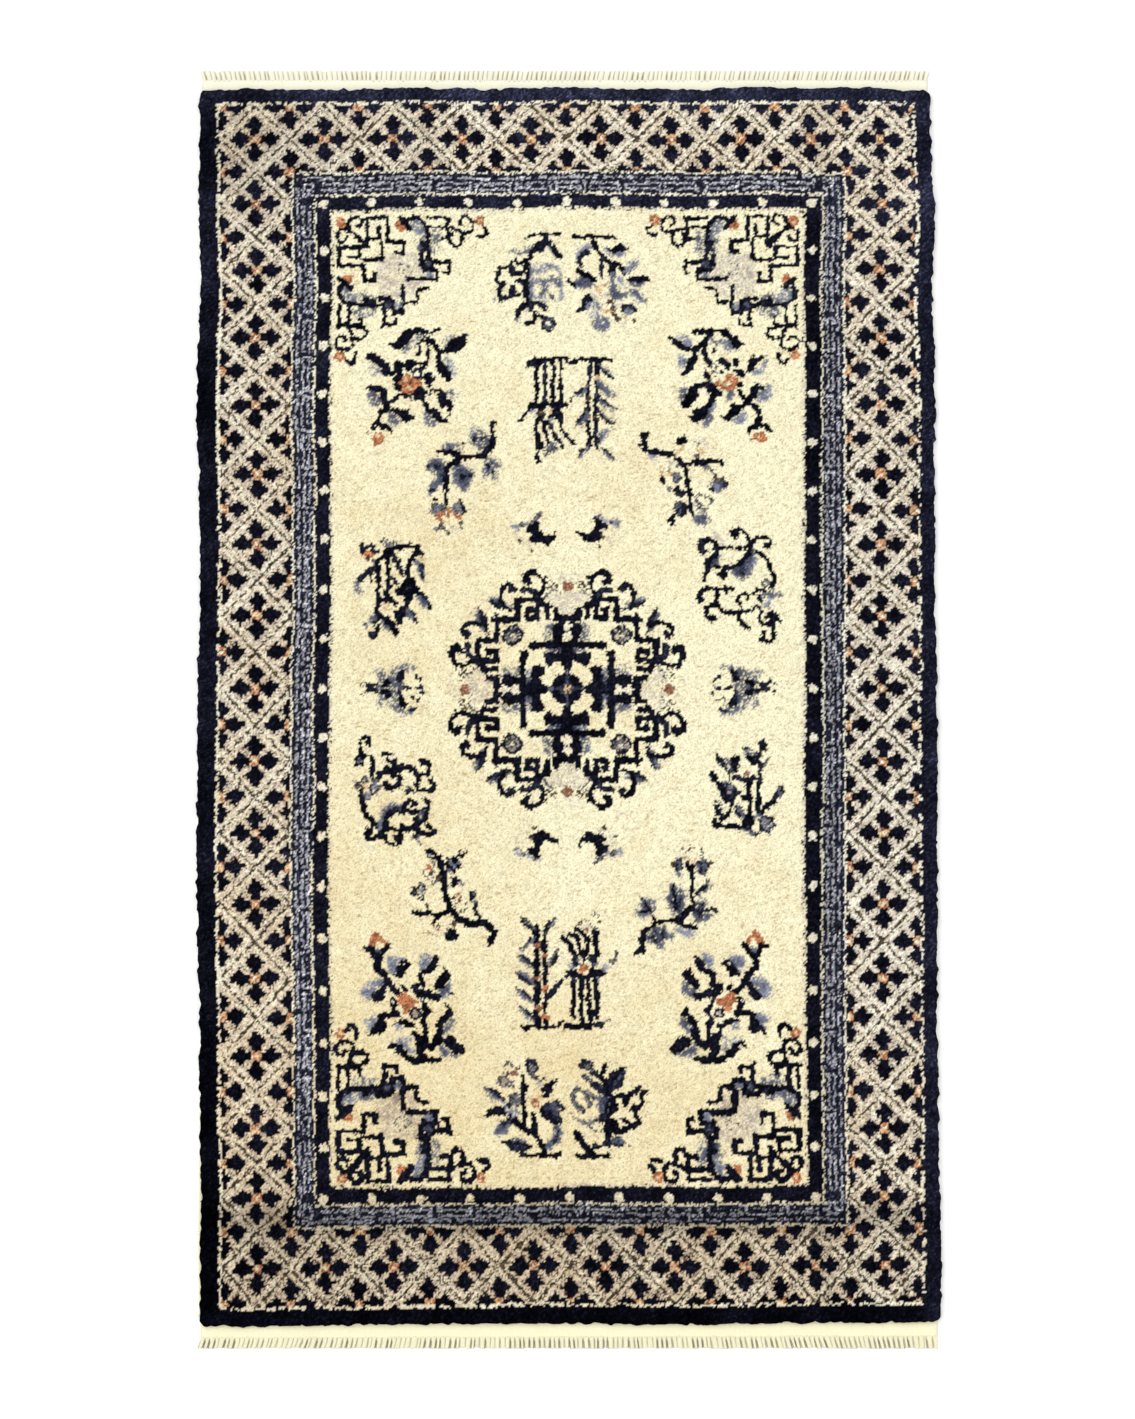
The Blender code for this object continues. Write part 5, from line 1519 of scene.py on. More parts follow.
LOWER_LOBED = Motif((164.0, 284.0), 26, (
    Stem("150.8,302.2 151.8,301.5 153.1,301.5 153.2,299.9 153.2,298.2 153.2,296.1 153.8,294.9", 2.4),
    Stem("151.9,297.6 152.6,298.2", 1.1),
    Stem("153.8,294.6 155.1,293.8 156.6,293 157.1,292.1 159,291.6 161.6,291.3 163.7,291.4 "
         "165.7,291.3", 2),
    Stem("156.7,292.1 156.8,290.5 156.5,289.3", 1.2),
    Patch("163.1,290.4 165.9,291.3 168.1,291.9 170.6,292.2 172.2,293.5 171.5,294.1 169.3,293.9 "
          "167.2,293.4 165,292.7 163.5,291.8", NAVY),
    Patch("163.5,292.4 165,293.4 167.6,293.9 171.5,294.2 171.5,295.5 170.2,296.5 167.6,296.7 "
          "165.7,295.6", MIST, cover=0.95),
    Stem("165.7,290.9 167.2,289.2 168.7,287.9 170.2,286.5", 2.8),
    Stem("170.2,286.5 170.2,284.1 169.8,282.5 170.3,280.3 170.3,278.2 170.2,275.7 170,273.6", 2.1),
    Patch("167.9,272.5 169,272 171.1,272.9 171,274.4 169.4,274.8 168,274.5"),
    # the leaves
    Patch("152.1,283 153.5,283.1 154.1,284.3 155.6,284.1 157.3,285.3 157.6,286.8 157.5,288.7 156.4,289.7 "
          "154.7,290.2 153.2,291.4 151.9,290.2 150.6,289.3 150.7,287.7 152.5,287.2 "
          "151.9,285.1", SLATE, cover=0.95),
    Stem("152.9,283.6 153.8,285.3 154.7,286.6 155.8,287.8 156.5,289.3", 1.1),
    Stem("152.6,288.3 154,288.2 155.1,287.7", 1.1), Dot((155.1, 289.7), 0.7, LILAC),
    Patch("163.6,278.1 164.7,279.5 167.7,280.8 168.2,284.2 167.3,285.8 166.8,288.4 165.9,289.4 "
          "163.7,289.3 162.5,287.6 161.6,285.3 160.1,284 161.6,282.9 162.5,281.7 "
          "162.2,279.6", SLATE, cover=0.95),
    Stem("163.6,279.1 163.6,282.1 164.6,285 165.3,288", 1.1),
    Stem("162.9,284.2 163.8,285.9 164.3,287.6", 1.1), Stem("165.9,284.2 165.9,286.3", 1.1, INK),
    Patch("155.1,295.6 157.3,293.7 159,293.5 161.1,292.9 161.6,294.8 163.7,296 164.1,297 162.4,297.7 "
          "160.5,297.7 160.5,300.4 158.5,300.8 157.3,299 155.1,298.6 153.8,296.9", SLATE, cover=0.95),
    Stem("157.3,294.4 157.9,296.5 157.5,298.6", 1.2, INK), Stem("159.9,294.8 160.4,296.9", 1.2, INK),
    Stem("155.1,296.7 157.3,297.3", 1.1, INK), Dot((156, 294.8), 0.7, LILAC),
    Patch("171.3,282 172.2,280.3 173.5,279.3 175,278 176.1,277 176.3,279.9 174.6,281.6 172.8,282.9 "
          "172.2,284.1", SLATE, cover=0.95),
    Stem("170.7,283.1 172.2,281.7 173.7,280.3 175.1,278.7", 1.2, INK),
    Stem("175,278.2 176,277", 1.1, ASH),
    Patch("170.4,285.8 172.4,284.3 175.6,284.4 175.4,285.8 174.5,286.7 171.9,287.1", SLATE, cover=0.95),
    Patch("170.2,288.6 172.8,287.9 176.3,288.8 175.4,290.9 172.8,291.7 170.6,290", SLATE, cover=0.95),
    Stem("170.2,287.7 172.8,287.7 175.4,287.6 176.9,287.3 178.3,287.7", 1.5, INK),
    Stem("170.4,286.5 172,285.4 173.5,285.5", 1.1, INK), Dot((176.9, 289.4), 0.6, ASH),
    Dot((172.8, 289.2), 0.8, INK), Dot((171.1, 291.3), 0.7, ASH),
    # the faint flower between its two slate petals
    Patch("163.8,270.4 165.1,269.8 167.1,270.2 167.1,272.1 166.6,274.4 166.2,276.3 164.9,276.4 164.2,274 "
          "163.8,272.1", SLATE, cover=0.95),
    Stem("164.7,270.6 164.9,272.8 165,274.5", 1.1, INK),
    Stem("165.8,270.2 166.8,271.5 166.5,273", 1.1, INK), Dot((163.6, 272.1), 1, UMBER),
    Patch("171.6,271 172.9,270 174.6,270.2 175.5,272.3 175.4,274.8 174.6,276.3 173.1,275.9 172.2,274.4 "
          "171.4,272.7", SLATE, cover=0.95),
    Stem("172.2,270.8 173.5,272.3 173.3,274.8 174.2,275.9", 1.1, INK),
    Stem("175,270.8 175.4,272.7 175,274.8", 1.1, INK), Dot((176.5, 271.7), 1, UMBER),
    Stem("165.1,266.4 166.2,267.4 167.5,266.9 168.6,267.4 169.4,266.3 169.6,264.9", 1.1, ASH, True),
    Stem("169.4,266.3 170.7,266.6 172.2,267.2 174,266.4", 1.1, ASH, True),
    Stem("173.1,266.8 173.5,268.5 173.5,270", 1.1, UMBER, True),
    Patch("167.3,269.8 169.4,270.2 172,270.2 171.1,272.1 168.1,271.9", TAN, cover=0.4),
    Stem("168.1,271.2 169.4,272.1 170.7,271.9", 1.1, UMBER, True),
    Dot((166.6, 269.4), 0.6, TAN),
))

LOWER_PLUM = Motif((88.0, 281.0), 26, (
    # the bough with its two branches
    Stem("83.2,271.3 83.8,273.2 84.3,275.1 84.9,276.8 84.9,279.3 84.8,281.4", 2.3),
    Stem("84.9,281.6 85.5,284 86.4,286.1 87.6,288.6 89.4,290.3", 2.1),
    Stem("89.4,290.5 91.7,291.3 93.9,292.3 96.5,291.9 98.6,292.3 100.3,293.6 101.8,295.6", 2.5),
    Stem("101.7,295.4 100.8,297.4 100.4,298.9", 2.1), Dot((102.3, 295.3), 0.8),
    Stem("73.8,288.3 75.3,289 77.9,288.7 80.1,289 82.2,289.5 84,288.8 85.9,288.4", 1.7),
    Stem("73.6,288 74.3,289", 1.1), Dot((82.5, 290), 1), Stem("82,290.5 81,292.1", 1),
    # the flowers and buds
    Stem("78.6,268.3 80,267.6 80.9,268.5 82.5,269.6 83.7,269.7", 1.3),
    Stem("78.9,268.8 79.8,270 81.5,270 82.8,270.9", 1.3), Dot((80, 269), 0.7, MIST),
    Stem("79.2,268.1 79,269.4", 1), Dot((81, 271.7), 0.7, ASH), Dot((82.9, 270.4), 0.9),
    Stem("77.6,274.3 77.8,276.4 79.6,276.8 80.3,274.7 81.1,273", 1, ASH, True),
    Stem("78.9,272.8 79.6,273.8 79.8,274.9", 1, RUST),
    Stem("80.2,278.7 81.7,278.7 82.1,277.4 80.8,276.8 81.3,275.1", 1, ASH, True),
    Dot((83, 277), 0.9, UMBER), Stem("77.6,274.3 78.6,273.6", 1, ASH, True),
    Patch("85.4,270.4 86.7,270 88.4,269.6 89.7,270.2 90.4,272.1 90.1,274 89.2,274.2 88.4,275.3 "
          "86.9,275.1 85.6,273.6 85.1,272.1", NAVY),
    Stem("86.8,271.3 87.8,272.7 88.3,273.6", 1, MIST), Stem("85.8,274 86.9,274.7", 1, SLATE),
    Dot((89.2, 271.7), 0.6, SLATE),
    Stem("90.2,267 90.2,268.8 91,269.5 92.3,268.3 92.7,267.6", 1),
    Stem("89.5,269.6 90.6,269.5", 1, INK), Dot((91.4, 268.5), 0.6, INK),
    Dot((88.5, 278.1), 1.7, NAVY), Dot((87.7, 276.8), 0.7, INK), Dot((87.5, 279.3), 0.7, INK),
    Stem("90.1,278.2 91.6,278.4", 1, MIST, True), Stem("90.3,278.9 91.2,279.8", 1.1, ASH, True),
    Stem("90.2,280.3 90.5,281.4", 1, LILAC, True), Dot((88.8, 283.4), 0.8, CLAY),
    Dot((88.2, 283.5), 0.6, UMBER), Stem("89.6,282 90.4,283.1 90,284.6", 1, CLAY),
    Dot((89.2, 282.7), 0.6, TAN),
    Stem("88.8,285.2 88.4,286.3 89.4,287.7 91,288.2 92.3,287.2 92.4,285.6 92,284.9", 1, ASH, True),
    Stem("92.5,285.8 92.4,287.1", 1, INK, True),
    Patch("93.3,281.6 94.6,281.2 95.8,282 95.7,283.7 94.6,284.4 93.3,283.9"),
    Dot((95.2, 282.6), 0.6, SLATE), Stem("95.2,285.6 95.3,287.7", 1.5, INK),
    Stem("94.8,289 95.8,288.9 96.5,289.4 97.4,290.7", 1, INK), Dot((95, 284.8), 0.6, SLATE),
    Patch("73.1,280 73.9,279.7 74.6,280.2 75.6,280.1 76.1,278.7 77.6,278.3 78.2,279.3 78.5,280.6 "
          "78,282.3 78,284.4 77.1,285 76,284.3 74.7,284 73.9,283.1 72.6,282.3 "
          "73.3,281.2", INK, cover=0.9),
    Patch("75.8,281 76.7,280 77.6,280.6 77.3,282.3 76.3,282.7 75.6,282.3", MIST, cover=0.8),
    Dot((74.5, 281.5), 0.7, ASH), Dot((76.5, 283.4), 0.7, MIST, cover=0.8),
    Dot((76.7, 279.3), 0.6, ASH), Dot((78.7, 286.5), 0.8, UMBER, 1.3),
    Stem("78.8,286.9 79,287.8", 1, UMBER),
    Stem("80.7,292.3 79.6,293.3 79.2,294.6 80.3,295.7 81.6,295.8 81.9,294.6 81.4,293.3 "
         "80.6,292.4", 1, CLAY, True),
    Stem("82,292.8 83.1,293.7", 1, UMBER, True), Dot((82.6, 293.2), 0.6, UMBER),
    Stem("82,295.1 83.5,295.3", 1, LILAC, True), Dot((87.8, 292.7), 1.1, UMBER, 1.1),
    Dot((88.4, 292.2), 0.6, UMBER), Dot((87.1, 296.1), 2.3, NAVY),
    Stem("84.8,295.3 85.5,295.4", 1, ASH), Dot((87, 296.1), 1.4, NAVY),
    Dot((88.5, 295.1), 0.6, INK),
))

LOWER_REEDS = Motif((126.0, 308.0), 26, (
    # the reeds, tied in the middle by a broad bar
    Stem("129,311.5 128.6,314.9 128.8,318.7 128.4,321.5 128.6,323.9", 1.6),
    Dot((129, 324.2), 0.7), Stem("128.1,312 129.4,311.6", 1.5, INK),
    Stem("131.5,311.2 131.4,314.8 131.7,318.7 131.4,321.5 131.8,324.9 131.8,327.3", 1.8),
    Stem("134,310.5 133.8,312.9 134.3,315.8 133.9,317.2 134.4,321.5 134.8,324.8 134.6,327.2", 1.7),
    Stem("136.5,311.4 136.8,314.8 137,318.6 136.7,321.5 136.7,323.8", 2),
    Patch("126.6,308.4 128.5,307.7 131,308.4 131,310.3 129.5,311.1 127,310.5"),
    Patch("134.5,307.7 136.9,307.3 139.4,307.9 140.5,308.9 139.4,310 136.9,310.5 134.4,310.1"),
    Patch("131,309.6 134.4,309.8 134.4,310.5 130.9,310.8"), Stem("126.2,310.8 127,310.2", 1.2, INK),
    Dot((132.5, 307.5), 1.6, RUST), Stem("139.4,307.8 140.9,306.9", 1.5, MIST),
    Stem("141.9,305.2 142.9,305.1 143.3,303.9 143.9,302.1", 1.2, ASH),
    Dot((142, 305.1), 0.7, ASH),
    Patch("128.4,302.4 130.6,302.3 131.1,304.3 130.9,306.9 129.5,307 128.6,304.8", INK),
    Patch("131.1,301.7 133.1,301.2 134.6,301.9 133.5,303.8 133,306 131.6,304.5"),
    Patch("134.3,303.3 137.5,302.3 137.7,304.4 136.9,306.9 135,306.7 134.5,304.7", INK),
    Dot((134, 304.3), 0.6, ASH), Stem("130.8,304.5 131,306.7", 1.1, MIST, True),
    Stem("127.6,306.5 129.1,306.5", 1.1, SLATE, True), Dot((128.6, 307), 0.6, MIST),
    Dot((137, 306.1), 0.8, SLATE), Dot((137.4, 310.8), 0.6, MIST),
    # the bent tips and the pale flower among them
    Stem("125.1,296.7 126.2,297.8 127.7,299 128.4,300.5 128.6,302.4", 1.7),
    Dot((128.3, 296.5), 0.9, ASH), Stem("127.9,296.2 129.7,296.7 130.6,298.3 131.4,300.5", 1.8),
    Stem("130.2,294.5 132.1,295.9 133.8,297.5 134.2,299.7 134.1,301.1", 1.8),
    Stem("136.7,295.1 136.6,297.5 137,300.4 137.4,302.3", 2.2),
    Stem("131.1,293 132.4,291.8 133.9,291.4 135.1,291.7", 1.1, UMBER, True),
    Patch("131.9,294 133.1,292.7 135.1,293 135.1,294.4 134.1,295.4 132.4,295.1", LILAC, cover=0.7),
    Dot((133.6, 294.7), 0.6, CLAY), Stem("135.3,289.7 136.8,289.3", 1.2, ASH, True),
    Stem("137.8,290.3 137.7,292.4", 1.2, UMBER, True),
    Stem("135.1,292.2 136.3,293.9 137.1,294.6", 1.1, ASH, True),
    Stem("131.1,293 131.2,294.2", 1.1, UMBER, True),
    # the ground under the reeds
    Stem("126.3,327 128.8,326.9 131.8,327.2 134.7,327", 2.1),
    Patch("135.7,325.5 139.2,325.3 139.4,326.7 137.2,327.7 135.8,327", INK),
    Stem("139.2,325.5 141.1,324.5", 1.2, ASH),
    # the two bamboo canes
    Stem("116.5,293.9 116.4,296 116.6,298.7", 2.4), Dot((116.9, 300), 1.4, CLAY, cover=0.85),
    Stem("116.6,301.6 116.4,304.2 116.3,307.1 116.2,310.2", 2.2),
    Dot((116.4, 311.2), 1.4, CLAY, cover=0.8), Stem("116.2,312.4 116.3,315.7 116.1,319.3", 2.2),
    Dot((116.6, 320.9), 1.4, CLAY, cover=0.85), Stem("115.9,322.2 116.2,324.8 116.2,326.7", 2.4),
    Stem("119.3,297.3 118.9,299.2 119,301.6", 1.8), Dot((119.1, 303.5), 1.1, RUST),
    Stem("119.2,305 119.3,308.1 119.1,310.5 118.9,313.4", 2.1), Dot((118.9, 314.6), 1.3, RUST),
    Stem("119.4,316 119.2,318.6 118.7,320.5 118.9,322.2", 1.8), Dot((118.9, 323.9), 1.4, RUST),
    Stem("119.4,325.1 119.4,327", 1.7), Dot((117.7, 301.3), 0.6, TAN),
    Dot((118, 320.5), 0.6, RUST), Stem("118,304.2 118,306.2", 1.1, LILAC, True),
    # their narrow leaves
    Leaf((115.6, 294.3), (110.9, 290.4), 2.6, INK, ASH),
    Leaf((118.8, 296.6), (123.2, 290.7), 2.4, INK, ASH, 0.06),
    Leaf((115.6, 296.5), (111, 301), 1.8, SLATE, INK, 0.05),
    Leaf((115.5, 307.5), (109.9, 302.7), 2.8, SLATE, INK),
    Leaf((115.8, 313.3), (109, 308.2), 3.0, INK, SLATE),
    Leaf((115.6, 318.8), (109.1, 313.9), 2.4, SLATE, INK, 0.06),
    Leaf((115.6, 325.3), (109.8, 320.4), 2.3, SLATE, INK),
    Leaf((120.2, 307.1), (124.1, 301.4), 2.4, ASH, INK),
    Leaf((119.4, 318.1), (124.9, 311.5), 2.4, INK, INK),
    Stem("110.8,326.9 112,327.6 113.5,326.8 115.7,326.9 117.9,327.1 119.9,327 122.4,327.3", 1.6),
    Leaf((122.9, 327), (125.5, 324.8), 1.6, INK, INK), Dot((111.2, 327.2), 0.7),
))

LOWER_POT = Motif((188.5, 247.0), 26, (
    # the stems of the stand
    Stem("177.8,257.5 178,258.6 180,259.2 182.4,259.4 185.8,259.6 187.7,260.1", 1.7),
    Stem("179.8,258 180.4,256.8 182.1,256.1 183,254.4 183.6,252.1 183.4,250.4", 1.3),
    Stem("189.9,244.1 189.6,246.7 189.8,249.7 189.9,252.2 190,255.6 190.1,258.2", 1.8),
    Dot((188, 249.6), 1.2), Stem("187.7,249.6 189.7,249.9", 1),
    Stem("193.6,243.7 192.8,246.3 192.9,249.7 193.1,252.2 193.2,254.8", 1.8),
    Stem("184.9,242.8 187.1,243.2 189.7,243.3 191.8,243.1 194,243.7", 1.6, INK),
    Dot((188.9, 241.2), 1, CLAY), Stem("187.7,242.8 188.8,244.2", 1.1, INK),
    Stem("193.6,239.9 193.5,242.4", 1.3, INK),
    Patch("188.4,255.6 191.4,256 191.4,258.2 190.1,259.9 187.7,260.1 187.5,258.1"),
    Stem("189.9,260.1 191.4,261.8 192.4,262.4", 1.6, INK), Stem("188.4,260.7 191,262", 1, SLATE),
    Dot((187.1, 260.7), 0.7, SLATE),
    # the leaves
    Patch("178.1,234.5 179.3,235.6 180.8,236 181.7,237.3 183.4,239.1 184.7,240.2 184.2,241.6 182.6,241 "
          "180.6,239.2 178.9,237.7", SLATE, cover=0.8),
    Stem("178.7,234.9 180,237.3 181.7,239.7 183.2,241", 1.2, INK),
    Stem("180,236.2 181.5,237.8", 1, INK), Dot((178.5, 236.2), 0.8),
    Patch("183.4,236.3 184.9,235.3 186.6,235.1 186.4,237.7 186,240.4 184.3,240.6 183.5,238.5"),
    Stem("182.6,236.7 183.2,238", 1, SLATE),
    Patch("176.1,240 177.2,241.3 178.5,243.2 180,244.1 182.8,244 184.9,246.2 186.2,247.5 185.4,248.7 "
          "183.6,251.5 181.1,251 179.3,246.9 177.4,244.3 175.9,242.5", INK, cover=0.95),
    Stem("176.9,240.9 178,243 179.8,245.6 181.5,248.2 182.8,250.4", 1.6),
    Dot((183.2, 246.1), 0.8, MIST), Dot((183.1, 247.8), 0.6, LILAC),
    Dot((181.5, 244.6), 0.7, SLATE), Stem("182.9,242.1 183.1,243.6", 1),
    Dot((186.2, 247.7), 0.9, INK),
    Patch("178,250.3 179.8,250.7 180.3,252.4 180.7,254.6 181.7,255.7 180,256.3 177.6,255.8 "
          "177.5,253.7", INK, cover=0.8),
    Stem("178.9,252 179.3,254.6", 1.1),
    Patch("184.9,251.7 186.7,252.2 187.5,253.5 188.6,255.6 189.2,257.3 187.5,257.3 185.8,255.6 "
          "184.8,253.8", INK, cover=0.85),
    Stem("185.8,252.4 186.7,254.7 188,256.7", 1, SLATE),
    Patch("186.9,233 187.7,232.6 189,232.4 191,233.9 192.7,233.9 193.6,235.6 193.6,238.4 191.4,238.6 "
          "189.5,237.3 188.2,235.1", INK, cover=0.9),
    Stem("189.5,235.6 191.4,237.1 193.1,237.9", 1.7), Dot((188.4, 233.9), 0.7, SLATE),
    Stem("190.1,234.1 191.8,235.2", 1, SLATE),
    Patch("192.8,238.2 194.4,237.5 196.2,236.3 197.7,235 197,237.2 195.3,238.6 194.4,240.1 "
          "193.3,240.1", INK),
    Stem("194.9,238.4 196.8,236.1", 1, ASH),
    Patch("192.7,254.8 194.4,253.3 195.3,251 197,251 198.7,248.1 199.8,246 201.1,246 201.8,248.1 "
          "200.5,249.8 198.7,251.9 196.6,253.4 194.9,255 193.6,255.9", INK, cover=0.95),
    Stem("194.4,254.4 196.6,252.7 198.7,250.6", 1.2), Stem("199.8,246.8 200.5,249", 1, SLATE),
    Stem("191.8,256.7 192.8,255.6", 1.1, SLATE),
    # the dark bud and the grey rosette
    Patch("193.1,230.7 194.2,230 195.5,230.3 195.9,232 195.7,233.4 194.4,233.6 193.1,232.9"),
    Dot((194.7, 229.8), 0.7), Stem("193.9,233.7 193.9,235", 1.1, UMBER),
    Bloom((195.9, 258.7), 3.2, 6, MIST, ASH, 1.0, INK, 15, 0.85), Dot((194.4, 257.4), 0.7, MIST),
    Dot((197.9, 257.9), 0.8, INK, cover=0.7), Dot((194.6, 260.1), 0.7, INK, cover=0.8),
    Dot((196.5, 259.7), 0.6, INK, cover=0.7),
))

LOWER_SCROLL = Motif((65.5, 247.0), 28, (
    # the stem that rises on the left, with its buds
    Stem("55.4,231.8 55.4,230 56,229.1 57.3,228.8 58.8,229.2", 1.2),
    Patch("57.3,229.9 58.8,229.7 59.4,230.6 58.8,231.8 57.5,231.4 57,230.5"),
    Dot((57.6, 228.2), 0.6), Stem("55.5,231.3 55.7,233.5 55.7,234.8", 1.4),
    Patch("53.9,235.4 55.4,234.3 56.7,234.1 57.9,235.2 57.1,236.3 57.1,238.9 55.8,238.8 55.4,236.9 "
          "55,239 53.7,239 53.3,237.3"),
    Dot((55.3, 236.7), 0.6, MIST),
    Stem("59.1,235.7 59.8,237 59.8,239.1 59.5,240.2 59.9,242.1", 1.6),
    Dot((59.7, 239.1), 1), Stem("55.9,247.6 56,249.3 56.4,251.4", 2.1),
    Stem("56.3,251.2 56.9,253.1 57.5,254.8 59.1,257 60.2,258.1 61.8,259.4", 2.1),
    Dot((56.2, 249.7), 1.2),
    Patch("55.9,247.1 56.4,248.4 56.8,250.2 55.7,250.6 55.3,249.7", INK),
    # the faint flower
    Dot((57.1, 243.5), 1.4, ASH, 1.2), Dot((57.1, 243.4), 0.6, LILAC),
    Dot((53.7, 243.9), 0.9, ASH, cover=0.7), Dot((54.2, 245.4), 0.9, ASH, 1.2, 0.7),
    Stem("54.8,244.6 55.9,245.9 56.7,247", 1.2, UMBER), Stem("57.6,245.1 57.4,246.3", 1.2, TAN),
    Dot((60.4, 246.4), 2, ASH, 1.1, 0.9), Dot((60, 246.1), 1, MIST),
    Stem("59.5,245.1 60,244.3 61.3,243.4 62.3,242.6", 1.2, ASH), Stem("58.9,245.9 59.8,247.7", 1.2, INK),
    Dot((58, 248.8), 1.6, ASH, 0.9, 0.85), Dot((58.1, 248.5), 0.8, MIST),
    Stem("58.4,242.9 59.5,242.3", 1.2, LILAC, True), Dot((61.7, 245.8), 0.8, ASH),
    # the curls at the top
    Stem("61.5,240.9 62.3,241.1 63.2,241.6", 1.2), Stem("62.3,241.3 62.1,242.8", 1.2),
    Dot((61.8, 241.1), 0.8),
    Stem("63.4,234.7 64.7,234.6 65.5,235.7 65.1,236.7 66.2,237.4 66.8,237.2", 1.4),
    Stem("66.6,234.8 67.1,236.3 67.8,237.4", 1.4), Dot((66.4, 236), 0.9, CREAM),
    Stem("67.5,237 67.5,238.9 68.1,240.4", 1.8),
    Stem("63.4,240.1 64.5,240.8 65.1,240.1 64.7,239.2 66.8,239.7 67.5,239.3", 1.3),
    Stem("67.5,239.3 68.8,239.8", 1.2), Patch("66.6,237.8 68.1,237.8 68,240.6 67.1,240.1"),
    Stem("66,241 66.6,242.4", 1.7),
    Stem("67.7,242.1 68.9,242.6 69,244.1 68.4,245.3 66.7,246.2 65.4,246.1 64.1,245", 2.1),
    Dot((66.3, 246.3), 1), Stem("68.8,238.5 69.6,238.9 69.7,240.4", 1.3),
    Stem("69.6,238.9 71.8,239.4 73.8,239.8 74,240.7 75.1,241.6", 1.6),
    Dot((73.3, 239.8), 1.2), Stem("75.2,241.6 75.4,243.7 75.1,245.8", 1.8),
    Stem("75.3,241.8 77,241.6 78.7,242 79.1,240.3 79.7,238.6", 1.4),
    Dot((77.5, 237.8), 1.8, NAVY, 0.8), Dot((76.1, 237.3), 0.6), Stem("78.7,236.9 79.6,237.9", 1.2),
    Stem("73.9,245.2 75.1,245.6", 1.3),
    Stem("75.1,245.8 75.8,247 77.5,247.4 80.1,247.3 81.1,245.8", 1.4),
    Patch("78.8,243.7 80.5,243.5 80.7,242.3 81.2,242.6 81.2,244.3 81.7,245.2 81,246.7 80.1,245.6 "
          "79,244.3"),
    Dot((72.1, 247.3), 1.5, INK, 0.8), Stem("70.8,247.4 73.8,247.3", 1.2, INK),
    Dot((74.3, 248.3), 0.6, ASH), Dot((71.9, 246.1), 0.6, ASH),
    # the body, a slate arch lined with navy
    Patch("65,252.3 67.2,251.3 69.8,252.2 70.7,253.2 68.5,254.3 66.4,255 64.7,256.3 63.4,257.1 "
          "63.4,260.1 61.8,260.5 61.5,258.1 62.5,256.3 62.9,253.7", SLATE, cover=0.95),
    Patch("62.2,252.6 65,252.1 64.6,253.8 63.3,254.6 62.5,256.3 62.3,254.5", LILAC, cover=0.45),
    Stem("64.7,256.3 66.4,255 67.7,254 69.8,254.3 72,254.1", 2), Stem("67,253 69.4,253.9", 1.2, INK),
    Patch("61.9,257.9 63.4,257.6 63.9,259.1 63.4,260.5 62,260.5", MIST, cover=0.9),
    Stem("64.3,256.3 64.5,258.4 64.4,260.1 63.4,261.4 61.8,262", 1.8),
    Stem("71.1,251.8 70.7,253 72,253.9", 1.8),
    Stem("71.1,251.8 72.8,250.7 74.5,251.4 74.3,252.3 73.2,252.6", 1.4),
    Dot((72.6, 252.4), 0.6, CREAM),
    Patch("73.2,250.5 74.6,251.6 74.5,252.5 73.5,252.6 73,251.3"),
    Stem("72,254.1 74.3,254.5 76.3,254.3 78.4,253.7", 1.8),
    Stem("77.9,249.7 78.8,251.1 79.3,251.3 79.1,253.1 78.7,254.5", 1.4),
    Dot((79.6, 251.1), 0.8),
    Patch("75,255.6 78,253.9 78.7,255 77.6,256.9 75.9,257.5 75,258.6 74.2,257.3", SLATE, cover=0.95),
    Stem("78.6,253.9 78.5,256 77.2,257.9 75,259", 1.6), Stem("74.2,257.1 74.4,257.9 75.1,258.2", 1.3),
    Stem("75.2,256.5 75.9,257.3", 1.2, INK),
    # the curls under the body
    Stem("64.3,260.1 65.4,260.6 66.9,260.1 68.8,260.6 69.7,261 70.1,259.2", 1.4),
    Stem("70.1,259.4 70.5,260", 1.2), Stem("71,260.5 72.9,260.1 75,259.9 76.3,260.7", 1.6),
    Dot((72, 260.6), 1),
    Patch("57.6,259.1 58.5,259.6 59.9,259.2 59.8,261.3 58.9,262.3 57.6,261.7"),
    Stem("57.6,261.7 57.8,262.7 59.3,263.4 61.3,263.1 62.4,263.6", 1.3),
    Stem("63.4,261 63.6,262.4 64.5,263.2", 1.8),
    Stem("64.5,264.2 65.6,265 67.8,265.9 69.5,265.1 70.4,264.1", 1.3),
    Dot((69.1, 263.5), 2.1, NAVY, 0.9), Dot((69.3, 262.8), 0.8),
    Stem("74.6,260.3 75.9,262 78.1,262 80.7,262.2 81.3,260.7", 1.7),
    Patch("78.1,258.6 79.8,258.2 80.7,259.8 81.7,260.7 81.3,262.8 80.2,262.6 79.8,260.7 78.2,259.9"),
    Patch("74.2,262 75.9,262.3 76.6,263.5 75.9,265 75.1,264.5 74.1,263.6", SLATE, cover=0.75),
    Stem("74.6,262.4 75.3,263.3", 1.2, INK), Dot((76.3, 265.2), 0.6, ASH),
))

# the motifs of the field and how boldly each is drawn
FIELD_MOTIFS = (
    (PEONY, 1.1), (UPPER_PEONY, 1.34), (LOWER_PEONY, 1.42), (WINGED_SPRAY, 1.08), (TWIG_SPRAY, 1.08),
    (LOWER_TWIGS, 1.1), (LOWER_WINGS, 1.25), (REEDS, 1), (BAMBOO, 1), (LOWER_REEDS, 1.06),
    (LOBED_BRANCH, 1), (LOWER_LOBED, 0.92), (PLUM_BRANCH, 0.9), (LOWER_PLUM, 1.12), (BAT_LEFT, 1),
    (BAT_RIGHT, 1), (POTTED_PLANT, 1.12), (LOWER_POT, 1.18), (SCROLL, 1), (LOWER_SCROLL, 1.1),
    (BUTTERFLY, 1.15),
)


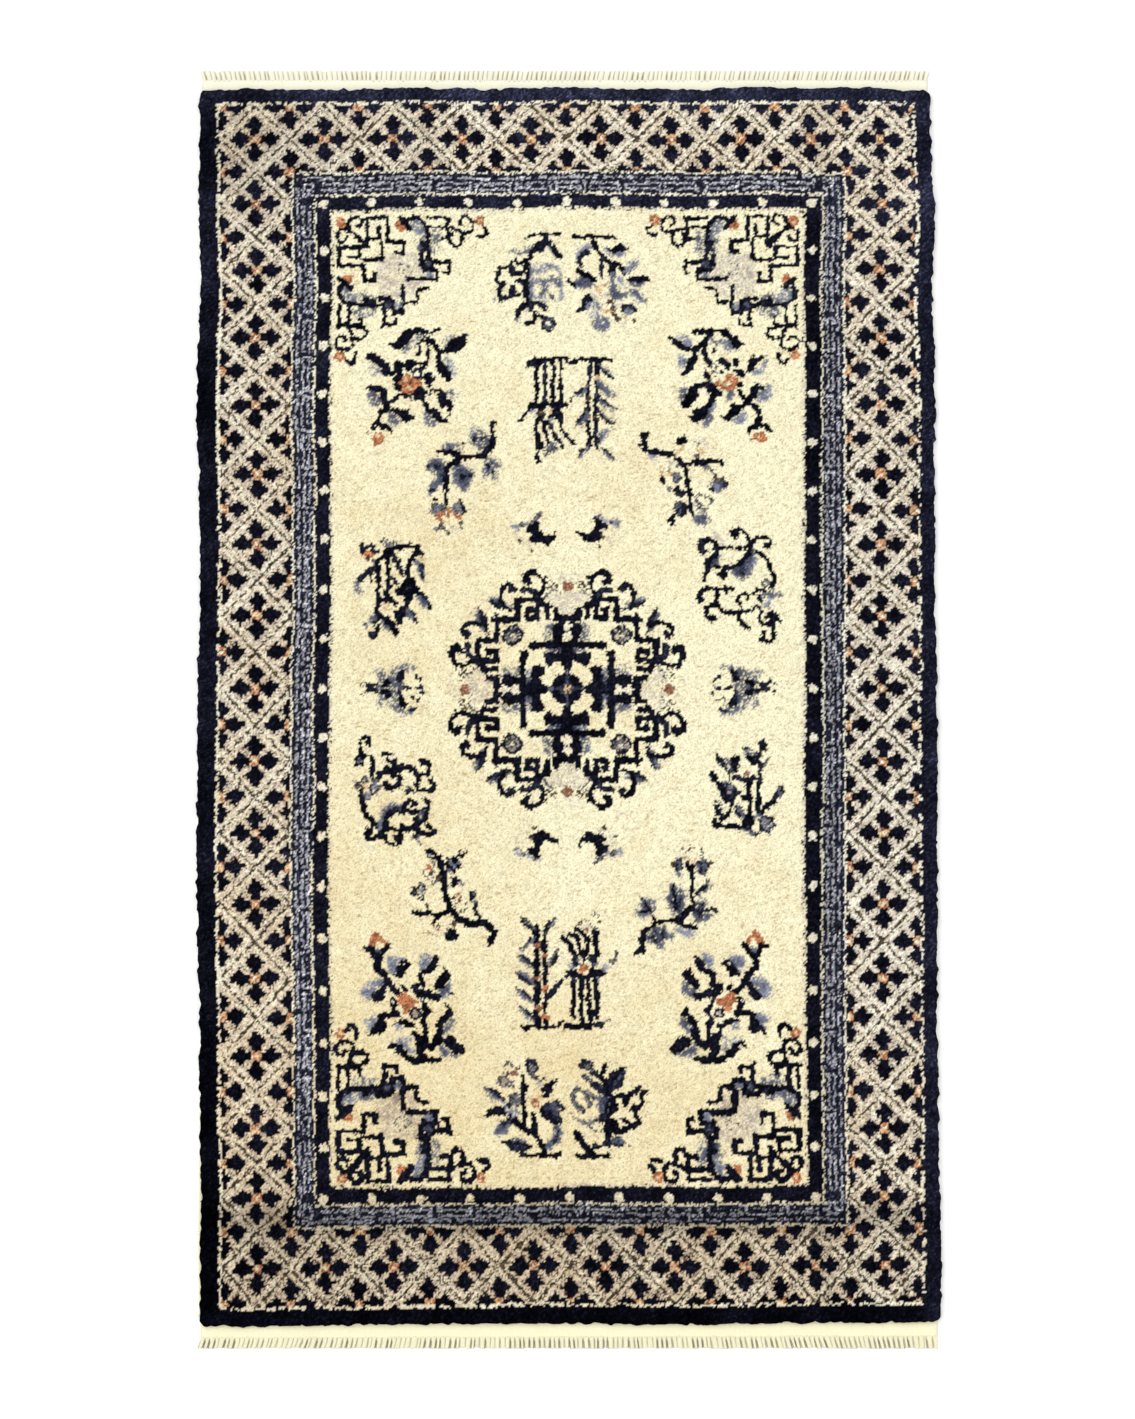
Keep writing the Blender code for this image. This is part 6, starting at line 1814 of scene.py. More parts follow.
def draw_strokes(chart: KnotChart, strokes: Sequence, placed: Placed, reach: float = 30.0,
                 middle: tuple[float, float] = (0.0, 0.0), bold: float = 1.0) -> None:
    """Draw strokes in their order at one place, where the motif's middle comes to lie."""
    pen = Pen(chart, placed.column, placed.row, reach, placed.turn, placed.mirrored, middle,
              placed.grown, bold)
    for stroke in strokes:
        stroke.draw(pen)


def draw_medallion(chart: KnotChart, column: float = 126.9, row: float = 212.5, reach: float = 46,
                   grown: float = 0.987, bold: float = 1.15) -> None:
    """Draw the medallion stroke by stroke in its four turns and their mirror images."""
    for stroke in MEDALLION_EIGHTH:
        for turn in range(4):
            for mirrored in (False, True):
                placed = Placed(column, row, turn, mirrored, grown)
                draw_strokes(chart, (stroke,), placed, reach, bold=bold)


def draw_corners(chart: KnotChart, left: float = 44.5, top: float = 43.0, reach: float = 60) -> None:
    """Draw a corner piece in each corner of the field: each half, then its mirror image."""
    right, bottom = chart.columns - 1 - left, chart.rows - 1 - top
    corners = (
        (1.00, Placed(left - 0.2, top, 0, False), Placed(left - 0.3, top + 0.1, 3, True)),
        (0.98, Placed(right + 0.7, top - 0.4, 0, True), Placed(right + 1.0, top + 0.5, 1, False)),
        (1.25, Placed(right + 0.4, bottom, 2, False), Placed(right + 0.5, bottom + 0.8, 1, True)),
        (1.32, Placed(left - 0.9, bottom + 0.1, 2, True), Placed(left - 0.8, bottom + 0.5, 3, False)),
    )
    for bold, half, other_half in corners:
        draw_strokes(chart, CORNER_CLOUD, half, reach)
        for placed in (half, other_half):
            draw_strokes(chart, CORNER_HALF, placed, reach, bold=bold)
        draw_strokes(chart, CORNER_STEP, half, reach, bold=bold)


def draw_field_motifs(chart: KnotChart) -> None:
    """Draw each motif at its own place and then, turned or mirrored, at its further places."""
    for motif, bold in FIELD_MOTIFS:
        for placed in (Placed(*motif.middle), *motif.places):
            draw_strokes(chart, motif.strokes, placed, motif.reach, motif.middle, bold)


def draw_rug_chart() -> KnotChart:
    """Draw the whole knot chart: the bands first, then the motifs of the field."""
    chart = KnotChart()
    Border().draw(chart)
    draw_corners(chart)
    draw_field_motifs(chart)
    draw_medallion(chart)
    return chart


def blurred(values: np.ndarray, passes: int = 1) -> np.ndarray:
    """Average each value with its neighbours, in rows and then in columns, a number of times."""
    for _ in range(passes):
        for axis in (0, 1):
            pad = np.pad(values, [(1, 1) if axis == k else (0, 0) for k in range(values.ndim)], mode="edge")
            first, last = (pad.take(range(k, k + values.shape[axis]), axis) for k in (0, 2))
            values = (first + 2 * values + last) / 4
    return values


@dataclass(frozen=True)
class Tone:
    """A place on the rug, in shares of its width and length, where the yarns look lighter or darker."""

    across: float
    down: float
    wide: float
    tall: float
    strength: float

    def at(self, across: np.ndarray, down: np.ndarray) -> np.ndarray:
        """Give the tone's strength at places: a bell curve in the distance from its middle."""
        away = ((across - self.across) / self.wide) ** 2 + ((down - self.down) / self.tall) ** 2
        return self.strength * np.exp(-away)


# lighter at the top edge and on the right, nearly black at the bottom and low on the left
NAVY_TONES = (
    Tone(0.55, 0.0, 0.60, 0.022, 1.5), Tone(1.0, 0.45, 0.035, 0.9, 0.85), Tone(0.0, 0.95, 0.05, 0.20, -1.1),
    Tone(0.5, 1.0, 0.8, 0.022, -0.8), Tone(0.0, 0.26, 0.04, 0.05, -0.8), Tone(0.0, 0.45, 0.04, 0.05, 0.4),
    Tone(0.0, 0.15, 0.04, 0.05, 0.4), Tone(0.5, 0.08, 0.5, 0.05, 0.4), Tone(0.5, 0.095, 0.6, 0.014, 0.6),
    Tone(0.165, 0.4, 0.02, 0.5, 0.35), Tone(0.92, 0.12, 0.10, 0.12, 0.45),
)
# the shadowy parts of the border
PILE_TONES = (
    Tone(0.08, 0.05, 0.12, 0.05, -0.26), Tone(0.30, 0.05, 0.04, 0.05, -0.16),
    Tone(0.5, 0.96, 0.7, 0.035, -0.16), Tone(0.10, 0.93, 0.06, 0.06, -0.22),
    Tone(0.95, 0.5, 0.08, 0.5, -0.07), Tone(0.06, 0.30, 0.10, 0.30, -0.05),
    Tone(0.5, 0.920, 0.6, 0.012, -0.75), Tone(0.845, 0.5, 0.018, 0.7, -0.24),
)
# where the ivory ground has gone tan
TAN_TONES = (
    Tone(0.5, 0.87, 0.9, 0.17, 1.0), Tone(0.32, 0.55, 0.20, 0.16, 0.36), Tone(0.30, 0.36, 0.16, 0.08, 0.35),
    Tone(0.64, 0.34, 0.10, 0.06, 0.35), Tone(0.22, 0.70, 0.10, 0.20, 0.35), Tone(0.9, 0.5, 0.25, 0.4, -0.30),
    Tone(0.50, 0.12, 0.5, 0.12, -0.15), Tone(0.93, 0.75, 0.06, 0.40, -1.0),
)


@dataclass
class TuftField:
    """The tips of the pile: a grid of points, two steps to a knot, and the yarn at each point.

    A knot never lies quite in its place and a tuft never stands quite over its own knot, so each
    point reads the chart a little to one side. Where slate or another soft yarn meets the ivory
    ground, the tufts of both are mixed over a wider strip.
    """

    chart: KnotChart
    knot_stray: float = 0.30
    drift: float = 0.20
    tuft_stray: float = 0.12
    loose: float = 0.80
    fret_stray: float = 0.55
    own_tone: float = 0.8
    shared_tone: float = 1.1
    deep_reach: int = 14
    deep_from: float = 0.62
    deep_slate: float = 0.55
    soft_reach: int = 3
    soft_rise: float = 1.3
    softest: float = 0.29
    weight_of_others: float = 0.3
    # painted shade between the rows of tufts in the ivory ground
    shade_streak_from: float = 1.2
    shade_streak_most: float = 2
    shade_streak_takes: tuple[float, float, float] = (0.20, 0.26, 0.34)
    tan_ground: float = 0.15
    tan_clouds: tuple[tuple[int, float], ...] = ((40, 0.16), (400, 0.14))
    tan_range: tuple[float, float] = (-0.7, 1.6)
    tan_takes: tuple[float, float, float] = (0.075, 0.135, 0.215)
    navy_cloud: tuple[int, float] = (60, 4.0)
    navy_of_ink: float = 0.22
    seed: int = 8

    def __post_init__(self) -> None:
        """Read the yarn of every point and give it its colour."""
        rng = np.random.default_rng(self.seed)
        self.steps = self.chart.tufts
        most_row, most_column = self.chart.yarn.shape
        shape = (most_row + 1, most_column + 1)
        self.row, self.column = np.mgrid[:shape[0], :shape[1]]
        fret = np.pad(np.isin(self.chart.yarn, (INK, FOG)), ((0, 1), (0, 1)), mode="edge")
        close, far = [], []
        for place, most in ((self.row, most_row), (self.column, most_column)):
            smooth = blurred(rng.normal(0.0, 1.0, shape), 2)
            knots = rng.normal(0.0, self.knot_stray, (shape[0] // 2 + 1, shape[1] // 2 + 1))
            knots = np.kron(knots, np.ones((2, 2)))[:shape[0], :shape[1]]
            lean = smooth / smooth.std() * self.drift + knots + rng.normal(0.0, self.tuft_stray, shape)
            lean = np.where(fret, self.fret_stray, 1.0) * lean
            for reads, add in ((close, 0.0), (far, rng.normal(0.0, self.loose, shape))):
                reads.append(np.clip(np.floor(place + lean + add), 0, most - 1).astype(int))
        yarn, other = (self.chart.yarn[tuple(read)] for read in (close, far))
        mixes = [np.isin(found, (IVORY, *SOFT_YARNS)) for found in (yarn, other)]
        self.yarn = np.where(mixes[0] & mixes[1], other, yarn)
        self.colour = self.finished(self.dyed(rng), rng)

    def dyed(self, rng: np.random.Generator) -> np.ndarray:
        """Give each point its yarn's colour, with the unevenness of the dye.

        Args:
            rng: for the tone of each point and for the knots of the second colour.

        Returns:
            Red, green and blue of each point, as shares of light.
        """
        shape = self.yarn.shape
        second = rng.random(shape)
        tone = self.own_tone * rng.normal(0.0, 1.0, shape)
        tone = tone + self.shared_tone * blurred(rng.normal(0.0, 1.0, shape))
        colours = np.zeros((*shape, 3))
        for dye in DYES:
            here = self.yarn == dye.yarn
            mixed = np.where((second < dye.second_share)[..., None], dye.second, dye.colour)
            colours[here] = (mixed * np.exp(dye.uneven * tone)[..., None])[here]
        return colours

    def finished(self, colours: np.ndarray, rng: np.random.Generator) -> np.ndarray:
        """Shade the dyed points: soft slate, specks and streaks in the ground, tan and dark places.

        Soft yarns and the ivory beside them take a share of the mean colour round them. Slate is
        darker the more of the points round it are dyed. Streaks are noise averaged along a row and
        are painted shade between the rows of tufts.

        Args:
            colours: the dyed colours.
            rng: for the streaks.

        Returns:
            The finished colours.
        """
        yarn = self.yarn
        soft, ivory = np.isin(yarn, SOFT_YARNS), yarn == IVORY
        dyed = blurred((~ivory).astype(float), self.deep_reach)
        deep = np.where(soft, np.clip((dyed - self.deep_from) / (1 - self.deep_from), 0, 1), 0.0)
        colours = colours * np.exp(-self.deep_slate * deep)[..., None]
        reach = self.soft_reach
        weight = np.where(soft | ivory, 1.0, self.weight_of_others)[..., None]
        around = blurred(weight * colours, reach) / blurred(weight, reach)
        share = np.clip(self.soft_rise * blurred(soft.astype(float), reach), 0, self.softest)
        share = share * (soft | ivory)
        colours = colours + (around - colours) * share[..., None]
        # painted shade between the rows of tufts: streaks and specks that darken the ivory ground
        shade_streak = rng.normal(0.0, 1.0, yarn.shape)
        for _ in range(2):
            shade_streak = (np.roll(shade_streak, 1, 1) + 2 * shade_streak + np.roll(shade_streak, -1, 1)) / 4
        shade_streak = np.clip(shade_streak / shade_streak.std() - self.shade_streak_from, 0, self.shade_streak_most) * ivory
        colours = colours * (1 - shade_streak[..., None] * np.array(self.shade_streak_takes))
        # tan, light and dark places
        across, down = self.column / self.column.max(), self.row / self.row.max()
        tan = sum(tone.at(across, down) for tone in TAN_TONES) + self.tan_ground
        for passes, size in self.tan_clouds:
            cloud = blurred(rng.normal(0.0, 1.0, yarn.shape), passes)
            tan = tan + cloud / cloud.std() * size
        least, most = self.tan_range
        tan = np.clip(tan, np.where(ivory, 0.0, least), most) * np.isin(yarn, (IVORY, CREAM, OAT, LILAC))
        colours = colours * (1 - tan[..., None] * np.array(self.tan_takes))
        navy = sum(tone.at(across, down) for tone in NAVY_TONES)
        passes, size = self.navy_cloud
        navy = navy + blurred(rng.normal(0.0, 1.0, yarn.shape), passes) * size
        moved = (yarn == NAVY) + self.navy_of_ink * np.isin(yarn, (INK, FOG))
        colours = colours * np.exp(navy * moved)[..., None]
        pile = sum(tone.at(across, down) for tone in PILE_TONES)
        return np.clip(colours * np.exp(pile)[..., None], 0.0, 1.0)


# ---------------------------------------------------------------- finishes


class Slot(Enum):
    """The finishes that the record names."""

    PILE = "pile_wool"
    SELVEDGE = "selvedge_cotton"
    WARP = "warp_cotton"


class NodeBench:
    """Lays out one material's nodes and joins them."""

    def __init__(self, name: str) -> None:
        """Start a material with an empty bench and its surface node."""
        self.material = bpy.data.materials.new(name)
        self.material.use_nodes = True
        self.tree = self.material.node_tree
        self.tree.nodes.clear()
        self.surface = self.add("ShaderNodeBsdfPrincipled")
        output = self.add("ShaderNodeOutputMaterial")
        self.tree.links.new(self.surface.outputs["BSDF"], output.inputs["Surface"])

    def add(self, kind: str, **values: object) -> bpy.types.Node:
        """Add a node and set its properties.

        Args:
            kind: Blender's name for the node's type.
            values: its properties by name.

        Returns:
            The node.
        """
        node = self.tree.nodes.new(kind)
        for name, value in values.items():
            setattr(node, name, value)
        return node

    def feed(self, node: bpy.types.Node, **values: object) -> bpy.types.Node:
        """Give a node's inputs, by name or as i0, i1 by number, a plain value or another output."""
        for name, value in values.items():
            numbered = name[0] == "i" and name[1:].isdigit()
            socket = node.inputs[int(name[1:])] if numbered else node.inputs[name.replace("_", " ")]
            if isinstance(value, bpy.types.NodeSocket):
                self.tree.links.new(value, socket)
            else:
                socket.default_value = value
        return node

    def sum(self, operation: str, first: object, second: object = 0.0) -> bpy.types.NodeSocket:
        """Work out one sum of two values."""
        node = self.add("ShaderNodeMath", operation=operation)
        return self.feed(node, i0=first, i1=second).outputs[0]

    def grain(self, place: bpy.types.NodeSocket, scale: float, detail: float = 2.0) -> bpy.types.NodeSocket:
        """Give smooth noise from 0 to 1 with so many waves to the metre."""
        node = self.add("ShaderNodeTexNoise")
        return self.feed(node, Vector=place, Scale=scale, Detail=detail, Roughness=0.6).outputs["Fac"]

    def place(self, turn: float = 0.0) -> bpy.types.NodeSocket:
        """Give the place on the piece, turned about the upright by an angle in radians."""
        found = self.add("ShaderNodeTexCoord").outputs["Object"]
        return self.feed(self.add("ShaderNodeMapping"), Vector=found,
                         Rotation=(0.0, 0.0, turn)).outputs["Vector"]

    def ribs(self, place: bpy.types.NodeSocket, axis: int, pitch: float) -> bpy.types.NodeSocket:
        """Give round ribs from 0 to 1 across one axis: the sine's size, so each pitch is a rib."""
        parts = self.feed(self.add("ShaderNodeSeparateXYZ"), Vector=place)
        turned = self.sum("MULTIPLY", parts.outputs[axis], np.pi / pitch)
        return self.sum("ABSOLUTE", self.sum("SINE", turned))

    def between(self, share: object, low: object, high: object) -> bpy.types.NodeSocket:
        """Mix two colours by a share."""
        node = self.add("ShaderNodeMix", data_type="RGBA")
        return self.feed(node, i0=share, i6=low, i7=high).outputs[2]

    def shade(self, colour: object, share: object) -> bpy.types.NodeSocket:
        """Multiply a colour by a share of light."""
        node = self.add("ShaderNodeVectorMath", operation="MULTIPLY")
        return self.feed(node, i0=colour, i1=share).outputs[0]

    def ranged(self, value: object, low: float, high: float) -> bpy.types.NodeSocket:
        """Turn 0 to 1 into low to high."""
        return self.sum("ADD", self.sum("MULTIPLY", value, high - low), low)

    def bump(self, height: object, depth: float, strength: float = 1.0) -> None:
        """Press a height pattern into the surface, so many metres deep."""
        node = self.feed(self.add("ShaderNodeBump"), Strength=strength, Distance=depth, Height=height)
        self.feed(self.surface, Normal=node.outputs["Normal"])


@dataclass(frozen=True)
class PileWool:
    """Cut wool: each tuft's own dye, painted shade in the gaps between the tuft ends and fine fibre grain."""

    name: str = "pile wool"
    fibre_waves: float = 1100.0
    tufts: float = 560.0
    fibre_light: tuple[float, float] = (0.84, 1.24)
    gap_painted_shade: float = 0.42
    nap_depth: float = 0.6 * MM
    nap_strength: float = 0.8

    def material(self) -> bpy.types.Material:
        """Build the material; the dye comes from the colour attribute of the mesh."""
        bench = NodeBench(self.name)
        dye = bench.add("ShaderNodeAttribute", attribute_name="dye").outputs["Color"]
        place = bench.place()
        fibre = bench.grain(place, self.fibre_waves)
        ends = bench.feed(bench.add("ShaderNodeTexVoronoi"), Vector=place, Scale=self.tufts)
        gap = bench.sum("MULTIPLY", ends.outputs["Distance"], ends.outputs["Distance"])
        lit = bench.ranged(fibre, *self.fibre_light)
        # painted shade: the colour is darkened in the gaps between the tuft ends
        light = bench.sum("SUBTRACT", lit, bench.sum("MULTIPLY", gap, self.gap_painted_shade))
        bench.feed(bench.surface, Base_Color=bench.shade(dye, light), Roughness=0.95,
                   Specular_IOR_Level=0.0)
        bench.bump(bench.sum("SUBTRACT", fibre, gap), self.nap_depth, self.nap_strength)
        return bench.material


@dataclass(frozen=True)
class FoundationCloth:
    """The back of the rug: rows of knot backs between cotton wefts, in the yarns' colours."""

    name: str = "knotted back"
    knot_pitch: float = 3.6 * MM
    row_pitch: float = 3.62 * MM
    cotton_waves: float = 500.0
    dark_cotton: tuple[float, float, float, float] = (0.62, 0.52, 0.36, 1)
    light_cotton: tuple[float, float, float, float] = (0.74, 0.65, 0.48, 1)
    weft_shows: float = 0.28
    knot_light: tuple[float, float] = (0.72, 1.05)
    depth: float = 0.6 * MM

    def material(self) -> bpy.types.Material:
        """Build the material; the dye comes from the colour attribute of the mesh."""
        bench = NodeBench(self.name)
        dye = bench.add("ShaderNodeAttribute", attribute_name="dye").outputs["Color"]
        place = bench.place()
        rows, columns = bench.ribs(place, 1, self.row_pitch), bench.ribs(place, 0, self.knot_pitch / 2)
        knots = bench.sum("MULTIPLY", rows, columns)
        cotton = bench.between(bench.grain(place, self.cotton_waves), self.dark_cotton, self.light_cotton)
        shown = bench.sum("GREATER_THAN", rows, self.weft_shows)
        # painted shade: darker in the grooves between the knot backs
        colour = bench.shade(bench.between(shown, cotton, dye), bench.ranged(knots, *self.knot_light))
        bench.feed(bench.surface, Base_Color=colour, Roughness=0.93, Specular_IOR_Level=0.1)
        bench.bump(knots, self.depth)
        return bench.material


@dataclass(frozen=True)
class Cotton:
    """Undyed cotton, woven flat, wrapped or hanging free."""

    name: str
    pale: tuple[float, float, float, float] = (0.995, 0.990, 0.805, 1.0)
    soiled: tuple[float, float, float, float] = (0.92, 0.83, 0.60, 1.0)
    soil_least: float = -0.15
    soil_most: float = 0.8
    soil_waves: tuple[float, float] = (14.0, 260.0)
    fluff_waves: float = 1500.0
    fluff_share: float = 0.3
    thread_light: tuple[float, float] = (0.93, 1.0)
    fluff_light: tuple[float, float] = (0.94, 1.04)
    dyed: bool = True
    rib_axis: int = 0
    rib_pitch: float = 1.55 * MM
    cross_pitch: float = 0.0
    cross_share: float = 0.6
    depth: float = 0.3 * MM
    turn: float = 0.0

    def material(self) -> bpy.types.Material:
        """Build the material: threads as ribs, crossed by a second set where it is woven."""
        bench = NodeBench(self.name)
        where = bench.place()
        threads = bench.ribs(bench.place(self.turn), self.rib_axis, self.rib_pitch)
        if self.cross_pitch:
            crossed = bench.ribs(where, 1 - self.rib_axis, self.cross_pitch)
            threads = bench.sum("ADD", threads, bench.sum("MULTIPLY", crossed, self.cross_share))
        broad, fine = self.soil_waves
        soil = bench.sum("MULTIPLY", bench.grain(where, broad, 3.0), bench.grain(where, fine))
        colour = bench.between(bench.ranged(soil, self.soil_least, self.soil_most), self.pale, self.soiled)
        if self.dyed:
            dye = bench.add("ShaderNodeAttribute", attribute_name="dye")
            colour = bench.shade(colour, dye.outputs["Color"])
        fluff = bench.grain(where, self.fluff_waves)
        # painted shade: darker between the threads; the fluff adds a random tone
        light = bench.sum("MULTIPLY", bench.ranged(threads, *self.thread_light),
                          bench.ranged(fluff, *self.fluff_light))
        bench.feed(bench.surface, Base_Color=bench.shade(colour, light), Roughness=0.9,
                   Specular_IOR_Level=0.15)
        bench.bump(bench.sum("ADD", threads, bench.sum("MULTIPLY", fluff, self.fluff_share)), self.depth)
        return bench.material


# ---------------------------------------------------------------- meshes


@dataclass
class Skin:
    """A mesh being gathered: its points, its faces by number of corners, and its maps."""

    name: str
    points: np.ndarray
    faces: list[np.ndarray]
    dye: np.ndarray | None = None
    bake_map: np.ndarray | None = None
    normals: np.ndarray | None = None
    smooth: tuple[bool, ...] = (True, False, False, False)

    def build(self, material: bpy.types.Material, slot: Slot) -> bpy.types.Object:
        """Make the mesh and its object, which rides on the rug's one body.

        Args:
            material: the finish.
            slot: the record's slot that the finish belongs to; not used.

        Returns:
            The object, at the origin.
        """
        mesh = bpy.data.meshes.new(self.name)
        corners = np.concatenate([part.ravel() for part in self.faces])
        sizes = np.concatenate([np.full(len(part), part.shape[1]) for part in self.faces])
        mesh.vertices.add(len(self.points))
        mesh.vertices.foreach_set("co", self.points.astype(np.float32).ravel())
        mesh.loops.add(len(corners))
        mesh.loops.foreach_set("vertex_index", corners.astype(np.int32))
        mesh.polygons.add(len(sizes))
        mesh.polygons.foreach_set("loop_start", (np.cumsum(sizes) - sizes).astype(np.int32))
        mesh.update(calc_edges=True)
        smooth = np.repeat(self.smooth[:len(self.faces)], [len(part) for part in self.faces])
        mesh.polygons.foreach_set("use_smooth", smooth)
        if self.bake_map is not None:
            mesh.uv_layers.new(name="OFBake").data.foreach_set("uv", self.bake_map.astype(np.float32).ravel())
        if self.dye is not None:
            layer = mesh.color_attributes.new("dye", "FLOAT_COLOR", "POINT")
            shades = np.column_stack([self.dye, np.ones(len(self.dye))])
            layer.data.foreach_set("color", shades.astype(np.float32).ravel())
        mesh.materials.append(material)
        mesh.update()
        if self.normals is not None:
            given = np.zeros((len(self.points), 3))
            given[:len(self.normals)] = self.normals
            mesh.normals_split_custom_set_from_vertices(given.tolist())
        piece = bpy.data.objects.new(self.name, mesh)
        bpy.context.scene.collection.objects.link(piece)
        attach(piece, "root")
        LOG.info("%s: %d faces", self.name, len(sizes))
        return piece


def grid_faces(numbers: np.ndarray) -> np.ndarray:
    """Make the quads of a grid of point numbers, facing up where rows run down and columns right."""
    return np.stack([numbers[1:, :-1], numbers[1:, 1:], numbers[:-1, 1:], numbers[:-1, :-1]],
                    axis=-1).reshape(-1, 4)


def border_of(rows: int, columns: int) -> tuple[np.ndarray, np.ndarray]:
    """Walk round a grid's border once, counterclockwise as seen from above.

    Args:
        rows: how many rows of points the grid has.
        columns: how many columns.

    Returns:
        The row and the column of each point of the border.
    """
    down, across = np.arange(rows), np.arange(columns)
    row = np.concatenate([down[:-1], np.full(columns - 1, rows - 1), down[:0:-1], np.zeros(columns - 1, int)])
    column = np.concatenate([np.zeros(rows - 1, int), across[:-1], np.full(rows - 1, columns - 1),
                             across[:0:-1]])
    return row, column


def ring_faces(upper: np.ndarray, lower: np.ndarray) -> np.ndarray:
    """Join two closed rings of point numbers, facing away from what they go round."""
    return np.stack([upper, lower, np.roll(lower, -1), np.roll(upper, -1)], axis=-1)


# ---------------------------------------------------------------- the rug's parts


@dataclass
class Rim:
    """The rug's rounded rim: rings of the rectangle, drawn in and laid out on the uneven rug."""

    outline: Outline
    corner_radius: float = 7.0 * MM
    squeeze: float = 12.0 * MM

    def ring(self, across: np.ndarray, along: np.ndarray, inset: float = 0.0,
             shifted: bool = False) -> tuple[np.ndarray, np.ndarray]:
        """Draw places in from the edge, round the corners and lay them out.

        Near an edge the gap to it grows by the inset, and by less and less up to the squeeze
        depth, so places keep their order. In a corner's square the larger of the two gaps from
        the square's inner corner becomes the true distance from it, which makes the corner round.

        Args:
            across: places across the true rectangle, in metres.
            along: places along it.
            inset: how far the edge is drawn in.
            shifted: whether the ring follows the foundation to the left, where its selvedge shows.

        Returns:
            The x and y of each place on the rug.
        """
        outline = self.outline
        radius = max(self.corner_radius - inset, MM)
        drawn, halves = [], (outline.half_wide, outline.half_long)
        for places, half in zip((across, along), halves):
            gap = half - np.abs(places)
            gap = gap + inset * np.clip(1.0 - gap / self.squeeze, 0.0, 1.0)
            drawn.append(half - gap)
        past = [np.clip(place - (half - inset - radius), 0.0, None) for place, half in zip(drawn, halves)]
        longest = np.hypot(*past)
        share = np.where(longest > 0, np.maximum(*past) / np.where(longest > 0, longest, 1.0), 1.0)
        inner = [place - part for place, part in zip(drawn, past)]
        drawn = [(place + part * share) * np.sign(at)
                 for place, part, at in zip(inner, past, (across, along))]
        x, y = outline.lay_out(*drawn)
        if shifted:
            shows = eased(drawn[1], SIDES, "along", "selvedge_shows")
            x = x - shows * np.clip(-drawn[0] / outline.half_wide, 0.0, 1.0)
        return x, y

    def gap_to_edge(self, across: np.ndarray, along: np.ndarray) -> np.ndarray:
        """Measure how far inside the true rectangle's edge places are."""
        return np.minimum(self.outline.half_wide - np.abs(across), self.outline.half_long - np.abs(along))


